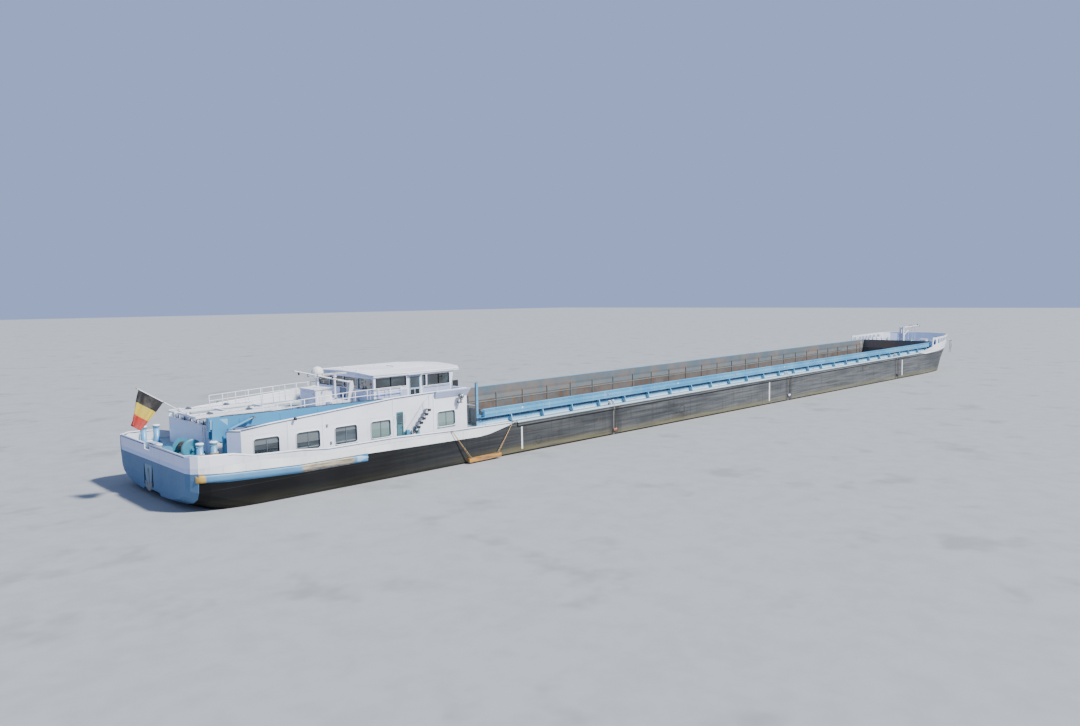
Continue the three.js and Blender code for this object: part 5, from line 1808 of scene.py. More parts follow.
                # The vents' slats are coloured lilac as painted shade.
                piece.use(PAINTED_SHADE_WHITE).blocks(slats, side)
            piece.use(GALVANISED)
            piece.rod(spot(595, self.face * side, 209), spot(595, (self.face + 14) * side, 215), 0.0019, 8)
            piece.use(BLACK_PAINT).turned(spot(590, (self.face + 15) * side, 214), (1, 0, -0.35),
                                          [(-0.006, 0.004), (-0.004, 0.0085), (0.009, 0.0085), (0.01, 0.006)],
                                          14)
            piece.use(TEAL_PAINT)
            for middle, tall in ((1327, 54), (1400, 58)):
                piece.blocks([(middle - 11, middle + 11, self.face + 7, self.face + 25, 1.6, tall)], side)
            piece.use(WHITE_PAINT)
            for place in (1244, 1322):
                piece.pipe([spot(place, self.face * side, 100), spot(place, (self.face + 6) * side, 102),
                            spot(place, (self.face + 6) * side, 148), spot(place, self.face * side, 150)],
                           0.0013, 6)
        piece.done("vessel", 0.0004)

    def stair_trim(self) -> None:
        """Adds nosings to the side stairs' treads."""
        piece = Piece("side_stair_nosings", BLACK_PAINT)
        for side in SIGNS:
            for i in range(7):
                t = (i + 0.6) / 7
                s, h = 1340 + 146 * t, 2 + 170 * t
                piece.prism([(at(s - 14), up(h - 6)), (at(s + 11), up(h - 10)), (at(s + 16), up(h + 5)),
                             (at(s - 9), up(h + 9))], 538.3 * side / 1000, 540.3 * side / 1000)
                piece.blocks([(s - 13, s + 13, 502.6, 535.4, h + 2.6, h + 4.4)], side)
        piece.done("vessel")


@dataclass
class Crane:
    """The folding crane's dressing: ribs, hoses, bolts, sheave and hook block."""

    y: float = -390.0

    def make(self) -> None:
        """Builds the crane's dressing on each of its bodies."""
        self.on_boom()
        self.on_column()
        self.on_jib()

    def on_boom(self) -> None:
        """Adds the boom's control box, ribs, hose run with its clips, lifting eye and pin ends."""
        piece = Piece("crane_boom_dress", Paint("pale blue crane box", 0x8CB8D3, 0x4A4A48, 0.35))
        piece.block(170, 262, self.y - 21.5, self.y - 17.2, 196, 244)
        piece.use(BLUE_PAINT)
        for place in (330, 560, 790, 1020, 1244):
            for side in SIGNS:
                y0, y1 = sorted(((17.1 * side + self.y), (18.6 * side + self.y)))
                piece.block(place - 3, place + 3, y0, y1, 192, 239)
        piece.block(640, 664, self.y - 5, self.y + 5, 247, 256)
        piece.use(BLACK_PAINT)
        for shift in (-3.5, 3.5):
            path = [spot(230, self.y + shift, 256), spot(260, self.y + shift, 259.5),
                    spot(420, self.y + shift, 254.5), spot(700, self.y + shift, 251.5),
                    spot(980, self.y + shift, 248.3), spot(1225, self.y + shift, 245),
                    spot(1240, self.y + shift, 241)]
            piece.pipe(path, 0.0019, 8)
        piece.use(GALVANISED)
        for place in (300, 480, 660, 840, 1020, 1190):
            top = 256 - (place - 165) * 0.0137
            piece.block(place - 2, place + 2, self.y - 8, self.y + 8, top - 4, top + 1.6)
        for side in SIGNS:
            piece.turned(spot(200, self.y + 18.4 * side, 222), (0, side, 0),
                         [(0, 0.008), (0.0012, 0.008), (0.0014, 0.0055), (0.003, 0.0055)], 12)
        piece.done("crane_boom", 0.0006)

    def on_column(self) -> None:
        """Adds the column's flange bolts, valve block, hoses and ladder step."""
        piece = Piece("crane_column_dress", BLUE_PAINT)
        piece.block(298, 312, self.y - 2, self.y + 34, 60, 106)
        piece.use(BLACK_PAINT)
        for k in range(4):
            piece.pipe([spot(305, self.y + 4 + k * 8, 105), spot(305, self.y + 4 + k * 8, 122),
                        spot(300 - k * 2, self.y + 2 + k * 4, 136)], 0.0016, 6)
        piece.use(GALVANISED)
        for u, v in around(12):
            bolt = (286 + 42.5 * u, self.y + 18 + 42.5 * v)
            piece.rod(spot(*bolt, 36), spot(*bolt, 40), 0.0023, 6)
        for h in (58, 84):
            piece.pipe([spot(254, self.y + 8, h), spot(243, self.y + 8, h), spot(243, self.y + 28, h),
                        spot(254, self.y + 28, h)], 0.0014, 6)
        piece.done("vessel", 0.0005)

    def on_jib(self) -> None:
        """Adds the jib's sheave and hook block."""
        piece = Piece("crane_jib_dress", BLACK_PAINT)
        piece.turned(spot(1352, self.y - 6, 213), (0, 1, 0),
                     [(0, 0.004), (0, 0.0125), (0.003, 0.0105), (0.009, 0.0105), (0.012, 0.0125),
                      (0.012, 0.004)], 18)
        piece.use(Plain("yellow hook block", 0xC9A53A, 0.4, 90.0))
        piece.block(1345, 1359, self.y - 4.5, self.y + 4.5, 188, 202)
        piece.use(GALVANISED).pipe([spot(1352, self.y, 189), spot(1352, self.y, 184),
                                    spot(1356, self.y, 181.8), spot(1357, self.y, 184)], 0.0014, 8)
        piece.done("crane_jib", 0.0005)


@dataclass
class RoofDeck:
    """What stands on the deckhouse's roof: rails, locker, mast, dome, lamps and the open platform."""

    # Place and height of the rail's corners.
    rail: tuple = ((480, 283), (1040, 306), (1395, 307))

    def make(self) -> None:
        """Builds the roof's dressing."""
        self.rails()
        self.locker()
        self.mast()
        self.dome()
        self.platform()
        self.lamp()
        self.deck_goods()

    def rails(self) -> None:
        """Grows round rails over the CAD ones, with posts at an even pitch."""
        for side, name in SIDES:
            path = [spot(s, 365 * side, h) for s, h in self.rail]
            railing(f"roof_rails_{name}", WHITE_PAINT, path, 0.0024, (0, 0.034, 0.068), 0.0763, 0.1, "vessel",
                    "white_paint")

    def locker(self) -> None:
        """Adds doors, hinges, a vent and a lid edge to the white locker and the low box."""
        piece = Piece("roof_locker_dress", WHITE_PAINT)
        piece.block(923.4, 925.4, -120, -37, 192, 296)
        piece.block(923.4, 925.4, -33, 50, 192, 296)
        piece.block(921, 1049, -134, 64, 306, 312)
        piece.use(GALVANISED)
        for y in (-42, -28):
            piece.rod(spot(921.6, y, 236), spot(921.6, y, 252), 0.0013, 6)
        for y in (-114, 44):
            for h in (205, 283):
                piece.rod(spot(922, y, h - 4), spot(922, y, h + 4), 0.0018, 6)
        # The vent's slats are coloured lilac as painted shade.
        piece.use(PAINTED_SHADE_WHITE)
        for k in range(5):
            piece.block(1052, 1172, -201.4, -199.6, 190 + k * 7, 193 + k * 7)
        piece.use(SKY_BOX).block(1186, 1194, -196, -120, 184, 226)
        piece.done("vessel", 0.0008)

    def mast(self) -> None:
        """Adds lanterns, foot caps and bands to the folded signal mast."""
        piece = Piece("signal_mast_lamps", BLACK_PAINT)
        for s, h, lamp in ((800, 434.4, RED_LAMP), (860, 418.5, CLEAR_LAMP), (940, 396.8, CLEAR_LAMP)):
            piece.use(BLACK_PAINT).turned(spot(s, -175, h - 4), (0.25, 0, -1),
                                          [(0, 0.003), (0.002, 0.0062), (0.005, 0.0062)], 14)
            piece.use(lamp).turned(spot(s, -175, h - 8.5), (0.25, 0, -1), [(0, 0.0052), (0.007, 0.0052)], 14)
            piece.use(BLACK_PAINT).turned(spot(s + 1.7, -175, h - 15), (0.25, 0, -1),
                                          [(0, 0.0062), (0.003, 0.0058), (0.0045, 0.002)], 14)
        for y in (-201, -149):
            piece.use(BLACK_PAINT).turned(spot(1010, y, 378), (0, 0, 1),
                                          [(0.002, 0.004), (0.012, 0.0046), (0.0135, 0.003)], 12)
        piece.use(GALVANISED)
        for t in (0.25, 0.6):
            piece.turned(spot(1145 - 373 * t, -175, 341 + 101 * t), (-373, 0, 101),
                         [(-0.002, 0.0062), (-0.002, 0.0072), (0.002, 0.0072), (0.002, 0.0062)], 12)
        piece.done("signal_mast")

    def dome(self) -> None:
        """Adds the dome's skirt and seam, and the radar's head trim."""
        piece = Piece("satellite_dome_base", Plain("moulded grey", 0xB9BCBE, 0.4, 200.0, 0.0001))
        piece.turned(spot(1052, 62, 360.7), (0, 0, 1),
                     [(0, 0.0225), (0.0002, 0.0235), (0.005, 0.0285), (0.006, 0.026)], 24)
        piece.turned(spot(1052, 62, 391), (0, 0, 1),
                     [(-0.001, 0.0392), (-0.001, 0.0406), (0.001, 0.0406), (0.001, 0.0392)], 28)
        piece.done("vessel")
        turning = Piece("radar_scanner_trim", Plain("radar grey", 0x8F9498, 0.4, 200.0, 0.0001))
        for end in (-1, 1):
            turning.block(1094 + end * 84 - 1.4, 1094 + end * 84 + 1.4, -80.4, -69.6, 388.4, 397.6)
        turning.block(1094 - 80, 1094 + 80, -80.6, -79.8, 391.5, 394.5)
        turning.turned(spot(1094, -75, 397.5), (0, 0, 1), [(0, 0.006), (0.0012, 0.0055), (0.0014, 0.002)], 14)
        turning.done("radar_scanner")

    def platform(self) -> None:
        """Adds tread plates, edge curbs, wheel stops and lashing eyes to the open platform."""
        piece = Piece("platform_treads", Paint("worn platform paint", 0xA9B1B6, 0x6B5F50, 0.5, 0.5, 0.55))
        for y in (-235, 70):
            for k in range(24):
                s = 176 + k * 20
                piece.block(s, s + 2.2, y + 6, y + 84, 245.6, 247.6)
            piece.use(WHITE_PAINT)
            for edge in (y + 1, y + 86):
                piece.block(166, 654, edge, edge + 3, 245, 251)
            piece.use(GALVANISED)
            for s in (250, 470):
                piece.prism([(at(s), up(247)), (at(s + 16), up(247)), (at(s + 16), up(258))], (y + 12) / 1000,
                            (y + 78) / 1000)
        for s in (200, 420, 600):
            for y in (-190, 115):
                ring = [spot(s + 4 * u, y, 249 + 4 * v) for u, v in around(12)]
                piece.pipe(ring, 0.0009, 5, True)
        for y in (-150, 50):
            piece.pipe([spot(240, y, 238), spot(330, y, 190), spot(352, y, 182)], 0.0024, 8)
        piece.done("vessel", 0.0004)

    def lamp(self) -> None:
        """Finishes the searchlight with a lens, yoke and cooling ribs on its bracket."""
        piece = Piece("searchlight_dress", GALVANISED)
        x, y, z = 1740, -528, 221
        piece.use(CLEAR_LAMP).turned(spot(x + 13.6, y, z), (1, 0, 0),
                                     [(0, 0.0105), (0.0012, 0.0095), (0.002, 0.004)], 20)
        piece.use(GALVANISED).turned(spot(x + 11, y, z), (1, 0, 0),
                                     [(0, 0.0122), (0, 0.0146), (0.004, 0.0146), (0.004, 0.0118)], 20)
        for k in range(3):
            piece.turned(spot(x - 9 + k * 4, y, z), (1, 0, 0),
                         [(0, 0.0135), (0, 0.0165), (0.0014, 0.0165), (0.0014, 0.0135)], 20)
        for side in SIGNS:
            piece.rod(spot(x, y + 17.5 * side, z - 22), spot(x, y + 17.5 * side, z + 2), 0.0017, 8)
        piece.rod(spot(x, y - 17.5, z - 21), spot(x, y + 17.5, z - 21), 0.0017, 8)
        piece.pipe([spot(x - 6, y + 24, z - 42), spot(x - 14, y + 24, z - 44),
                    spot(x - 20, y + 27.6, z - 60)], 0.0012, 6)
        piece.done("vessel")

    def deck_goods(self) -> None:
        """Adds roof vents, a hatch with its grip, and a life ring on the rails."""
        piece = Piece("roof_goods", WHITE_PAINT)
        for s, y in ((720, 250), (860, -250), (1120, 270), (700, -120)):
            piece.turned(spot(s, y, 180), (0, 0, 1),
                         [(0, 0.012), (0.002, 0.012), (0.003, 0.008), (0.03, 0.008), (0.032, 0.016),
                          (0.038, 0.016), (0.045, 0.008)], 18)
        # The hatch's sides are coloured lilac as painted shade under its white lid.
        piece.use(PAINTED_SHADE_WHITE).block(760, 840, 110, 190, 180, 190)
        piece.use(WHITE_PAINT).block(756, 844, 106, 194, 190, 194)
        piece.use(GALVANISED).pipe([spot(780, 120, 194), spot(780, 120, 201), spot(820, 120, 201),
                                    spot(820, 120, 194)], 0.0014, 6)
        ring = [spot(905, -352 + 21 * u, 222 + 21 * v) for u, v in around(24)]
        piece.use(Plain("orange life ring", 0xC8562A, 0.6, 80.0)).pipe(ring, 0.0065, 10, True)
        piece.done("vessel", 0.0006)


SKY_BOX = Paint("pale blue box paint", 0x8FB8D6, 0x5A5A55)


@dataclass
class Wheelhouse:
    """The rising wheelhouse: window frames, canopies, roof edge, aerials and what is inside."""

    half: float = 355.0
    # Aft edge, fore edge, sill and head of each side window.
    windows: tuple = ((1212, 1440, 306, 368), (1562, 1592, 292, 364), (1604, 1784, 292, 364))
    rake: float = 0.245
    rake_foot: float = 285.0
    house: Deckhouse = field(default_factory=Deckhouse)

    def make(self) -> None:
        """Builds the wheelhouse's dressing."""
        self.frames()
        self.roof_edge()
        self.roof_goods()
        self.side_doors()
        self.wall_goods()
        self.inside()
        self.front()

    @property
    def pitch(self) -> float:
        """The distance between the four end windows' edges, in mm."""
        return (2 * self.half - 20) / 4

    def lean(self, height: float) -> float:
        """Returns how far the raked front leans forward at a height, in mm."""
        return self.rake * (height - self.rake_foot)

    def rim(self, piece: Piece, aft: float, fore: float, foot: float, top: float, side: int) -> None:
        """Rims one side window with white outside and a seal inside.

        Args:
            piece: The piece that it joins.
            aft: The window's aft edge.
            fore: Its forward edge.
            foot: Its sill.
            top: Its head.
            side: -1 for starboard, 1 for port.
        """
        for finish, out, grow, radius in ((WHITE_PAINT, 0.5, 1.8, 0.0019), (RUBBER, -2.0, -0.7, 0.0013)):
            piece.use(finish).pipe(self.house.rounded(aft, fore, foot, top, 6, (self.half + out) * side,
                                                      grow), radius, 6, True)

    def frames(self) -> None:
        """Rims the side windows and parts the long one with uprights."""
        piece = Piece("wheelhouse_window_frames", WHITE_PAINT)
        for side in SIGNS:
            for window in self.windows:
                self.rim(piece, *window, side)
            piece.use(RUBBER)
            for place in (1328, 1700):
                piece.blocks([(place - 1.6, place + 1.6, self.half - 5, self.half - 0.6, 296, 366)], side)
        pitch = self.pitch
        for i in range(4):
            y0 = -self.half + 12 + i * pitch
            for finish, s, grow, radius in ((WHITE_PAINT, 1196.6, 1.5, 0.0018),
                                            (RUBBER, 1199.0, -0.7, 0.0012)):
                path = [(y0 - grow, 296 - grow), (y0 + pitch - 6 + grow, 296 - grow),
                        (y0 + pitch - 6 + grow, 364 + grow), (y0 - grow, 364 + grow)]
                piece.use(finish).pipe([spot(s, y, h) for y, h in path], radius, 6, True)
                edge = 1800.8 if finish is WHITE_PAINT else 1798.6
                piece.pipe([spot(edge + self.lean(h), y, h) for y, h in path], radius, 6, True)
        piece.done("wheelhouse")

    def roof_edge(self) -> None:
        """Runs the fascia round the roof, coloured lilac as painted shade, with a rail over it and the
        gutter's spouts.
        """
        piece = Piece("wheelhouse_roof_edge", PAINTED_SHADE_WHITE)
        plan = [(1196, -363), (1860, -363), (1924, -264), (1948.5, 0), (1924, 264), (1860, 363), (1196, 363)]
        piece.pipe([spot(s, y, 384.5) for s, y in plan], 0.0022, 6, True)
        piece.use(WHITE_PAINT).pipe([spot(s, y * 0.985, 388) for s, y in plan], 0.0026, 6, True)
        # The aft fascia's blocks and the spouts are lilac too: painted shade.
        piece.use(PAINTED_SHADE_WHITE)
        for y in (-250, 250):
            piece.block(1192.4, 1196.4, y - 95, y + 95, 376.5, 388)
        for side in SIGNS:
            piece.blocks([(1450, 1560, 356, 371, 371.5, 374.6)], side)
        piece.done("wheelhouse")

    def roof_goods(self) -> None:
        """Adds aerials, position aerial, horn, hatch, beams and a lamp on the wheelhouse's roof."""
        piece = Piece("wheelhouse_roof_goods", WHITE_PAINT)
        for s, y, tall in ((1230, -120, 9), (1320, 200, 9), (1500, 90, 6)):
            base = 401 - abs(y) * 0.022
            piece.turned(spot(s, y, base - 3), (0, 0, 1),
                         [(0, 0.006), (0.004, 0.006), (0.005, 0.0035), (0.008, 0.0035), (0.009, tall / 1400),
                          (0.013, tall / 1200), (0.0135, 0.001)], 16)
        # The hatch's sides are coloured lilac as painted shade under its white lid.
        piece.use(PAINTED_SHADE_WHITE).block(1560, 1640, -40, 40, 398, 404)
        piece.use(WHITE_PAINT).block(1556, 1644, -44, 44, 403.5, 406)
        for y in (-150, 150):
            piece.block(1260, 1800, y - 2, y + 2, 396, 400.4)
        piece.use(GALVANISED)
        for y in (-18, 18):
            piece.turned(spot(1850, y, 398), (1, 0, 0),
                         [(0, 0.0015), (0.012, 0.0018), (0.02, 0.0035), (0.024, 0.0058)], 14)
        piece.use(BLACK_PAINT).block(1846, 1856, -22, 22, 392, 397)
        piece.use(CLEAR_LAMP).turned(spot(1700, -200, 394), (0, 0, 1),
                                     [(0, 0.005), (0.006, 0.005), (0.008, 0.002)], 12)
        piece.done("wheelhouse", 0.0005)

    def side_doors(self) -> None:
        """Frames each wheelhouse door's panes, adds its handle, and lets them swing."""
        for side, name in SIDES:
            low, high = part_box(f"wheelhouse_door_{name}")
            body = f"wheelhouse_door_{name}"
            piece = Piece(f"wheelhouse_door_dress_{name}", SKY_BOX)
            face = low.y if side < 0 else high.y
            y0, y1 = sorted((face, face + 0.0012 * side))
            for aft, fore, foot, top in ((1464, 1546, 229, 233), (1464, 1546, 361, 366),
                                         (1464, 1468.5, 233, 361), (1541.5, 1546, 233, 361),
                                         (1468, 1542, 281, 286)):
                piece.box((at(aft), y0, up(foot)), (at(fore), y1, up(top)))
            piece.use(GLASS).box((at(1470), y0, up(288)), (at(1540), y1 - 0.0004, up(359)))
            for aft in (1471, 1507):
                piece.box((at(aft), y0, up(238)), (at(aft + 32), y1 - 0.0004, up(278)))
            piece.use(GALVANISED).pipe([Vector((at(1474), face, up(300))),
                                        Vector((at(1474), face + 0.005 * side, up(302))),
                                        Vector((at(1474), face + 0.005 * side, up(330))),
                                        Vector((at(1474), face, up(332)))], 0.001, 6)
            piece.done(body, 0.0003)

    def wall_goods(self) -> None:
        """Adds lower panels coloured lilac as painted shade, a rubbing strip, grab rails and side lamps to
        the wheelhouse's walls.
        """
        piece = Piece("wheelhouse_wall_goods", PAINTED_SHADE_WHITE)
        for side in SIGNS:
            # Lower panels: lilac, painted shade on the white wall.
            for aft, fore in ((1204, 1320), (1326, 1446), (1566, 1680), (1686, 1790)):
                piece.blocks([(aft, fore, self.half - 0.2, self.half + 1.0, 202, 284)], side)
            piece.use(WHITE_PAINT).blocks([(1198, 1212, self.half - 0.1, self.half + 1.6, 190, 374)], side)
            piece.use(GALVANISED).pipe([spot(1580, self.half * side, 286),
                                        spot(1580, (self.half + 7) * side, 287),
                                        spot(1786, (self.half + 7) * side, 287),
                                        spot(1786, self.half * side, 286)], 0.0014, 6)
            piece.use(BLACK_PAINT).blocks([(1716, 1744, self.half + 0.6, self.half + 9, 336, 339)], side)
            lamp = RED_LAMP if side > 0 else GREEN_LAMP
            piece.use(lamp).turned(spot(1734, (self.half + 5) * side, 339), (0, 0, 1),
                                   [(0, 0.003), (0.006, 0.003), (0.007, 0.001)], 10)
            piece.use(PAINTED_SHADE_WHITE)
        piece.use(DARK_BLUE).block(1195.2, 1197.4, -40, 40, 200, 290)
        piece.done("wheelhouse", 0.0003)

    def inside(self) -> None:
        """Adds screens and levers to the console, and the chair's arms."""
        low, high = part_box("helm_console")
        piece = Piece("helm_console_dress", BLACK_PAINT)
        screen = Plain("screen glass", 0x27465A, 0.15, 20.0, 0.0)
        for k in range(4):
            y = low.y + 0.03 + k * (high.y - low.y - 0.06) / 3
            piece.use(BLACK_PAINT).box((low.x + 0.038, y - 0.022, high.z + 0.001),
                                       (low.x + 0.042, y + 0.022, high.z + 0.032))
            piece.use(screen).box((low.x + 0.0372, y - 0.0195, high.z + 0.004),
                                  (low.x + 0.0381, y + 0.0195, high.z + 0.0295))
            piece.use(BLACK_PAINT).rod((low.x + 0.042, y, high.z - 0.004), (low.x + 0.042, y, high.z + 0.006),
                                       0.003, 8)
        for y in (-0.03, 0.03):
            piece.use(GALVANISED).rod((low.x + 0.014, y, high.z - 0.006), (low.x + 0.01, y, high.z + 0.012),
                                      0.0012, 6)
            piece.use(RED_LAMP).ball((low.x + 0.01, y, high.z + 0.013), 0.0028, 1.0, 10)
        piece.done("wheelhouse", 0.0004)
        low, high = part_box("helm_chair")
        middle = (low + high) / 2
        chair = Piece("helm_chair_dress", Plain("stitched leather", 0x2B2A2C, 0.55, 260.0, 0.0005))
        for y in (-1, 1):
            chair.pipe([(middle.x - 0.008, y * 0.027, low.z + 0.07),
                        (middle.x - 0.01, y * 0.029, low.z + 0.092),
                        (middle.x + 0.026, y * 0.029, low.z + 0.094)], 0.003, 8)
        chair.done("wheelhouse")

    def front(self) -> None:
        """Adds wipers and the visor's struts on the raked front."""
        piece = Piece("wheelhouse_wipers", BLACK_PAINT)
        pitch = self.pitch
        for i in range(4):
            y = -self.half + 12 + (i + 0.5) * pitch
            root, tip = spot(1803.5 + self.rake * 82, y, 366), spot(1805 + self.rake * 35, y + 34, 318)
            piece.rod(root, tip, 0.0009, 6)
            piece.rod(tip + Vector((-0.004, 0, -0.019)), tip + Vector((0.004, 0, 0.02)), 0.0011, 6)
        # The visor's struts are coloured lilac as painted shade.
        piece.use(PAINTED_SHADE_WHITE)
        for y in (-300, -100, 100, 300):
            piece.plate([spot(1822, y - 1, 374.4), spot(1884, y - 1, 374.4), spot(1822, y - 1, 362)], 0.002)
        piece.done("wheelhouse")


@dataclass(frozen=True)
class CoamingPaint(Finish):
    """Coaming paint: mid blue on the flange, deep navy painted shade in the recess under it, pale below, with
    a white painted highlight at the foot.
    """

    def draw(self, shader: Shader) -> None:
        """Adds the coaming's zones and weather to the shader."""
        h, out = shader.h, shader.beam
        upper = shader.mix(shader.noise(3.0, 6.0, 0.6).fade(0.35, 0.68), tint(0x3F8AB4), tint(0x5FA2C6))
        # Painted shade: deep navy in the recess under the flange, where its shadow falls.
        recess_shade = shader.mix(shader.noise(8.0, 5.0, 0.6).fade(0.4, 0.7), tint(0x1E3A5C), tint(0x2B4F74))
        lower = shader.mix(shader.noise(5.0, 5.0, 0.6).fade(0.35, 0.65), tint(0x6FAED0), tint(0x8EC3DC))
        colour = shader.mix(h.fade(55.5, 56.5), recess_shade, upper)
        colour = shader.mix(h.fade(35.0, 32.0) + out.fade(507.0, 507.6) * h.fade(56.5, 55.5), colour, lower)
        for height in (98.5, 74.0):
            colour = shader.mix((h - height).size().fade(1.4, 0.6) * 0.5, colour, tint(0x35618A))
        runs = shader.noise(60.0, 4.0, 0.7, shader.spread(1.0, 1.0, 0.06)).fade(0.55, 0.76)
        colour = shader.mix(runs * 0.35, colour, tint(0xB7D3DF))
        colour = shader.mix(shader.noise(13.0, 7.0, 0.72).fade(0.63, 0.71) * 0.7, colour, tint(0x6A5647))
        rubs = shader.noise(34.0, 6.0, 0.65, shader.spread(0.14, 1.0, 1.6)).fade(0.62, 0.7)
        colour = shader.mix(rubs * 0.55, colour, tint(0xD8E5EA))
        inside = shader.mix(shader.noise(4.0, 7.0, 0.62).fade(0.36, 0.66), tint(0x5E686D), tint(0x7D6F62))
        colour = shader.mix(out.fade(501.4, 500.9), colour, inside)
        waves = shader.bump(shader.noise(7.0, 6.0, 0.55), 0.0013)
        rough = shader.noise(22.0, 5.0, 0.6) * 0.25 + 0.33
        shader.finish(colour, rough, shader.bump(shader.noise(120.0, 3.0), 0.00018, waves))


@dataclass(frozen=True)
class PaintedHole(Finish):
    """A stay's face: pale paint round one dark disc that stands for a lightening hole, its darkness painted
    shade.
    """

    def draw(self, shader: Shader) -> None:
        """Adds the dark disc of painted shade for the hole, its ring and the paint round it to the shader."""
        across, h = shader.beam - 517.0, shader.h - 40.0
        far = (across * across + h * h).do("SQRT")
        paint = shader.mix(shader.noise(9.0, 4.0).fade(0.4, 0.7), tint(0x7AB4D2), tint(0x93C5DC))
        # Painted shade: a dark disc stands for the hole's shadowed inside.
        colour = shader.mix(far.fade(5.0, 4.3), paint, tint(0x16222E))
        shader.finish(colour, shader.noise(80.0, 3.0) * 0.2 + 0.35, shader.bump(far.fade(8.0, 6.0), 0.0008))


@dataclass
class Coamings:
    """The hold's coamings: ledges, seams, foot line, stays' flanges, end rails, frames and ladders."""

    pitch: float = 305.0
    first: float = 2180.0
    stays: int = 27
    # Inner and outer face, foot and top of each ledge.
    runs: tuple = ((527, 528.8, 106, 110.6), (527.6, 528.9, 97.4, 99.2), (527.4, 528.9, 73.0, 75.0),
                   (526.4, 528.8, 55.2, 58.6), (505.8, 508.2, 32.0, 35.0))

    def make(self) -> None:
        """Builds both sides' coaming dressing and the hold's inside."""
        for side, name in SIDES:
            self.ledges(side, name)
            self.stay_flanges(side, name)
            self.hold_side(side, name)
        self.ends()

    def ledges(self, side: int, name: str) -> None:
        """Adds one coaming's long ledges, its white foot line as a painted highlight and its painted marks.

        Args:
            side: -1 for starboard, 1 for port.
            name: The side's plain word.
        """
        piece = Piece(f"coaming_ledges_{name}", CoamingPaint("coaming blue"))
        piece.blocks([(1906, 10204, right, left, foot, top) for right, left, foot, top in self.runs], side)
        # Painted highlight: a white strip at the coaming's foot stands for the sunlit deck edge.
        piece.use(WHITE_PAINT).blocks([(1962, 9905, 505.8, 511.5, 2.5, 8.5)], side)
        for k in range(0, self.stays, 3):
            s = self.first + k * self.pitch + 96
            piece.use(SALMON if k % 2 else WHITE_PAINT).blocks([(s, s + 14, 528.6, 529.6, 80, 92)], side)
        for k in range(0, self.stays - 1, 2):
            s = self.first + (k + 0.5) * self.pitch
            piece.use(GALVANISED).pipe([spot(s - 7, 506 * side, 16), spot(s - 7, 511 * side, 14),
                                        spot(s, 512 * side, 8), spot(s + 7, 511 * side, 14),
                                        spot(s + 7, 506 * side, 16)], 0.0013, 6)
        piece.use(CYAN_PAINT)
        for h in (140, 215, 286):
            piece.blocks([(1886.5, 1905.5, 490.5, 507.5, h, h + 4)], side)
        piece.rod(spot(1896, 499 * side, 290), spot(1896, 499 * side, 303), 0.0026, 8)
        piece.done("vessel", 0.0004)

    def stay_flanges(self, side: int, name: str) -> None:
        """Grows a flange on every stay and a thin plate with a painted hole beside each.

        Args:
            side: -1 for starboard, 1 for port.
            name: The side's plain word.
        """
        pale = Paint("pale stay paint", 0x86BAD6, 0x6C6A5E, 0.4, 0.45)
        middles = [spot(self.first + k * self.pitch, 532.5 * side, 31) for k in range(self.stays)]
        repeated(f"coaming_stay_flanges_{name}", pale, middles, (0.0065, 0.0016, 0.054), "vessel",
                 "coaming_blue", way=(0.27 * side, 0.0, 0.0), bevel=0.0003)
        plates = [spot(self.first + k * self.pitch - 2.4, 517 * side, 40) for k in range(self.stays)]
        repeated(f"coaming_stay_holes_{name}", PaintedHole("stay with a painted hole"), plates, (0.0006, 0.021, 0.027),
                 "vessel", "coaming_blue")

    def hold_side(self, side: int, name: str) -> None:
        """Lines one side of the hold with frames, a kick plate and its ladders.

        Args:
            side: -1 for starboard, 1 for port.
            name: The side's plain word.
        """
        primer = Paint("hold wall primer", 0x77807F, 0x6A4A36, 0.75, 0.6, 0.65)
        frames = [spot(2030 + k * self.pitch, 497 * side, -134) for k in range(self.stays)]
        repeated(f"hold_frames_{name}", primer, frames, (0.006, 0.006, 0.366), "vessel", "hull_black",
                 bevel=0.0004)
        piece = Piece(f"hold_ladders_{name}", GALVANISED)
        for s in (2100, 10080):
            for shift in (-16, 16):
                piece.rod(spot(s + shift, 492 * side, -317), spot(s + shift, 492 * side, 104), 0.0022, 8)
            for k in range(17):
                piece.rod(spot(s - 16, 492 * side, -300 + k * 24.5),
                          spot(s + 16, 492 * side, -300 + k * 24.5), 0.0017, 6)
        piece.use(primer).blocks([(1960, 10200, 496.5, 499.6, -317, -305),
                                  (1960, 10200, 497.5, 499.6, -20, -12)], side)
        piece.done("vessel")

    def ends(self) -> None:
        """Adds hand rails over the two cross coamings and stiffeners on their faces."""
        piece = Piece("cross_coaming_rails", WHITE_PAINT)
        for s in (1939.5, 10218.5):
            for y in (-440, -150, 150, 440):
                piece.rod(spot(s, y, 105), spot(s, y, 128), 0.003, 8)
            piece.pipe([spot(s, y, 128) for y in (-452, -150, 150, 452)], 0.0024, 8)
        piece.use(CoamingPaint("coaming blue"))
        for y in range(-450, 451, 75):
            piece.block(1932.2, 1936.8, y - 2, y + 2, 4, 104)
            piece.block(10221.2, 10225.8, y - 2, y + 2, 34, 104)
        piece.done("vessel", 0.0004)


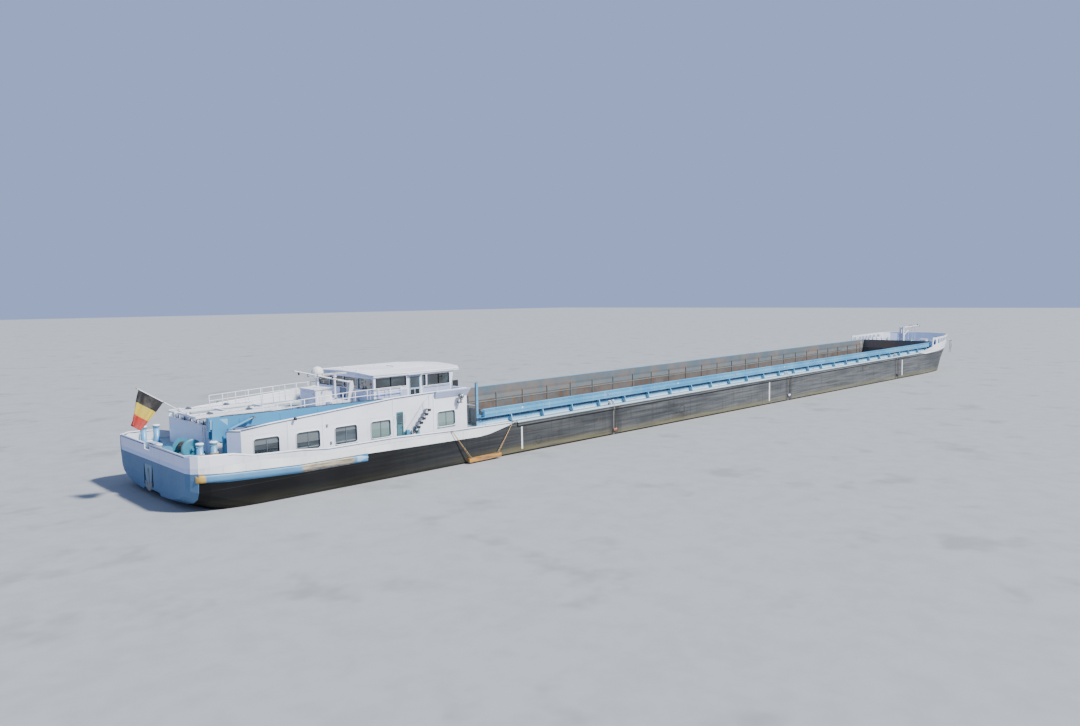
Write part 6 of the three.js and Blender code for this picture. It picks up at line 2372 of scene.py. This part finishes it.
@dataclass
class SideDecks:
    """The gangways beside the hold: bollard heads with rope turns, hung bundles and the fender board."""

    bollards: tuple = (3210, 5940, 8700)
    # Place, height and finish of each bundle.
    bundles: tuple = ((3222, -178, SALMON), (5962, -190, WHITE_PAINT), (8724, -215, BLACK_PAINT))

    def make(self) -> None:
        """Builds the side decks' dressing."""
        for side, name in SIDES:
            self.bollard_heads(side, name)
            self.rub_rail(side, name)
        self.hung_bundles()
        self.fender()

    def bollard_heads(self, side: int, name: str) -> None:
        """Adds white heads and turns of rope to the twin bollards of one side.

        Args:
            side: -1 for starboard, 1 for port.
            name: The side's plain word.
        """
        piece = Piece(f"side_bollard_heads_{name}", WHITE_PAINT)
        for s in self.bollards:
            for shift in (-21, 21):
                piece.turned(spot(s + shift, 547.5 * side, 2), (0, 0, 1),
                             [(0, 0.0084), (0.026, 0.0084), (0.0285, 0.0105), (0.0352, 0.0107),
                              (0.0366, 0.0085), (0.037, 0.001)], 16)
            piece.blocks([(s - 38, s + 38, 533, 560, 2, 6.2)], side)
        piece.use(ROPE)
        for s in self.bollards[::2]:
            for turn in range(3):
                path = [spot(s - 21 + 10.4 * u, (547.5 + 10.4 * v) * side, 9 + turn * 4.4)
                        for u, v in around(16)]
                piece.pipe(path, 0.0022, 6, True)
        piece.done("vessel")

    def rub_rail(self, side: int, name: str) -> None:
        """Runs the thin bead along the gunwale's outer edge.

        Args:
            side: -1 for starboard, 1 for port.
            name: The side's plain word.
        """
        piece = Piece(f"gunwale_lip_{name}", CYAN_PAINT)
        piece.pipe([spot(2204, 566.2 * side, 7.2), spot(9436, 566.2 * side, 7.2)], 0.0016, 6)
        piece.done("vessel")

    def hung_bundles(self) -> None:
        """Hangs the small bundles of fenders beside some of the bollards."""
        piece = Piece("hung_fender_bundles", SALMON)
        for s, h, finish in self.bundles:
            piece.use(ROPE).pipe([spot(s - 14, -556, 12), spot(s - 4, -574.5, 8), spot(s, -574.5, -34),
                                  spot(s, -569, -44), spot(s, -569, h)], 0.0013, 6)
            piece.use(finish)
            for shift, tall in ((-11, 21), (0, 25), (11, 19)):
                piece.turned(spot(s + shift * 1.2, -573, h - tall), (0.35, 0, 1),
                             [(0, 0.003), (0.004, 0.0068), (tall / 1000 - 0.004, 0.0068),
                              (tall / 1000, 0.003)], 10)
        piece.done("vessel")

    def fender(self) -> None:
        """Dresses the hung timber with straps and eye bolts, and runs its two taut ropes."""
        board = Piece("fender_board_dress", Timber("fender timber"))
        board.use(GALVANISED)
        for s in (1760, 1990):
            board.block(s - 4, s + 4, -605.3, -583, -207, -204.8)
            board.block(s - 4, s + 4, -605.3, -583, -180.5, -178.5)
            ring = [spot(s + 4.5 * u, -594, -175 + 4.5 * v) for u, v in around(12)]
            board.pipe(ring, 0.0011, 6, True)
        board.done("vessel", 0.0006)
        ropes = Piece("fender_ropes", ROPE)
        for s, end in ((1760, 1628), (1990, 2156)):
            start, stop = spot(s, -594, -175), spot(end, -571.5, 9)
            path = [start.lerp(stop, k / 24) for k in range(25)]
            rope_form(ropes, path, 0.0021)
            knot = [stop + Vector((0.004 * math.cos(t), 0.002 * math.sin(t), 0.0035 * math.sin(t * 0.7)))
                    for t in (k * 0.6 for k in range(22))]
            rope_form(ropes, knot, 0.0017)
        ropes.done("vessel")


@dataclass
class Bow:
    """The bow: bulwark rail and stays, stem fender, anchors' rings and chain, windlass, mast lamps."""

    # Place, half beam and height of the bulwark's top.
    top: tuple = ((9929, 566, 172), (10070, 563, 168), (10250, 557, 172), (10280, 556, 173),
                  (10430, 543, 174), (10640, 513, 182), (10790, 462, 185), (10890, 392, 187),
                  (10950, 300, 188), (10990, 168, 189))
    anchor: Point = (10882.0, 474.0, 92.0)
    winch: Point = (10500.0, 0.0, 70.3)

    def make(self) -> None:
        """Builds the bow's dressing."""
        self.rail()
        self.stays()
        self.stem()
        self.anchors()
        self.windlass()
        self.chains()
        self.mast()
        self.deck_goods()

    def rail(self) -> None:
        """Runs a round rail along the bulwark's top and a knuckle line along its foot."""
        piece = Piece("bow_bulwark_rail", WHITE_PAINT)
        ring = [spot(s - 4.6, y - 3, h) for s, y, h in self.top]
        ring += [spot(s - 4.6, 3 - y, h) for s, y, h in reversed(self.top)]
        piece.pipe(ring, 0.0046, 8)
        piece.done("vessel")

    def stays(self) -> None:
        """Stands triangular stays inside the bulwark, between its openings."""
        piece = Piece("bow_bulwark_stays", WHITE_PAINT)
        for s in (9950, 10110, 10230, 10330, 10430, 10530, 10630, 10730, 10810):
            before = [r for r in self.top if r[0] <= s][-1]
            after = [r for r in self.top if r[0] > s][0]
            share = (s - before[0]) / (after[0] - before[0])
            y = before[1] + (after[1] - before[1]) * share - 13
            foot = 31 if s > 10240 else 1.5
            for side in SIGNS:
                corners = [spot(s, y * side, foot), spot(s, (y - 42) * side, foot), spot(s, y * side, 160)]
                piece.plate(corners if side < 0 else corners[::-1], 0.004)
        piece.done("vessel")

    def stem(self) -> None:
        """Fits the dark rubber fenders that meet in a point on the stem."""
        piece = Piece("stem_fender", RUBBER)
        skins = []
        for name in ("hull", "bow_bulwark"):
            data = frame["nodes"][name].data
            skins.append(BVHTree.FromPolygons([v.co for v in data.vertices],
                                              [list(p.vertices) for p in data.polygons]))
        for radius, rows in ((0.011,
                              ((388, -8), (345, -14), (300, -22), (240, -34), (180, -48), (120, -66),
                               (60, -84), (0, -92))), (0.0085,
                                                       ((380, 24), (345, 22), (300, 20), (240, 17), (180, 14),
                                                        (120, 10), (60, 6), (0, 4))),):
            path = []
            for y, h in [(-y, h) for y, h in rows] + [row for row in reversed(rows)][1:]:
                start = spot(11500, y, h)
                hits = [skin.ray_cast(start, Vector((-1, 0, 0)))[0] for skin in skins]
                front = max(hit.x for hit in hits if hit)
                path.append(Vector((min(front + radius * 0.4, at(10990) - radius), start.y, start.z)))
            piece.pipe(path, radius, 10)
        piece.done("vessel")

    def anchors(self) -> None:
        """Rings each hawse hole and adds the anchor's shackle, crown pin and fluke tips."""
        piece = Piece("hawse_rings", WHITE_PAINT)
        s, y, h = self.anchor
        for side in SIGNS:
            middle = spot(s - 20, (y - 26) * side, h + 5.5)
            way = Vector((0.6, 0.78 * side, -0.16)).normalized()
            piece.turned(middle, way,
                         [(0.0, 0.0105), (0.0, 0.0165), (0.006, 0.0172), (0.009, 0.0145), (0.007, 0.0105)],
                         18)
            crown = spot(s, y * side, h)
            for t in (-1, 1):
                end = crown + Vector((0.024 * t, -0.019 * t * side, 0))
                piece.use(GALVANISED).ball(end, 0.0092, 1.0, 12)
            piece.use(WHITE_PAINT)
        piece.done("vessel")

    def windlass(self) -> None:
        """Adds the windlass's shaft, gypsies, warping heads, brake stands, motor and wire."""
        s, _, h = self.winch
        piece = Piece("windlass_machinery", TEAL_PAINT)
        piece.rod(spot(s, -128, h), spot(s, 128, h), 0.006, 14)
        for side in SIGNS:
            piece.turned(spot(s, 90 * side, h), (0, side, 0),
                         [(0, 0.012), (0.0, 0.03), (0.006, 0.032), (0.012, 0.022), (0.018, 0.032),
                          (0.024, 0.03), (0.024, 0.012)], 20)
            piece.turned(spot(s, 118 * side, h), (0, side, 0),
                         [(0, 0.01), (0.004, 0.021), (0.012, 0.014), (0.022, 0.014), (0.03, 0.023),
                          (0.032, 0.02)], 18)
            piece.blocks([(s - 62, s - 46, 40, 72, 36, 78)], side)
            piece.rod(spot(s - 54, 56 * side, 77), spot(s - 54, 56 * side, 104), 0.0024, 8)
        piece.turned(spot(s + 46, -20, 60), (0, 1, 0),
                     [(0, 0.012), (0.003, 0.018), (0.05, 0.018), (0.053, 0.012)], 18)
        piece.use(BLACK_PAINT)
        for side in SIGNS:
            piece.hand_wheel(s - 54, 56 * side, 104, 13, 0.0018, 0.0013)
        piece.done("vessel", 0.0006)
        wire = Piece("windlass_wire", WIRE)
        path = []
        for k in range(14 * 18 + 1):
            t = k / 18
            path.append(spot(s + 18.4 * math.cos(math.tau * t), -68 + 136 * t / 14,
                             h + 18.4 * math.sin(math.tau * t)))
        wire.pipe(path, 0.0045, 6)
        wire.done("bow_winch_drum")

    def chains(self) -> None:
        """Lays each anchor's chain from the windlass to its hawse hole, link by link."""
        s, y, h = self.anchor
        for side, name in SIDES:
            piece = Piece(f"anchor_chain_{name}", BareSteel("anchor chain", 0x5E5C58, 0.7, 0.6))
            path = [spot(10522, 102 * side, 96), spot(10560, 160 * side, 60), spot(10660, 270 * side, 44),
                    spot(10770, 375 * side, 62), spot(s - 40, (y - 46) * side, h + 8)]
            points = self.even(path, 0.0105)
            for i, (a, b) in enumerate(zip(points, points[1:])):
                way = (b - a).normalized()
                level = way.cross(Vector((0, 0, 1)))
                across = (level if i % 2 else way.cross(level)).normalized()
                middle = (a + b) / 2
                ring = [middle + way * (0.0078 * u) + across * (0.0042 * v) for u, v in around(10)]
                piece.pipe(ring, 0.0015, 5, True)
            piece.done("vessel")

    def even(self, path: Sequence[Vector], pitch: float) -> list[Vector]:
        """Returns points at an even pitch along a bent path.

        Args:
            path: The path's corners.
            pitch: Distance between points.

        Returns:
            The points.
        """
        points, rest = [path[0]], 0.0
        for a, b in zip(path, path[1:]):
            length = (b - a).length
            reach = pitch - rest
            while reach <= length:
                points.append(a.lerp(b, reach / length))
                reach += pitch
            rest = length - (reach - pitch)
        return points

    def mast(self) -> None:
        """Adds lanterns, caps and a ring to the lowered foremast, and pins to its bracket."""
        piece = Piece("foremast_lamps", BLACK_PAINT)
        for s, lamp in ((10620, CLEAR_LAMP), (10920, CLEAR_LAMP)):
            h = 287 + 7 * (s - 10325) / 653
            piece.use(BLACK_PAINT).turned(spot(s, 0, h + 7), (0, 0, 1),
                                          [(0, 0.0045), (0.002, 0.0078), (0.004, 0.0078)], 14)
            piece.use(lamp).turned(spot(s, 0, h + 11), (0, 0, 1), [(0, 0.0066), (0.009, 0.0066)], 14)
            piece.use(BLACK_PAINT).turned(spot(s, 0, h + 20), (0, 0, 1),
                                          [(0, 0.0078), (0.003, 0.0074), (0.005, 0.002)], 14)
        for y in (-56, 56):
            piece.use(GREEN_LAMP if y < 0 else RED_LAMP).turned(spot(10840, y, 300.4), (0, 0, 1),
                                                                [(0, 0.0064), (0.008, 0.0064),
                                                                 (0.0095, 0.002)], 14)
            piece.use(BLACK_PAINT).turned(spot(10840, y, 284.6), (0, 0, -1),
                                          [(0, 0.0082), (0.0022, 0.0082), (0.0032, 0.005)], 14)
        piece.use(GALVANISED)
        for t in (0.12, 0.35, 0.62, 0.88):
            radius = 0.009 - 0.004 * t
            piece.turned(spot(10325 + 653 * t, 0, 287 + 7 * t), (653, 0, 7),
                         [(-0.004, radius), (-0.004, radius + 0.0016), (0.004, radius + 0.0016),
                          (0.004, radius)], 14)
        piece.pipe([spot(10962, 0, 287), spot(10966, 0, 281), spot(10972, 0, 284), spot(10970, 0, 289)],
                   0.0013, 6)
        piece.done("foremast")
        still = Piece("foremast_step_dress", GALVANISED)
        for side in SIGNS:
            still.turned(spot(10325, 26.2 * side, 287), (0, side, 0),
                         [(0, 0.0075), (0.0016, 0.0075), (0.0018, 0.0052), (0.004, 0.0052)], 12)
        still.use(WHITE_PAINT)
        for h in (60, 100, 140, 180):
            still.block(10298.4, 10351.6, -31.6, 31.6, h, h + 3)
        for side in SIGNS:
            still.plate([spot(10345, 27 * side, 34), spot(10345 + 48, 27 * side, 34),
                         spot(10345, 27 * side, 120)], 0.003)
        still.done("vessel", 0.0005)

    def deck_goods(self) -> None:
        """Adds bollard heads, the locker's door, a hatch, vents and rope turns on the bollards."""
        piece = Piece("foredeck_goods", WHITE_PAINT)
        for side in SIGNS:
            for shift in (-34, 34):
                piece.turned(spot(10495 + shift, 330 * side, 84), (0, 0, 1),
                             [(0, 0.0156), (0, 0.0202), (0.0085, 0.0202), (0.0105, 0.016), (0.0112, 0.003)],
                             20)
            piece.turned(spot(10380, 300 * side, 30.5), (0, 0, 1),
                         [(0, 0.012), (0.003, 0.012), (0.004, 0.008), (0.04, 0.008), (0.042, 0.016),
                          (0.048, 0.016), (0.055, 0.008)], 18)
        piece.block(10596, 10684, -239, -141, 110, 114)
        for y in (-188, -152):
            piece.use(GALVANISED).rod(spot(10597.5, y, 66), spot(10597.5, y, 82), 0.0012, 6)
        # The locker's door and the hatch's sides are coloured lilac as painted shade.
        piece.use(PAINTED_SHADE_WHITE).block(10598.2, 10599.8, -230, -150, 38, 104)
        piece.block(10390, 10450, 120, 190, 30.4, 42)
        piece.use(WHITE_PAINT).block(10387, 10453, 117, 193, 42, 46)
        piece.use(GALVANISED).pipe([spot(10410, 125, 46), spot(10410, 125, 53), spot(10430, 125, 53),
                                    spot(10430, 125, 46)], 0.0013, 6)
        piece.done("vessel", 0.0006)
        coil = Piece("bow_bollard_turns", ROPE)
        for side in SIGNS:
            path = [spot(10461 + 19 * math.cos(math.tau * k / 14),
                         330 * side + 19 * math.sin(math.tau * k / 14), 44 + k * 0.48) for k in range(43)]
            rope_form(coil, path, 0.0031)
        coil.done("vessel")


@dataclass
class Underwater:
    """What is seen under water: hub cap, nozzle rings, stern tube, rudder plates and thruster grilles."""

    def make(self) -> None:
        """Builds the underwater dressing."""
        low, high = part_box("propeller")
        turning = Piece("propeller_cap", BareSteel("cast bronze", 0xA97A43, 0.1, 0.9))
        x, z = low.x, ((low + high) / 2).z
        turning.turned((x + 0.0035, 0, z), (-1, 0, 0),
                       [(-0.006, 0.011), (0.0, 0.0105), (0.0034, 0.006), (0.0035, 0.001)], 18)
        turning.done("propeller")
        piece = Piece("nozzle_struts", HULL_FINISH)
        low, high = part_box("nozzle")
        for h in (-0.006, 0.028):
            piece.turned((low.x + 0.02 + h, 0, z), (1, 0, 0),
                         [(0, 0.0985), (0, 0.1022), (0.002, 0.1022), (0.002, 0.0985)], 36)
        piece.done("vessel")
        tube = Piece("stern_tube", HULL_FINISH)
        tube.turned((at(838), 0, z), (1, 0, 0),
                    [(0, 0.0102), (0, 0.0145), (0.004, 0.0165), (0.052, 0.0165), (0.052, 0.0102)], 24)
        tube.done("vessel")
        for _, name in SIDES:
            low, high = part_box(f"rudder_{name}")
            leaf = Piece(f"rudder_dress_{name}", HULL_FINISH)
            y = (low.y + high.y) / 2
            for z0 in (0.018, 0.185):
                leaf.prism([(low.x + 0.002, y - 0.004), (high.x - 0.02, y - 0.0095), (high.x - 0.004, y),
                            (high.x - 0.02, y + 0.0095), (low.x + 0.002, y + 0.004)], z0, z0 + 0.003, "z")
            leaf.done(f"rudder_{name}", 0.0005)
        self.grilles()

    def grilles(self) -> None:
        """Lays the bow thruster's inlet bars on the skin, low on both bows."""
        piece = Piece("thruster_grilles", GALVANISED)
        hull = frame["nodes"]["hull"]
        skin = BVHTree.FromPolygons([v.co for v in hull.data.vertices],
                                    [list(p.vertices) for p in hull.data.polygons])
        for side in SIGNS:
            for k in range(8):
                path = []
                for height in (0.075, 0.093, 0.111):
                    hit = skin.ray_cast(Vector((at(10380 + k * 11), 0.8 * side, height)),
                                        Vector((0, -side, 0)))[0]
                    path.append(hit - Vector((0, 0.0004 * side, 0)))
                piece.pipe(path, 0.0014, 6)
        piece.done("vessel")


@dataclass
class Stage:
    """The floor at the waterline, the soft light and the camera at the photographed angle."""

    reach: float = 60.0
    eye: tuple[float, float, float] = (-6.968, -4.535, 1.2444)
    yaw: float = 45.55
    pitch: float = -5.01
    roll: float = -1.006
    lens: float = 26.515
    sky: tuple = (0.45, 0.59, 1.0, 1.0)
    sky_strength: float = 0.78
    # Place and half width of the floor's opening inside the hull.
    inner: tuple = ((1930, 400), (1931, 520), (9700, 520), (10000, 505), (10200, 480), (10201, 400))

    def make(self) -> None:
        """Sets the floor, lights and camera."""
        self.floor()
        self.lights()
        self.camera()

    def floor(self) -> None:
        """Lays the pale floor, open inside the hull."""
        inner = [(at(s), -y / 1000) for s, y in self.inner] + [(at(s), y / 1000) for s,
                                                               y in reversed(self.inner)]
        outer = [(math.copysign(1, x) * self.reach, math.copysign(1, y) * self.reach) for x, y in inner]
        mesh = bmesh.new()
        rows = [[mesh.verts.new((x, y, WATERLINE - x * TRIM)) for x, y in ring] for ring in (inner, outer)]
        for i in range(len(inner)):
            j = (i + 1) % len(inner)
            if (rows[1][i].co - rows[1][j].co).length < 1e-6:
                mesh.faces.new((rows[0][i], rows[0][j], rows[1][i]))
            else:
                mesh.faces.new((rows[0][i], rows[0][j], rows[1][j], rows[1][i]))
        bmesh.ops.recalc_face_normals(mesh, faces=mesh.faces)
        data = bpy.data.meshes.new("floor")
        mesh.to_mesh(data)
        mesh.free()
        made = bpy.data.objects.new("floor", data)
        bpy.context.scene.collection.objects.link(made)
        data.materials.append(Plain("pale floor", 0x8F9396, 0.8, 3.0, 0.0001, 0.97).material())

    def lights(self) -> None:
        """Adds a wide soft lamp from starboard forward, a weaker one from aft and a pale sky."""
        for name, way, power, width, colour in (
            ("key lamp", (0.32, -0.56, 0.76), 9.0, 5.0, (1.0, 0.965, 0.91)),
            ("fill lamp", (-0.75, -0.25, 0.6), 0.1, 40.0, (0.6, 0.72, 1.0)),
        ):
            data = bpy.data.lights.new(name, "SUN")
            data.energy, data.angle, data.color = power, math.radians(width), colour
            lamp = bpy.data.objects.new(name, data)
            lamp.rotation_euler = Vector(way).to_track_quat("Z", "Y").to_euler()
            lamp.location = Vector(way) * 10
            bpy.context.scene.collection.objects.link(lamp)
        world = bpy.data.worlds.new("studio")
        world.use_nodes = True
        world.node_tree.nodes["Background"].inputs["Color"].default_value = self.sky
        world.node_tree.nodes["Background"].inputs["Strength"].default_value = self.sky_strength
        bpy.context.scene.world = world

    def camera(self) -> None:
        """Stands the camera where the photographer stood."""
        yaw, pitch, roll = (math.radians(a) for a in (self.yaw, self.pitch, self.roll))
        ahead = Vector((math.cos(yaw) * math.cos(pitch), math.sin(yaw) * math.cos(pitch), math.sin(pitch)))
        level = Vector((math.sin(yaw), -math.cos(yaw), 0))
        upright = level.cross(ahead)
        right = level * math.cos(roll) + upright * math.sin(roll)
        top = upright * math.cos(roll) - level * math.sin(roll)
        data = bpy.data.cameras.new("camera")
        data.lens, data.sensor_width, data.clip_end = self.lens, 36.0, 200.0
        camera = bpy.data.objects.new("camera", data)
        camera.matrix_world = Matrix((
            (right.x, top.x, -ahead.x, self.eye[0]),
            (right.y, top.y, -ahead.y, self.eye[1]),
            (right.z, top.z, -ahead.z, self.eye[2]),
            (0, 0, 0, 1),
        ))
        bpy.context.scene.collection.objects.link(camera)
        bpy.context.scene.camera = camera


BARE = {
    "hull_black": HULL_FINISH,
    "white_paint": WHITE_PAINT,
    "coaming_blue": CoamingPaint("coaming blue"),
    "boom_blue": BLUE_PAINT,
    "turquoise_paint": TEAL_PAINT,
    "deck_grey": Paint("grey deck paint", 0x8E9CA3, 0x6B5F50, 0.5, 0.5, 0.6),
    "galvanised_steel": GALVANISED,
    "black_paint": BLACK_PAINT,
    "fender_timber": Timber("fender timber"),
    "dark_glass": GLASS,
    "window_lining": LinedPane("lined window"),
    "bronze": BareSteel("cast bronze", 0xA97A43, 0.1, 0.9),
    "engine_green": Paint("engine paint", 0x4C6B57, 0x2C2A26, 0.1, 0.6, 0.5),
    "flag_cloth": Plain("flag cloth", 0x202024, 0.85),
    "upholstery": Plain("dark upholstery", 0x2B2D31, 0.7, 400.0),
    "dome_plastic": Plain("moulded dome", 0xE4E4E0, 0.35, 300.0, 0.0001, 0.96),
}


def dress_frame() -> None:
    """Gives every CAD node the finish of its material slot."""
    slots = {part["node"]: part["material_slot"] for part in frame["record"]["subparts"]}
    own = {f"side_stair_{side}": StairPaint("side stair paint") for side in ("starboard", "port")}
    own.update({f"house_door_{side}": DOOR_PAINT for side in ("starboard", "port")})
    own.update({f"bow_anchor_{side}": ANCHOR_PAINT for side in ("starboard", "port")})
    own["stern_anchor"] = Plain("anchor grey", 0x8A9094, 0.6, 70.0, 0.0006)
    for name, node in frame["nodes"].items():
        finish = own.get(name) or BARE[slots[name]]
        node.data.materials.clear()
        node.data.materials.append(finish.material())


def main() -> None:
    """Makes the stage and every sub-assembly, in order."""
    logging.basicConfig(level=logging.INFO, format="%(name)s %(message)s")
    Stage().make()
    dress_frame()
    for assembly in (SternBulwark(), SternDeck(), Flag(), Deckhouse(), Crane(), RoofDeck(), Wheelhouse(),
                     Coamings(), SideDecks(), Bow(), Underwater()):
        log.info("building %s", type(assembly).__name__)
        assembly.make()


if __name__ == "__main__":
    main()
